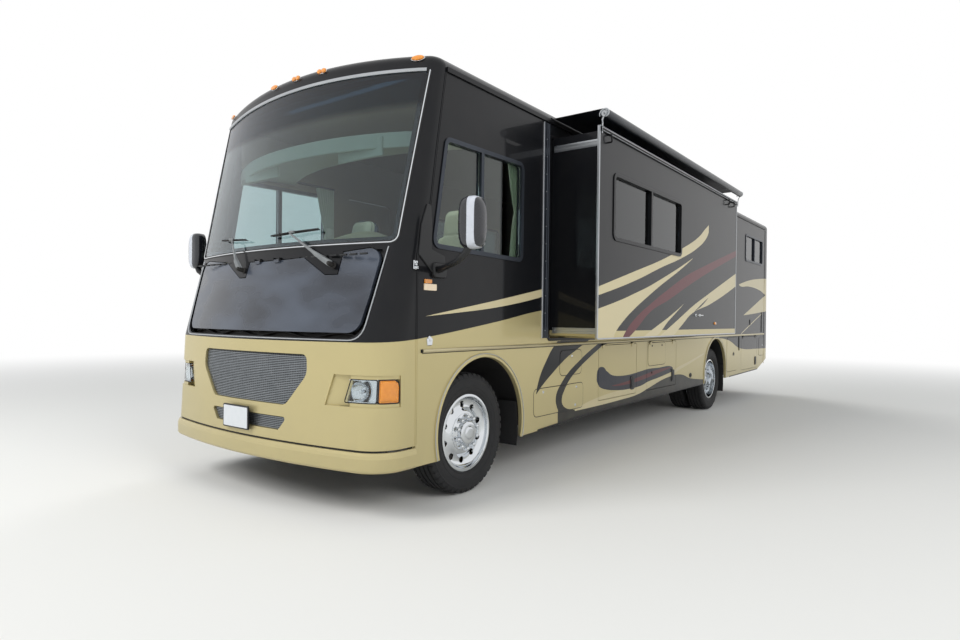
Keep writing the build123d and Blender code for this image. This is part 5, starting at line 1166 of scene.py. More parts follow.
# Belt moulding: where it runs on each side
BELT_RUNS = ((1, behind(-640), behind(9190)), (-1, behind(-640), DOOR_Y[0] - 0.012),
             (-1, DOOR_Y[1] + 0.012, behind(9190)))
# painted shadow: a thin dark rubber strip just under the belt moulding stands for the shadow the moulding
# casts
belt, belt_shadow_strip = bmesh.new(), bmesh.new()
for side, start, end in BELT_RUNS:
    for bm, x, z, width, proud, section in (
            (belt, SIDE + 0.0055, 1.13, 0.026, 0.0085, HALF_ROUND),
            (belt_shadow_strip, SIDE, 1.1135, 0.005, 0.002, FLAT_STRIP)):
        side_moulding(bm, side * x, spaced((start, z), (end, z), 60), width, proud, section, False)
add_piece("belt_moulding", belt, CHAMPAGNE_ALUMINIUM)
add_piece("belt_painted_shadow_strip", belt_shadow_strip, SEAL_RUBBER)

# seam moulding between the cap and the walls, and wheel arch lips
seam, lips, lip_lines, sills = bmesh.new(), bmesh.new(), bmesh.new(), bmesh.new()
for side in (1, -1):
    path = rounded(CAP_SEAM, 0.15, 0.2, closed=False)
    side_moulding(seam, side * SIDE, [(y + 0.004, z) for y, z in path], 0.022, 0.0045, GROOVED, False)
    for arch in ARCHES:
        side_moulding(lips, side * SIDE, arch_path(arch, 0.017), 0.034, 0.011,
                      ((-0.5, -0.4), (-0.5, 0.3), (-0.42, 0.6), (-0.1, 0.72), (0.06, 1), (0.36, 1),
                       (0.5, 0.6), (0.5, -0.4)), False)
        side_moulding(lip_lines, side * (SIDE + 0.0095), arch_path(arch, 0.028), 0.006, 0.003,
                      closed=False)
    # running foot: a dark angle under the skirt between the wheels and behind them
    for path in (((behind(900), 0.377), (behind(1900), 0.417), (behind(5400), 0.443)),
                 ((behind(6900), 0.46), (behind(8730), 0.484))):
        side_moulding(sills, side * (SIDE - 0.002), path, 0.016, 0.006, FLAT_STRIP, False)
add_piece("cap_seam_moulding", seam, PAINT)
add_piece("wheel_arch_lips", lips, PAINT)
add_piece("wheel_arch_beads", lip_lines, SATIN_ALUMINIUM)
add_piece("skirt_foot_angles", sills, BLACK_ALUMINIUM)

# Hatches: side, y from and to, z from and to, corner radius
Hatch = namedtuple("Hatch", "side y0 y1 z0 z1 r")
HATCHES = [Hatch(*row) for row in (
    (1, -2.905, -2.475, 0.835, 1.068, 0.06), (1, -3.36, -2.44, 0.5, 0.742, 0.055),
    (1, 2.545, 3.155, 0.545, 1.1, 0.07), (1, 4.64, 4.99, 0.73, 1.07, 0.05),
    (-1, 2.545, 3.155, 0.545, 1.1, 0.07), (-1, 0.32, 0.72, 0.64, 0.94, 0.05),
    (-1, 4.64, 4.99, 0.73, 1.07, 0.05))]
# this one sits on the second luggage door and moves with it
UTILITY_HATCH = Hatch(1, -0.767, -0.195, 0.815, 1.09, 0.07)


def hatch(doors, gasket_and_groove_shade, place):
    """A thin door with soft edges and the dark gasket line round it, which also stands for the painted
    shade of its groove.
    """
    path = soft_box((place.y0, place.z0), (place.y1, place.z1), place.r, 0.2)
    plate(doors, path, on_side(place.side * SIDE), 0.0028, 0.0022)
    around = soft_box((place.y0 - 0.003, place.z0 - 0.003), (place.y1 + 0.003, place.z1 + 0.003),
                      place.r + 0.003, 0.2)
    # the dark gasket line is partly painted shade, standing for the groove round the hatch
    side_moulding(gasket_and_groove_shade, place.side * SIDE, around, 0.006, 0.0006, FLAT_STRIP)


doors, gasket_and_groove_shade = bmesh.new(), bmesh.new()
for place in HATCHES:
    hatch(doors, gasket_and_groove_shade, place)
add_piece("hatch_doors", doors, PAINT, sharp=20)
add_piece("hatch_gasket_groove_shade", gasket_and_groove_shade, SEAL_RUBBER)
doors, gasket_and_groove_shade = bmesh.new(), bmesh.new()
hatch(doors, gasket_and_groove_shade, UTILITY_HATCH)
add_piece("utility_hatch", doors, PAINT, "bay_door_left_2", 20)
add_piece("utility_hatch_gasket_groove_shade", gasket_and_groove_shade, SEAL_RUBBER, "bay_door_left_2")


def cam_lock(bm, side, y, z, r=0.014):
    """A round key lock in its bezel."""
    lathe(bm, ((0, 0), (0, r), (0.003, r), (0.0045, r * 0.82), (0.003, r * 0.72),
               (0.006, r * 0.66), (0.0065, 0)), 20, (side * SIDE, y, z), (side, 0, 0))


def paddle_latch(dish, paddle, side, y, z):
    """A pull latch: an oval dish with a raised rim, and its paddle."""
    path = [Vector((y + a, z + b)) for a, b in oval(0.045, 0.03)]
    side_moulding(dish, side * SIDE, path, 0.009, 0.005)
    plate(dish, [Vector((y, z)).lerp(p, 0.96) for p in path], on_side(side * SIDE), 0.0015, 0.001)
    side_pad(paddle, side * (SIDE + 0.001), (y - 0.0279, z - 0.0165), (y + 0.0279, z + 0.0165), 0.008,
             0.006, 0.003)


# fixed locks, by side, y and z
locks = bmesh.new()
for side, y, z in ((1, -2.677, 1.012), (1, -2.579, 0.708), (1, -3.204, 0.708), (1, -2.6, 0.535),
                   (1, 4.9, 0.919), (-1, 4.9, 0.919), (-1, 0.66, 0.8)):
    cam_lock(locks, side, y, z)
add_piece("hatch_locks", locks, CHROME, sharp=30)
locks = bmesh.new()
for y in (-0.645, -0.32):
    cam_lock(locks, 1, y, 1.055)
for y in (-0.64, 0.02):
    cam_lock(locks, 1, y, 0.728, 0.012)
add_piece("utility_hatch_locks", locks, BLACK_STEEL, "bay_door_left_2", 30)
dish, paddle = bmesh.new(), bmesh.new()
for side, y, z in ((1, 2.93, 0.822), (-1, 2.93, 0.822), (1, 0.778, 0.605)):
    paddle_latch(dish, paddle, side, y, z)
add_piece("hatch_latch_dishes", dish, ABS_BLACK)
add_piece("hatch_latch_paddles", paddle, BLACK_STEEL)
# one paddle latch on each luggage door, over its block
for side, hand in SIDES:
    for number, y in enumerate((-1.23, 0.075, 4.385), 1):
        bm = side_pad(bmesh.new(), side * SIDE, (y - 0.052, 0.572), (y + 0.052, 0.725), 0.022, 0.0075,
                      0.003)
        side_pad(bm, side * (SIDE + 0.007), (y - 0.03, 0.59), (y + 0.03, 0.69), 0.012, 0.005, 0.003)
        lathe(bm, ((0, 0), (0, 0.008), (0.002, 0.008), (0.003, 0)), 14,
              (side * (SIDE + 0.0075), y, 0.706), (side, 0, 0))
        add_piece(f"bay_latch_{hand}_{number}", bm, ABS_BLACK, f"bay_door_{hand}_{number}")

# Small fittings behind the nose: the driver's seam latch, and each side's reflector and lamps
bm = bmesh.new()
for y, z in ((behind(-726), 1.735), (behind(-716), 1.7)):
    lathe(bm, ((0, 0), (0, 0.013), (0.01, 0.013), (0.014, 0.01), (0.022, 0.009), (0.024, 0)), 16,
          (SIDE, y, z), (1, 0, 0))
box(bm, (SIDE - 0.002, behind(-740), 1.69), (SIDE + 0.006, behind(-702), 1.75), 0.003)
add_piece("pillar_latch", bm, CHROME)
for side, hand in SIDES:
    bm = side_pad(bmesh.new(), side * SIDE, (behind(-632), 1.552), (behind(-498), 1.598), 0.008, 0.007,
                  0.002)
    add_piece(f"side_reflector_{hand}", bm, MARKER_CREAM)
    bm = side_pad(bmesh.new(), side * SIDE, (behind(-628), 1.6), (behind(-550), 1.63), 0.008, 0.01,
                  0.004)
    add_piece(f"side_marker_{hand}", bm, AMBER)
    shield = ((behind(-592), 1.166), (behind(-542), 1.166), (behind(-536), 1.215),
              (behind(-567), 1.238), (behind(-598), 1.215))
    bm = plate(bmesh.new(), rounded(shield, 0.01, steps=3), on_side(side * SIDE), 0.01, 0.005)
    lathe(bm, ((0, 0), (0, 0.01), (0.004, 0.009), (0.006, 0)), 14,
          (side * (SIDE + 0.009), behind(-567), 1.204), (side, 0, 0))
    add_piece(f"shield_lamp_{hand}", bm, CHROME, sharp=25)

# rear vent louvres and the dark slot latches behind the slide-out
bm = bmesh.new()
for side in (1, -1):
    side_pad(bm, side * SIDE, (4.8, 1.16), (4.85, 1.545), 0.02, 0.006, 0.003)
    for number in range(17):
        z = 1.18 + number * 0.0215
        x = side * (SIDE + 0.006)
        box(bm, (x - 0.004, 4.808, z), (x + 0.004, 4.842, z + 0.01), 0.001)
    side_pad(bm, side * SIDE, (3.95, 1.3), (3.988, 1.4), 0.014, 0.008, 0.003)
side_pad(bm, SIDE, (3.245, 0.87), (3.285, 1.11), 0.012, 0.008, 0.003)
add_piece("rear_side_vents", bm, ABS_BLACK)

# Wheel wells: liners over the wheels and rubber flaps behind them
liner, flaps = bmesh.new(), bmesh.new()
for side in (1, -1):
    for arch in ARCHES:
        # behind its lip the front well swells forward, for the wheels at full lock
        inner, swell, ahead = (0.62, 0.051, 0.04) if arch.name == "front" else (0.56, 0.0, 0.0)
        rings = []
        for step in range(33):
            angle, ring = pi + 0.1 - (pi + 0.2) * step / 32, []
            for x, deep, grow in ((SIDE - 0.032, 0, 0.004), (SIDE - 0.062, 1, 0.004), (inner, 1, 0.004),
                                  (inner, 1, 0.009), (SIDE - 0.062, 1, 0.009), (SIDE - 0.032, 0, 0.009)):
                r = arch.r + grow + deep * swell
                z = max(arch.z + r * sin(angle), 0.42)
                ring.append(liner.verts.new((side * x, arch.y - deep * ahead + r * cos(angle), z)))
            rings.append(ring)
        skin(liner, rings)
    for y, x0, x1, z0 in ((behind(600), 0.86, 1.262, 0.285), (behind(6640), 0.66, 1.262, 0.24)):
        rings = []
        for step in range(9):
            z = z0 + (0.66 - z0) * step / 8
            hang = 0.014 * sin(step * 0.55)
            rings.append([flaps.verts.new((side * x, y + hang + dy, z))
                          for x, dy in ((x0, 0), (x1, 0), (x1, 0.007), (x0, 0.007))])
        skin(flaps, rings)
add_piece("wheel_well_liners", liner, POLYETHYLENE)
add_piece("mud_flaps", flaps, RUBBER)


# Lamps of the nose's corners and the brow
CORNER_R = 0.24


def corner_of(side):
    """Places a length round the nose's rounded corner, a height and a depth."""
    def placed(point, depth):
        angle, reach = point[0] / CORNER_R, CORNER_R + depth
        return Vector((side * (SIDE - CORNER_R + reach * sin(angle)),
                       nose_y(SIDE, point[1]) - reach * cos(angle), point[1]))
    return placed


def brow_at(x, z):
    """Places an upright oval's points, and a height, on the brow."""
    def placed(point, height):
        return nose_point(x + point[0], z + 0.86 * point[1], height)[0]
    return placed


# The turn lamp's outline, as length round the corner and height, with the cut outer shoulder
TURN_LAMP = ((0.1835, 0.79), (0.34, 0.79), (0.34, 0.895), (0.329, 0.928), (0.3, 0.948), (0.1835, 0.948))
turn_edge = rounded(TURN_LAMP, 0.014, 0.012)
lamp_middle = sum(turn_edge, Vector((0, 0))) / len(turn_edge)
for side, hand in SIDES:
    on_corner = corner_of(side)
    lamp = add_piece(f"turn_lamp_lens_{hand}", domed(bmesh.new(), turn_edge, on_corner, (
        (0.965, -0.03), (0.965, -0.014), (0.93, -0.011), (0.86, -0.011), (0.83, -0.006),
        (0.78, -0.003), (0.55, -0.0015), (0.25, -0.001))), AMBER)
    if side > 0:
        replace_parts(lamp, "amber_lamps")
    outs = [on_corner(p, 1) - on_corner(p, 0) for p in turn_edge]
    rim_bm = moulding(bmesh.new(), [on_corner(lamp_middle.lerp(p, 0.985), -0.014) for p in turn_edge],
                      outs, 0.009, 0.008)
    add_piece(f"turn_lamp_gasket_{hand}", rim_bm, SEAL_RUBBER)

# Markers on the brow: middle x and z, and whether the lens has two bulbs
BROW_MARKERS = ((-1.15, 3.203, 1), (-0.3, 3.252, 1), (0.0, 3.258, 2), (0.3, 3.252, 2), (1.15, 3.203, 1))
marker_lenses, marker_bases = bmesh.new(), bmesh.new()
marker_edge = oval(0.048, 0.0215, count=28)
for x, z, bulbs in BROW_MARKERS:
    on_brow = brow_at(x, z)
    domed(marker_bases, [(a * 1.1, b * 1.1) for a, b in marker_edge], on_brow,
          ((1, 0.0005), (1, 0.004), (0.94, 0.0055)))
    if bulbs == 1:
        domed(marker_lenses, marker_edge, on_brow, (
            (1, 0.005), (0.99, 0.01), (0.9, 0.0145), (0.7, 0.0165), (0.35, 0.0175)))
    else:
        for way in (-1, 1):
            domed(marker_lenses, [(a * 0.52 + way * 0.0235, b) for a, b in marker_edge], on_brow, (
                (1, 0.005), (0.97, 0.011), (0.82, 0.0155), (0.4, 0.0175)))
add_piece("brow_marker_lenses", marker_lenses, AMBER)
add_piece("brow_marker_bases", marker_bases, CHROME)

# Slide-out room: posts on the wall beside it, rails on its return, trims of its face
SLIDE_Z = (1.19, 3.028)
FACE_Y = (behind(1047), behind(5338))
RIDGED = ((-0.5, -0.2), (-0.5, 0.75), (-0.46, 1), (-0.34, 1), (-0.3, 0.55), (0.06, 0.55), (0.1, 1),
    (0.2, 1), (0.24, 0.55), (0.42, 0.55), (0.46, 0.85), (0.5, 0.85), (0.5, -0.2))


def rivet_row(name, start, step, count, out, body, r):
    """Domed rivet heads in a row."""
    bm = lathe(bmesh.new(), ((-0.001, 0.0002), (-0.001, r), (0.0008, r), (0.0021, r * 0.6),
                             (0.0025, 0.0002)), 8, start, out)
    return by_nodes(name, bm, IN_A_ROW, {"Count": count, "Step": step}, SATIN_ALUMINIUM, body)


posts, lines = bmesh.new(), bmesh.new()
for name, middle, way in (("front", FACE_Y[0] - 0.052, -1), ("rear", FACE_Y[1] + 0.052, 1)):
    path = spaced((middle, 1.192), (middle, 3.11), 16)
    side_moulding(posts, SIDE, path if way < 0 else path[::-1], 0.088, 0.013, RIDGED, False)
    side_moulding(lines, SIDE, [(middle + way * 0.049, z) for _, z in path], 0.008, 0.01,
                  closed=False)
    rivet_row(f"slide_post_rivets_{name}", (SIDE + 0.0075, middle, 1.26), (0, 0, 0.155), 12,
              (1, 0, 0), "coach", 0.006)
add_piece("slide_posts", posts, POST_ALUMINIUM)
add_piece("slide_post_bright_lines", lines, SATIN_ALUMINIUM)

RAIL = ((-0.5, -0.1), (-0.5, 0.8), (-0.44, 1), (-0.2, 1), (-0.16, 0.6), (0.1, 0.6), (0.14, 1), (0.44, 1),
    (0.5, 0.8), (0.5, -0.1))
rails = bmesh.new()
for name, y, out in (("front", SLIDE_Y[0], -1), ("rear", SLIDE_Y[1], 1)):
    for label, z, width in (("foot", 1.262, 0.052), ("head", 2.888, 0.058)):
        moulding(rails, spaced((1.32, y, z), (1.76, y, z), 8), Vector((0, out, 0)), width, 0.0045,
                 RAIL, False)
        rivet_row(f"slide_{label}_rail_rivets_{name}", (1.34, y + out * 0.0035, z), (0.082, 0, 0), 6,
                  (0, out, 0), "slide_room", 0.004)
add_piece("slide_return_rails", rails, SATIN_ALUMINIUM, "slide_room")

# the face's own edge trim, and the ribbed rail along its head
face_edge = soft_box((FACE_Y[0] + 0.007, SLIDE_Z[0] + 0.007), (FACE_Y[1] - 0.007, SLIDE_Z[1] - 0.007),
                     0.012, 0.2)
edge_bm = side_moulding(bmesh.new(), SLIDE_FACE, face_edge, 0.012, 0.0035, FLAT_STRIP)
front_x = SLIDE_FACE - 0.009
moulding(edge_bm, spaced((front_x, FACE_Y[0], 1.2), (front_x, FACE_Y[0], 3.02), 12),
         Vector((0, -1, 0)), 0.017, 0.0028, FLAT_STRIP, False)
add_piece("slide_face_edge_trim", edge_bm, SATIN_ALUMINIUM, "slide_room")
rivet_row("slide_face_edge_rivets", (SLIDE_FACE - 0.009, FACE_Y[0] - 0.0022, 1.24), (0, 0, 0.128), 14,
          (0, -1, 0), "slide_room", 0.0035)
head, head_lines = bmesh.new(), bmesh.new()
HEAD_Y = (FACE_Y[0] + 0.022, FACE_Y[1] - 0.018)
side_moulding(head, SLIDE_FACE, spaced((HEAD_Y[0], 2.998), (HEAD_Y[1], 2.998), 30), 0.04, 0.016,
              RIDGED, False)
for z, width in ((2.984, 0.005), (3.0085, 0.007)):
    side_moulding(head_lines, SLIDE_FACE + 0.0145, spaced((HEAD_Y[0], z), (HEAD_Y[1], z), 30), width,
                  0.003, closed=False)
add_piece("slide_head_rail", head, BLACK_ALUMINIUM, "slide_room")
add_piece("slide_head_rail_lines", head_lines, SATIN_ALUMINIUM, "slide_room")

# Topper over it: a roller, its caps, the two brackets that hold it, and the cloth
ROLLER = Vector((1.815, 0, 3.13))
ROLLER_Y = (behind(1087), behind(5353))
ROLLER_END = ((0, 0.0002), (0, 0.034), (0.012, 0.0365), (0.3, 0.0375))
far_end = [(ROLLER_Y[1] - ROLLER_Y[0] - out, r) for out, r in reversed(ROLLER_END)]
roller_bm = lathe(bmesh.new(), (*ROLLER_END, *far_end), 40, ROLLER + Vector((0, ROLLER_Y[0], 0)), (0, 1, 0))
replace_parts(add_piece("topper_roller_tube", roller_bm, TOPPER_VINYL, "slide_room", 60), "topper_roller")
caps, straps = bmesh.new(), bmesh.new()
# bracket seen along the roller: x and z from the claw over the axle down to its foot
BRACKET = ((1.772, 3.098), (1.769, 3.122), (1.78, 3.146), (1.806, 3.16), (1.833, 3.15), (1.84, 3.126),
    (1.826, 3.104), (1.803, 3.09), (1.793, 3.066), (1.79, 3.03), (1.7885, 2.96))
for y, out in ((ROLLER_Y[0], -1), (ROLLER_Y[1], 1)):
    hub = ((-0.002, 0.0002), (-0.002, 0.036), (0.004, 0.0385), (0.01, 0.0385), (0.013, 0.034),
           (0.011, 0.018), (0.016, 0.015), (0.019, 0.0002))
    lathe(caps, hub, 28, ROLLER + Vector((0, y, 0)), (0, out, 0))
    path = [Vector((x, y + out * 0.017 - out * 0.013 * (z < 3.05), z)) for x, z in rounded(
        BRACKET, 0.006, 0.012, False, 3)]
    outs = [Vector((0, 1, 0)).cross(ahead - back).normalized()
            for ahead, back in zip(path[1:] + path[-1:], path[:1] + path[:-1])]
    moulding(straps, path, outs, 0.017, 0.0045, FLAT_STRIP, False)
add_piece("topper_roller_caps", caps, SATIN_ALUMINIUM, "slide_room")
add_piece("topper_brackets", straps, SATIN_ALUMINIUM, "slide_room")

# the cloth, taut from its rail on the wall over the top of the roller
cloth = bmesh.new()
CLOTH_Y = (ROLLER_Y[0] + 0.006, ROLLER_Y[1] - 0.006)
CLOTH_X = (1.306, 1.815)
cloth_rows = []
for i in range(61):
    y = CLOTH_Y[0] + (CLOTH_Y[1] - CLOTH_Y[0]) * i / 60
    row = []
    for k in range(13):
        share = k / 12
        x = CLOTH_X[0] + (CLOTH_X[1] - CLOTH_X[0]) * share
        # it sags a little in the middle and is drawn up at its hems
        sag = 0.004 * sin(pi * share) * (1 - (2 * i / 60 - 1) ** 8) + 0.0008 * sin(i * 1.9 + k)
        row.append(cloth.verts.new((x, y, 3.1695 - sag * (0 < k < 12))))
    cloth_rows.append(row)
stitch(cloth, cloth_rows, False)
topper = add_piece("topper_cloth", cloth, TOPPER_VINYL, "coach", 180)
hems = bmesh.new()
for y in CLOTH_Y:
    moulding(hems, spaced((CLOTH_X[0], y, 3.1688), (CLOTH_X[0] + 0.505, y, 3.1688), 8), Vector((0, 0, 1)),
             0.018, 0.0012, FLAT_STRIP, False)
topper_hems = add_piece("topper_hems", hems, TOPPER_VINYL)
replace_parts(topper, "topper_fabric")
for piece in (topper, topper_hems):
    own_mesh(piece)
rail_points = spaced((CLOTH_Y[0] - 0.02, 3.168), (CLOTH_Y[1] + 0.02, 3.168), 30)
add_piece("topper_awning_rail", side_moulding(bmesh.new(), SIDE, rail_points, 0.02, 0.013, closed=False),
          BLACK_ALUMINIUM)

# Small fittings of the slide's face: pull handle, marker lamp and travel latches
HANDLE_Y, HANDLE_Z, reach = (-0.545, -0.401), 1.428, SLIDE_FACE + 0.042
handle = ((SLIDE_FACE, HANDLE_Y[0], HANDLE_Z), (reach, HANDLE_Y[0], HANDLE_Z),
          (reach, HANDLE_Y[1], HANDLE_Z), (SLIDE_FACE, HANDLE_Y[1], HANDLE_Z))
bars("slide_pull_handle", [rounded(handle, 0.018, closed=False)], 0.007, CHROME, "slide_room")
bm = bmesh.new()
for y in HANDLE_Y:
    lathe(bm, ((0, 0.0002), (0, 0.018), (0.004, 0.017), (0.006, 0.01), (0.006, 0.0002)), 20,
          (SLIDE_FACE, y, HANDLE_Z), (1, 0, 0))
add_piece("slide_pull_handle_feet", bm, CHROME, "slide_room")
marker = [(0.203 + a, 1.333 + b) for a, b in oval(0.04, 0.019)]
add_piece("slide_marker_lamp", domed(bmesh.new(), marker, on_side(SLIDE_FACE), (
    (1, 0), (1, 0.006), (0.86, 0.011), (0.4, 0.014))), AMBER, "slide_room")
near, far = SLIDE_FACE - 0.002, SLIDE_FACE + 0.038
bars("topper_travel_latches", [
    rounded(((near, y, 2.972), (far, y, 2.968), (far, y + 0.012, foot), (near, y + 0.012, foot)), 0.012,
            closed=False) for y, foot in ((-2.985, 2.908), (0.64, 2.913), (0.86, 2.913))],
     0.0075, BLACK_ALUMINIUM, "slide_room")


# Cab, seen through the windshield and the driver's window

# overhead board: a padded header that follows the windshield, and its shelf
bm, rings = bmesh.new(), []
for k in range(33):
    x = 1.232 * (k / 16 - 1)
    y = -4.945 + 0.33 * abs(x / 1.232) ** 2.2
    rings.append([bm.verts.new((x, y + dy, z)) for dy, z in (
        (0.006, 2.601), (0, 2.607), (0, 2.708), (0.006, 2.714), (0.3, 2.73), (0.62, 2.73),
        (0.62, 2.716), (0.3, 2.7), (0.03, 2.612), (0.024, 2.601))])
skin(bm, rings)
add_piece("overhead_board", bm, HEADER_VINYL)

# sun visors hang from it, folded up
for side, hand in SIDES:
    x = side * 0.62
    bm = box(bmesh.new(), (x - 0.24, -4.812, 2.545), (x + 0.24, -4.79, 2.69), 0.01)
    add_piece(f"sun_visor_{hand}", bm, HEADER_VINYL)

# Dashboard: binnacle, dials, vents and defroster slots, on its cream top
bm, hood_rings = bmesh.new(), []
for k in range(25):
    angle = pi * k / 24
    x, lift = 0.62 + 0.26 * cos(angle), 0.085 * sin(angle) ** 0.7
    hood_rings.append([bm.verts.new((x, y, z + lift * share)) for y, z, share in (
        (behind(-760), 1.782, 1.0), (behind(-540), 1.772, 1.1), (behind(-535), 1.772, 1.02),
        (behind(-555), 1.772, 0.86), (behind(-755), 1.776, 0.84))])
skin(bm, hood_rings)
add_piece("dashboard_binnacle", bm, ABS_BLACK)
dial_faces, dial_rims = bmesh.new(), bmesh.new()
for x, z, r in ((0.5, 1.7, 0.052), (0.74, 1.7, 0.052), (0.62, 1.712, 0.036), (0.62, 1.65, 0.026)):
    at = (x, behind(-508), z)
    lathe(dial_faces, ((-0.006, 0.0002), (-0.006, r), (0.004, r), (0.004, 0.0002)), 28, at, (0, 1, 0.35))
    lathe(dial_rims, ((0.002, r - 0.003), (0.002, r + 0.004), (0.009, r + 0.003), (0.009, r - 0.002)),
          28, at, (0, 1, 0.35))
add_piece("dashboard_dials", dial_faces, DIAL_FACE)
add_piece("dashboard_dial_rings", dial_rims, CHROME)
vents, vanes = bmesh.new(), bmesh.new()
for x in (-1.0, -0.3, 0.2, 1.02):
    box(vents, (x - 0.062, behind(-512), 1.655), (x + 0.062, behind(-487), 1.735), 0.006)
    for k in range(5):
        z = 1.668 + 0.013 * k
        box(vanes, (x - 0.054, behind(-489), z), (x + 0.054, behind(-480), z + 0.004))
add_piece("dashboard_vents", vents, ABS_BLACK)
add_piece("dashboard_vent_vanes", vanes, POST_ALUMINIUM)
# defroster slots along the top
slots = bmesh.new()
for k in range(22):
    x = -1.02 + 0.0972 * k
    y = behind(-1000) + 0.05 * abs(x)
    box(slots, (x - 0.035, y, 1.785), (x + 0.035, y + 0.015, 1.7975), 0.002)
add_piece("dashboard_defroster_slots", slots, ABS_BLACK)


# Seats: stuffed cushions, backs and armrests on their pedestals

def pad_rings(bm, rows, power=4.0):
    """A lofted pad: rows of the middle and the half sizes along x and y."""
    return skin(bm, [[bm.verts.new((x + a, y + b, z)) for a, b in oval(half_x, half_y, power, 36)]
                     for (x, y, z), half_x, half_y in rows])


FILL_LIMIT = 0.022


def stuff(name, bm):
    """Fills a pad: its skin is remeshed and blown up as cloth, and no point moves past the limit."""
    seed = bpy.data.meshes.new(name)
    bmesh.ops.recalc_face_normals(bm, faces=bm.faces)
    bm.to_mesh(seed)
    bm.free()
    pad = place_object(name, seed)
    remesh = pad.modifiers.new("skin", "REMESH")
    remesh.mode, remesh.voxel_size = "VOXEL", 0.009
    graph = bpy.context.evaluated_depsgraph_get()
    pad.data = bpy.data.meshes.new_from_object(pad.evaluated_get(graph))
    pad.modifiers.clear()
    before = [vert.co.copy() for vert in pad.data.vertices]
    cloth = pad.modifiers.new("stuffing", "CLOTH")
    cloth.settings.use_pressure = True
    cloth.settings.uniform_pressure_force = 4
    cloth.settings.effector_weights.gravity = 0
    cloth.settings.quality = 5
    cloth.point_cache.frame_start, cloth.point_cache.frame_end = 1, 20
    for number in range(1, 21):
        bpy.context.scene.frame_set(number)
    graph = bpy.context.evaluated_depsgraph_get()
    pad.data = bpy.data.meshes.new_from_object(pad.evaluated_get(graph))
    pad.modifiers.clear()
    bpy.context.scene.frame_set(1)
    for vert, start in zip(pad.data.vertices, before):
        moved = vert.co - start
        if moved.length > FILL_LIMIT:
            vert.co = start + moved.normalized() * FILL_LIMIT
    made = bmesh.new()
    made.from_mesh(pad.data)
    bpy.data.objects.remove(pad)
    for _ in range(2):
        bmesh.ops.smooth_vert(made, verts=made.verts, factor=0.5, use_axis_x=True, use_axis_y=True,
                              use_axis_z=True)
    return made


def sew(bm, lines, depth, width):
    """Presses sewn channels into a pad: each line is a distance along a direction."""
    bm.normal_update()
    moves = []
    for vert in bm.verts:
        # a channel falls off on both its sides like a bell
        press = sum(2.718 ** -(((vert.co @ Vector(way) - at) / width) ** 2) for way, at in lines)
        moves.append(vert.normal * -depth * min(press, 1))
    for vert, move in zip(bm.verts, moves):
        vert.co += move
    return bm


def seam_of(bm, point, way):
    """Where a plane cuts a pad: the line that its piping follows."""
    cut = bm.copy()
    found = bmesh.ops.bisect_plane(cut, geom=cut.verts[:] + cut.edges[:] + cut.faces[:],
                                   plane_co=point, plane_no=way)["geom_cut"]
    kept = {part for part in found if isinstance(part, bmesh.types.BMEdge)}
    bmesh.ops.delete(cut, geom=[edge for edge in cut.edges if edge not in kept], context="EDGES")
    bmesh.ops.delete(cut, geom=[vert for vert in cut.verts if not vert.link_edges], context="VERTS")
    return cut


SEAT_X = 0.62
# Rows of the pads: middle, half width and half length
CUSHION_ROWS = (((0, 0, 1.512), 0.235, 0.235), ((0, 0, 1.53), 0.246, 0.247), ((0, 0, 1.59), 0.25, 0.252),
    ((0, 0.002, 1.622), 0.244, 0.246), ((0, 0.006, 1.634), 0.225, 0.222))
BACK_ROWS = (((0, 0.01, 1.6), 0.195, 0.052), ((0, 0.014, 1.64), 0.226, 0.066),
    ((0, 0.035, 1.8), 0.238, 0.066), ((0, 0.07, 1.98), 0.232, 0.06), ((0, 0.093, 2.09), 0.2, 0.052),
    ((0, 0.1, 2.12), 0.158, 0.048), ((0, 0.118, 2.22), 0.156, 0.05), ((0, 0.132, 2.32), 0.142, 0.044),
    ((0, 0.136, 2.355), 0.11, 0.028))
cushion_pad = sew(stuff("cushion_pad", pad_rings(bmesh.new(), CUSHION_ROWS)), (
    ((1, 0, 0), -0.165), ((1, 0, 0), 0.165), ((0, 1, 0), -0.08), ((0, 1, 0), 0.08)), 0.009, 0.01)
back_pad = sew(stuff("back_pad", pad_rings(bmesh.new(), BACK_ROWS)), (
    ((1, 0, 0), -0.15), ((1, 0, 0), 0.15), ((0, 0, 1), 1.8), ((0, 0, 1), 1.94), ((0, 0, 1), 2.105)),
    0.009, 0.01)
# Rows of an armrest: height, half width and half length
ARM_ROWS = ((1.828, 0.026, 0.176), (1.838, 0.031, 0.182), (1.868, 0.031, 0.182), (1.882, 0.024, 0.174))
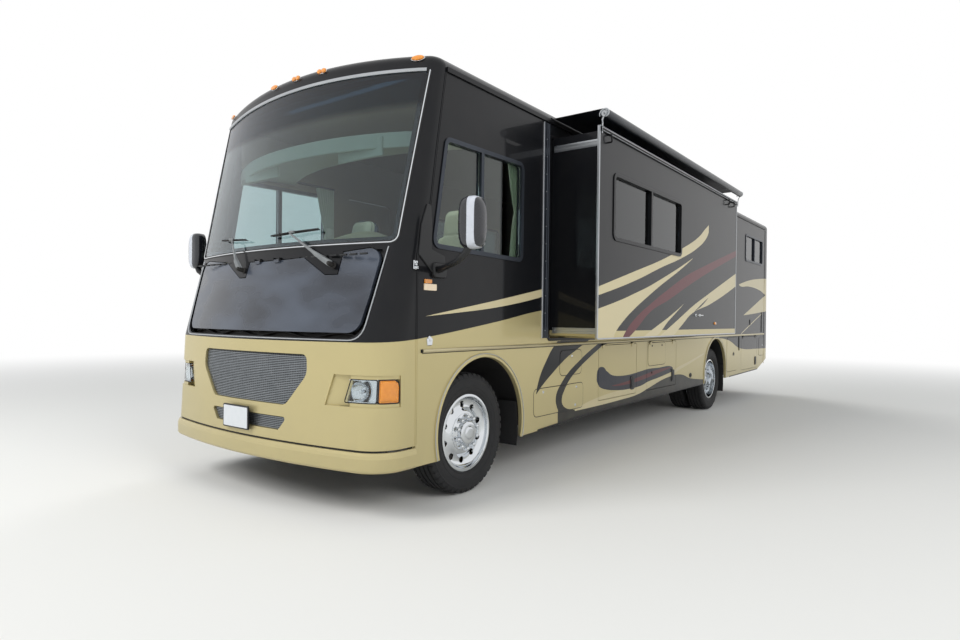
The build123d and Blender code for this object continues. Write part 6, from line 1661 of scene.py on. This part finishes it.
# Each pad's y, and the plane of its piping: y and z of a point on it, and the way across it
SEAT_PADS = (("cushion", cushion_pad, behind(205), behind(255), 1.575, (0, 0, 1)),
    ("back", back_pad, behind(460), behind(505), 1.85, (0, 1, -0.155)))
for side, hand in SIDES:
    x = side * SEAT_X
    for label, pad, y, seam_y, seam_z, way in SEAT_PADS:
        copied = pad.copy()
        for vert in copied.verts:
            vert.co += Vector((x, y, 0))
        by_nodes(f"seat_{label}_piping_{hand}", seam_of(copied, (x, seam_y, seam_z), way), BARS,
                 {"Radius": 0.0045, "Sides": 8}, SEAT_PIPING, sharp=60)
        made = add_piece(f"seat_{label}_{hand}", copied, SEAT_VINYL, sharp=180)
        if side > 0 and label == "cushion":
            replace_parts(made, "seats")
    pedestal = pad_rings(bmesh.new(), [((x, behind(y), z), a, b) for y, z, a, b in (
        (190, 1.251, 0.2, 0.215), (190, 1.29, 0.196, 0.208), (190, 1.33, 0.15, 0.16),
        (190, 1.44, 0.14, 0.15), (195, 1.47, 0.215, 0.215), (200, 1.508, 0.232, 0.23))], 6.0)
    add_piece(f"seat_pedestal_{hand}", pedestal, ABS_BLACK)
    for way in (-1, 1):
        place = f"{hand}_{'outer' if way == side else 'inner'}"
        arm = pad_rings(bmesh.new(), [((x + way * 0.296, behind(245), z), half_x, half_y)
                                      for z, half_x, half_y in ARM_ROWS], 3.0)
        add_piece(f"seat_armrest_{place}", arm, SEAT_VINYL, sharp=60)
        bracket_x = x + way * 0.29
        lever = box(bmesh.new(), (bracket_x - 0.012, behind(392), 1.8),
                    (bracket_x + 0.012, behind(452), 1.852), 0.008)
        add_piece(f"seat_armrest_bracket_{place}", lever, ABS_BLACK)
cushion_pad.free()
back_pad.free()

# Curtains, gathered on a track and tied back
CURTAIN_X = 1.2215
CURTAIN_Z = (1.802, 2.738)
CURTAIN_FOLDS = 7
CURTAIN_CLOTH = 0.56
TIE_Z = 2.265


def curtain_width(z):
    """Full at the head, drawn in at the tie, and spread again at the foot."""
    if z > TIE_Z:
        share = (z - TIE_Z) / (CURTAIN_Z[1] - TIE_Z)
        return 0.098 + 0.132 * share ** 0.75
    share = (TIE_Z - z) / (TIE_Z - CURTAIN_Z[0])
    return 0.098 + 0.09 * share ** 0.6


def fold_depth(width):
    """How deep the folds are where the cloth is drawn to a width, its length kept."""
    low, high = 0.0, 0.06
    for _ in range(24):
        depth = (low + high) / 2
        length, last = 0.0, None
        for k in range(61):
            spot = (width / CURTAIN_FOLDS * k / 60, depth / 2 * sin(2 * pi * k / 60))
            if last:
                length += sqrt((spot[0] - last[0]) ** 2 + (spot[1] - last[1]) ** 2)
            last = spot
        low, high = (depth, high) if length * CURTAIN_FOLDS < CURTAIN_CLOTH else (low, depth)
    return depth


for side, hand in SIDES:
    bm, rows, steps = bmesh.new(), [], CURTAIN_FOLDS * 14
    for j in range(53):
        z = CURTAIN_Z[0] + (CURTAIN_Z[1] - CURTAIN_Z[0]) * j / 52
        width = curtain_width(z)
        depth, row = fold_depth(width), []
        for k in range(steps + 1):
            share = k / steps
            # folds wander a little from top to bottom, and lean as they near the tie
            turn = 2 * pi * CURTAIN_FOLDS * share + 0.5 * sin(3.1 * z + 4 * share)
            out = depth / 2 * sin(turn) * (0.92 + 0.08 * sin(7 * share + 2 * z))
            row.append(bm.verts.new((side * (CURTAIN_X + out), behind(698) - width * (1 - share), z)))
        rows.append(row)
    stitch(bm, rows, False)
    curtain = add_piece(f"curtain_{hand}", bm, CURTAIN_CLOTH_FINISH, sharp=180)
    tie = bmesh.new()
    skin(tie, [[tie.verts.new((side * (CURTAIN_X + a * grow), behind(649) + b, z))
                for a, b in oval(0.0222, 0.053, count=32)]
               for z, grow in ((2.208, 0.96), (2.214, 1.0), (2.312, 1.0), (2.318, 0.96))])
    band = add_piece(f"curtain_tie_{hand}", tie, CURTAIN_CLOTH_FINISH, sharp=60)
    if side > 0:
        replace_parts(curtain, "curtains")
track = bmesh.new()
for side in (1, -1):
    box(track, (side * CURTAIN_X - 0.012, behind(-430), CURTAIN_Z[1]),
        (side * CURTAIN_X + 0.012, behind(705), 2.76), 0.003)
add_piece("curtain_track", track, POST_ALUMINIUM)


# Roof units: middle y, half width and half length; their walls lean in by 8 degrees
ROOF_FOOT = 3.2963
LEAN = 0.1405
COOLERS = ((behind(2600), 0.35, 0.48), (behind(7000), 0.35, 0.48))
VENTS = ((behind(4700), 0.2, 0.2), (behind(8400), 0.2, 0.2))


def level_ring(bm, y, half_x, half_y, rise, width, proud):
    """A moulding level round a roof unit, at a height over its foot."""
    half_x, half_y = half_x - LEAN * rise, half_y - LEAN * rise
    path = soft_box((-half_x, y - half_y), (half_x, y + half_y), 0.06, 0.2)
    count = len(path)
    outs = [Vector((path[(i + 1) % count][1] - path[i - 1][1],
                    path[i - 1][0] - path[(i + 1) % count][0], 0)).normalized() for i in range(count)]
    return moulding(bm, [Vector((p[0], p[1], ROOF_FOOT + rise)) for p in path], outs, width, proud,
                    FLAT_STRIP)


def on_cooler(side, y, half_x):
    """Places a length along a cooler, a rise and a depth on its leaning wall."""
    def placed(point, depth):
        return Vector((side * (half_x - LEAN * point[1] + depth), y + point[0], ROOF_FOOT + point[1]))
    return placed


foams, seams, recesses, feet = bmesh.new(), bmesh.new(), bmesh.new(), bmesh.new()
for number, (y, half_x, half_y) in enumerate(COOLERS, 1):
    level_ring(foams, y, half_x, half_y, 0.007, 0.014, 0.004)
    level_ring(seams, y, half_x, half_y, 0.052, 0.01, 0.003)
    level_ring(seams, y, half_x, half_y, 0.236, 0.008, 0.003)
    for side, hand in SIDES:
        plate(recesses, soft_box((-0.335, 0.072), (0.335, 0.215), 0.02), on_cooler(side, y, half_x),
              0.0022, 0.0008)
        # the slats step up with the leaning wall
        x = side * (half_x - LEAN * 0.085 + 0.002)
        row = box(bmesh.new(), (x - 0.005, y - 0.315, ROOF_FOOT + 0.081),
                  (x + 0.005, y + 0.315, ROOF_FOOT + 0.091), 0.003)
        by_nodes(f"cooler_{number}_louvres_{hand}", row, IN_A_ROW,
                 {"Count": 7, "Step": (-side * LEAN * 0.0185, 0, 0.0185)}, GELCOAT)
for y, half_x, half_y in VENTS:
    level_ring(foams, y, half_x, half_y, 0.006, 0.012, 0.012)
    level_ring(seams, y, half_x, half_y, 0.074, 0.03, 0.009)
    for x in (-0.12, 0.12):
        box(feet, (x - 0.022, y + half_y - 0.014, ROOF_FOOT + 0.05),
            (x + 0.022, y + half_y + 0.01, ROOF_FOOT + 0.098), 0.004)
add_piece("roof_unit_gaskets", foams, SEAL_RUBBER)
add_piece("roof_unit_lips", seams, GELCOAT)
add_piece("cooler_grille_recesses", recesses, ABS_BLACK)
add_piece("roof_vent_hinges", feet, SATIN_ALUMINIUM)


# Tail

def on_tail(point, depth):
    """A point on the tail or proud of it: the tail leans in and bows a little."""
    x, z = point[0], point[1]
    return Vector((x, behind(9592) - 0.0211 * (z - 0.25) - (14.0 - sqrt(196.0 - x * x)) + depth, z))


def tail_ring(bm, low, high, radius, width, proud, lift=0.0):
    """A moulding round a rectangle on the tail."""
    return moulding(bm, [on_tail(p, lift) for p in soft_box(low, high, radius, 0.1)], Vector((0, 1, 0)),
                    width, proud)


def tail_pad(bm, low, high, radius, thickness, edge, lift=0.0):
    """A soft-edged pad on the tail, between two corners given as x and z."""
    def placed(point, depth):
        return on_tail(point, lift + depth)
    return plate(bm, soft_box(low, high, radius), placed, thickness, edge)


# Tail lamps: bezel, dark dividers, and lenses for turning and reversing over the red body
bezels, dividers, turns, reverses = bmesh.new(), bmesh.new(), bmesh.new(), bmesh.new()
for side in (1, -1):
    x0, x1 = sorted((side * 0.996, side * 1.146))
    tail_ring(bezels, (x0 - 0.006, 0.813), (x1 + 0.006, 1.127), 0.014, 0.018, 0.017)
    for z in (0.905, 1.005):
        box(dividers, (x0 + 0.004, on_tail((x0, z), 0.004).y, z - 0.003),
            (x1 - 0.002, on_tail((x0, z), 0.0165).y, z + 0.003), 0.001)
    tail_pad(reverses, (x0 + 0.012, 0.832), (x1 - 0.008, 0.9), 0.008, 0.003, 0.002, 0.013)
    tail_pad(turns, (x0 + 0.012, 0.911), (x1 - 0.008, 0.999), 0.008, 0.003, 0.002, 0.013)
for x in (-1.1, -0.15, 0, 0.15, 1.1):
    tail_ring(bezels, (x - 0.053, 3.127), (x + 0.053, 3.165), 0.01, 0.007, 0.014)
add_piece("tail_lamp_bezels", bezels, CHROME)
add_piece("tail_lamp_dividers", dividers, ABS_BLACK)
add_piece("tail_lamp_turn_lenses", turns, AMBER)
add_piece("tail_lamp_reverse_lenses", reverses, MARKER_CREAM)

# Rear plate, blank, hung on the tail's two holes, with its lamp over it
add_piece("rear_plate_frame", tail_pad(
    bmesh.new(), (-0.163, 0.853), (0.163, 1.027), 0.014, 0.009, 0.003), ABS_BLACK)
bm = tail_pad(bmesh.new(), (-0.152, 0.864), (0.152, 1.016), 0.01, 0.002, 0.0006, 0.008)
tail_ring(bm, (-0.148, 0.868), (0.148, 1.012), 0.008, 0.003, 0.0012, 0.0098)
add_piece("rear_plate_blank", bm, PLATE_WHITE)
add_piece("rear_plate_lamp", tail_pad(
    bmesh.new(), (-0.045, 1.04), (0.045, 1.066), 0.008, 0.02, 0.006), CHROME)
screws = bmesh.new()
for x in (-0.0889, 0.0889):
    lathe(screws, ((0, 0.0002), (0, 0.007), (0.0016, 0.0068), (0.0035, 0.004), (0.004, 0.0002)), 12,
          on_tail((x, 1.0), 0.0098), (0, 1, 0))
add_piece("rear_plate_screws", screws, CHROME)

# Ladder: rubber grips on the rungs, rail caps, and the feet bolted to the tail
LADDER_RAILS = (-0.94, -0.58)
LADDER_PLACE = behind(9650)
caps, feet, bolts = bmesh.new(), bmesh.new(), bmesh.new()
bars("ladder_rung_grips", [[(x, LADDER_PLACE, 1.03 + 0.29 * k) for x in (-0.915, -0.76, -0.605)]
                           for k in range(8)], 0.0135, RUBBER, sides=14)
for x in LADDER_RAILS:
    for z, way in ((0.95, -1), (3.23, 1)):
        lathe(caps, ((-0.012, 0.0002), (-0.012, 0.0155), (0.002, 0.0155), (0.006, 0.01),
                     (0.007, 0.0002)), 20, (x, LADDER_PLACE, z), (0, 0, way))
    for z in (1.0, 2.0, 3.1):
        tail_pad(feet, (x - 0.03, z - 0.048), (x + 0.03, z + 0.048), 0.014, 0.006, 0.002)
        for lift in (-0.034, 0.034):
            lathe(bolts, ((0, 0.0002), (0, 0.008), (0.005, 0.008), (0.0065, 0.005), (0.0065, 0.0002)), 6,
                  on_tail((x, z + lift), 0.0055), (0, 1, 0))
add_piece("ladder_rail_caps", caps, ABS_BLACK)
add_piece("ladder_feet", feet, SATIN_ALUMINIUM)
add_piece("ladder_foot_bolts", bolts, CHROME)

# Seam of the rear cap, and the reversing camera's hood
seam = bmesh.new()
for side in (1, -1):
    side_moulding(seam, side * SIDE, spaced((behind(9200), 0.565), (behind(9200), 3.11), 30), 0.022,
                  0.0045, GROOVED, False)
add_piece("tail_seam_moulding", seam, PAINT)
add_piece("tail_camera_housing", tail_pad(
    bmesh.new(), (-0.06, 3.02), (0.06, 3.085), 0.014, 0.045, 0.012), ABS_BLACK)
bm = lathe(bmesh.new(), ((0, 0.0002), (0, 0.017), (0.004, 0.016), (0.006, 0.011), (0.004, 0.0002)), 20,
           on_tail((0, 3.052), 0.043), (0, 1, 0))
add_piece("tail_camera_lens", bm, LENS)

# Entry door: seal, window gasket, latch over its block, locks and the grab rail
seal = soft_box((DOOR_Y[0] - 0.005, 0.555), (DOOR_Y[1] + 0.005, 2.695), 0.075, 0.2)
add_piece("entry_door_seal", side_moulding(bmesh.new(), -SIDE, seal, 0.014, 0.005), SEAL_RUBBER)
gasket = soft_box((behind(1062), 1.887), (behind(1443), 2.493), 0.06, 0.2)
add_piece("entry_door_window_gasket", side_moulding(bmesh.new(), -SIDE, gasket, 0.026, 0.008),
          BLACK_ALUMINIUM, "entry_door")
dish, grip = bmesh.new(), bmesh.new()
side_pad(dish, -SIDE, (behind(1461), 1.452), (behind(1559), 1.728), 0.026, 0.007, 0.003)
side_pad(grip, -SIDE - 0.018, (behind(1483), 1.478), (behind(1537), 1.702), 0.016, 0.008, 0.004)
side_pad(grip, -SIDE - 0.025, (behind(1494), 1.52), (behind(1526), 1.64), 0.01, 0.006, 0.003)
add_piece("entry_door_latch_dish", dish, ABS_BLACK, "entry_door")
add_piece("entry_door_latch_paddle", grip, BLACK_STEEL, "entry_door")
locks = bmesh.new()
for z in (1.43, 1.775):
    cam_lock(locks, -1, behind(1510), z, 0.016)
add_piece("entry_door_locks", locks, CHROME, "entry_door", 30)
GRAB_Y, GRAB_Z, reach = behind(1655), (1.23, 1.98), -SIDE - 0.055
rail = ((-SIDE, GRAB_Y, GRAB_Z[0]), (reach, GRAB_Y, GRAB_Z[0]), (reach, GRAB_Y, GRAB_Z[1]),
        (-SIDE, GRAB_Y, GRAB_Z[1]))
bars("entry_grab_rail", [rounded(rail, 0.03, closed=False)], 0.013, CHROME, sides=16)
feet = bmesh.new()
for z in GRAB_Z:
    lathe(feet, ((0, 0.0002), (0, 0.03), (0.005, 0.029), (0.008, 0.016), (0.008, 0.0002)), 20,
          (-SIDE, GRAB_Y, z), (-1, 0, 0))
add_piece("entry_grab_rail_feet", feet, CHROME)

# Patio awning: ribs along its case, end covers, arm channels, knobs and feet
ribs, lines, covers, knobs = bmesh.new(), bmesh.new(), bmesh.new(), bmesh.new()
CASE = Vector((-1.364, 0, 3.045))
CASE_Y = (behind(1752), behind(6348))
for turned in (150, 195, 255):
    out = Vector((cos(radians(turned)), 0, sin(radians(turned))))
    start, end = (CASE + out * 0.0598 + Vector((0, y, 0)) for y in CASE_Y)
    moulding(lines if turned == 195 else ribs, spaced(start, end, 20), out, 0.014, 0.004, closed=False)
for y0, y1 in ((behind(1700), behind(1750)), (behind(6350), behind(6400))):
    middle = (y0 + y1) / 2
    side_pad(covers, -1.409, (y0 + 0.004, 2.992), (y1 - 0.004, 3.094), 0.012, 0.006, 0.003)
    side_moulding(lines, -1.3215, spaced((middle, 1.8), (middle, 2.96), 12), 0.01, 0.003,
                  closed=False)
    box(covers, (-1.334, y0 - 0.004, 1.735), (-1.2895, y1 + 0.004, 1.815), 0.005)
    box(covers, (-1.33, y0 - 0.001, 2.42), (-1.2895, y1 + 0.001, 2.47), 0.004)
    lathe(knobs, ((0, 0.0002), (0, 0.017), (0.008, 0.017), (0.012, 0.012), (0.02, 0.012),
                  (0.022, 0.0002)), 18, (-1.3295, middle, 2.445), (-1, 0, 0))
add_piece("patio_awning_case_ribs", ribs, BLACK_ALUMINIUM)
add_piece("patio_awning_bright_lines", lines, SATIN_ALUMINIUM)
add_piece("patio_awning_covers", covers, ABS_BLACK)
add_piece("patio_awning_knobs", knobs, BLACK_STEEL)


# Crown of the dashboard: a padded cowl that rises behind the glass towards the driver's side
cowl, rings = bmesh.new(), []
for step in range(41):
    x = 1.08 - 2.16 * step / 40
    ends = 1 - (abs(x) / 1.088) ** 10
    crest = 1.802 + ends * (0.03 + 0.17 * min(max((x - 0.2) / 0.7, 0), 1) ** 0.8)
    front = nose_y(x, 1.9) + 0.05
    rings.append([cowl.verts.new((x, front + back, 1.792 + (crest - 1.792) * share))
                  for back, share in ((0, 0), (0.004, 0.45), (0.022, 0.8), (0.06, 0.97), (0.12, 1.0),
                                      (0.21, 0.93), (0.29, 0.7), (0.33, 0.35), (0.338, 0))])
skin(cowl, rings)
add_piece("dashboard_cowl", cowl, DASH_VINYL, sharp=60)


# Entry steps in the well behind the door, with ribbed nosings
WELL_BACK = -0.535
treads, nosings = bmesh.new(), bmesh.new()
for x0, z0, z1 in ((-1.0, 0.562, 0.79), (-0.8, 0.786, 1.01)):
    box(treads, (x0, DOOR_Y[0] + 0.004, z0), (WELL_BACK - 0.001, DOOR_Y[1] - 0.004, z1), 0.004)
    box(nosings, (x0 - 0.008, DOOR_Y[0] + 0.006, z1 - 0.026), (x0 + 0.04, DOOR_Y[1] - 0.006, z1 + 0.004),
        0.004)
    for k in range(3):
        box(nosings, (x0 + 0.002 + 0.012 * k, DOOR_Y[0] + 0.01, z1 + 0.003),
            (x0 + 0.007 + 0.012 * k, DOOR_Y[1] - 0.01, z1 + 0.007))
add_piece("entry_steps", treads, STEP_VINYL)
add_piece("entry_step_nosings", nosings, BLACK_ALUMINIUM)


# dark corner plates under the windshield's foot, behind the hood's upper corners
corners_bm = bmesh.new()
for side in (1, -1):
    nose_patch(corners_bm, [(side * x, z) for x, z in (
        (1.01, 1.77), (1.148, 1.77), (1.146, 1.852), (1.01, 1.866))], 0.032, 0.004, (4, 3))
add_piece("hood_corner_plates", corners_bm, ABS_BLACK)


# Finishes of the CAD nodes
CAD_FINISH = {
    PAINT: ("front_cap", "wall_left", "wall_right", "rear_cap", "skirt_left", "skirt_right",
            "entry_door", "front_bumper",
            *(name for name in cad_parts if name.startswith("bay_door"))),
    SLIDE_PAINT: ("slide_fascia",), DARK_PAINT: ("slide_shell",), HOOD_PAINT: ("hood",),
    SCREEN_GLASS: ("windshield",), CABIN_GLASS: ("window_glass", "slide_window_glass",
                                                 "entry_door_glass"),
    LENS: ("headlamps",), AMBER: ("amber_lamps",), RED: ("tail_lamps",), ROOF_COAT: ("roof",),
    POST_ALUMINIUM: ("window_frames",),
    BLACK_ALUMINIUM: ("side_trim", "slide_window_frame", "topper_roller",
                      "patio_awning", "wipers", "grilles"),
    BLACK_STEEL: ("chassis_frame", "front_axle", "exhaust"),
    CAST_IRON: ("engine", "rear_axle", "knuckle_left", "knuckle_right"),
    CHROME: ("rim_front_left", "rim_front_right", "rims_rear_left", "rims_rear_right"),
    RUBBER: ("tyre_front_left", "tyre_front_right", "tyres_rear_left", "tyres_rear_right"),
    GELCOAT: ("roof_units",), POLYETHYLENE: ("tanks", "storage_bays"),
    DASH_VINYL: ("dashboard", "seats", "curtains"), OAK: ("coach_floor",),
    ABS_BLACK: ("mirrors", "steering_wheel"), SATIN_ALUMINIUM: ("ladder",),
    SEAL_RUBBER: ("topper_fabric",),
}
for material, names in CAD_FINISH.items():
    for name in names:
        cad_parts[name].data.materials.clear()
        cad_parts[name].data.materials.append(material)


# Stage, light and camera

def seen_white(tree):
    """1 for what the camera sees straight, in gloss or through glass, and 0 for other light."""
    path = add_node(tree, "ShaderNodeLightPath").outputs
    seen = add_node(tree, "ShaderNodeMath", {"operation": "ADD", "use_clamp": True}, {
        0: path["Is Camera Ray"], 1: path["Is Glossy Ray"]})
    return add_node(tree, "ShaderNodeMath", {"operation": "ADD", "use_clamp": True}, {
        0: seen, 1: path["Is Transmission Ray"]})


def pale_floor():
    """A pale floor that keeps the shadow and fades to white behind."""
    mesh = bpy.data.meshes.new("floor")
    reach = 60
    mesh.from_pydata([(-reach, -reach, 0), (reach, -reach, 0), (reach, reach, 0), (-reach, reach, 0)],
                     [], [(0, 1, 2, 3)])
    floor = place_object("floor", mesh)
    floor.location.z = -0.002
    material, tree, place = start_material("floor_pale_paint")
    far = add_node(tree, "ShaderNodeVectorMath", {"operation": "LENGTH"}, {0: place})
    fade = add_node(tree, "ShaderNodeMapRange", {"interpolation_type": "SMOOTHSTEP"}, {
        "Value": far.outputs["Value"], "From Min": 7.0, "From Max": 20.0})
    both = add_node(tree, "ShaderNodeMath", {"operation": "MULTIPLY"}, {0: fade, 1: seen_white(tree)})
    paint = add_node(tree, "ShaderNodeBsdfPrincipled", inputs={
        "Roughness": 0.9, "Base Color": linear("#e4e3df")})
    white = add_node(tree, "ShaderNodeEmission", inputs={"Strength": 1.0, "Color": (1, 1, 1, 1)})
    mixed = add_node(tree, "ShaderNodeMixShader", inputs={"Fac": both, 1: paint, 2: white})
    add_node(tree, "ShaderNodeOutputMaterial", inputs={"Surface": mixed})
    mesh.materials.append(material)


def soft_world():
    """Even studio light, seen as white by the camera and in gloss."""
    world = bpy.data.worlds.new("studio")
    world.use_nodes = True
    tree = world.node_tree
    tree.nodes.clear()
    dim = add_node(tree, "ShaderNodeBackground", inputs={"Color": linear("#eef3f8"), "Strength": 0.55})
    white = add_node(tree, "ShaderNodeBackground", inputs={"Color": (1, 1, 1, 1), "Strength": 1.0})
    mixed = add_node(tree, "ShaderNodeMixShader", inputs={"Fac": seen_white(tree), 1: dim, 2: white})
    add_node(tree, "ShaderNodeOutputWorld", inputs={"Surface": mixed})
    bpy.context.scene.world = world


def area_light(name, place, target, size, power):
    """A square soft light in watts, turned to its target and itself unseen."""
    light = bpy.data.lights.new(name, "AREA")
    light.shape, light.size, light.size_y, light.energy = "RECTANGLE", size, size, power
    lamp = place_object(name, light)
    lamp.location = place
    lamp.rotation_euler = (Vector(target) - Vector(place)).to_track_quat("-Z", "Y").to_euler()
    lamp.visible_camera = lamp.visible_glossy = lamp.visible_transmission = False


def photo_camera():
    """The photograph's viewpoint: a wide lens at the front corner, at eye height."""
    data = bpy.data.cameras.new("photo_camera")
    data.lens, data.sensor_width = 23.79, 36
    data.shift_x, data.shift_y = 0.009, 0.0052
    camera = place_object("photo_camera", data)
    camera.location = (4.209, -8.107, 1.356)
    camera.rotation_euler = (radians(89.454), radians(-0.628), radians(37.289))
    bpy.context.scene.camera = camera


pale_floor()
soft_world()
area_light("key", (-3.0, -14.0, 9.0), (0, -4, 1.2), 6, 1150)
area_light("side_fill", (12.0, -6.0, 7.0), (1, -1, 1.2), 6, 700)
area_light("rear_fill", (-8.0, 12.0, 8.0), (0, 3, 1.5), 6, 900)
area_light("cab_fill", (0.2, -4.1, 3.02), (0.2, -4.6, 1.4), 1.4, 14)
photo_camera()
bpy.context.scene.view_settings.view_transform = "Standard"
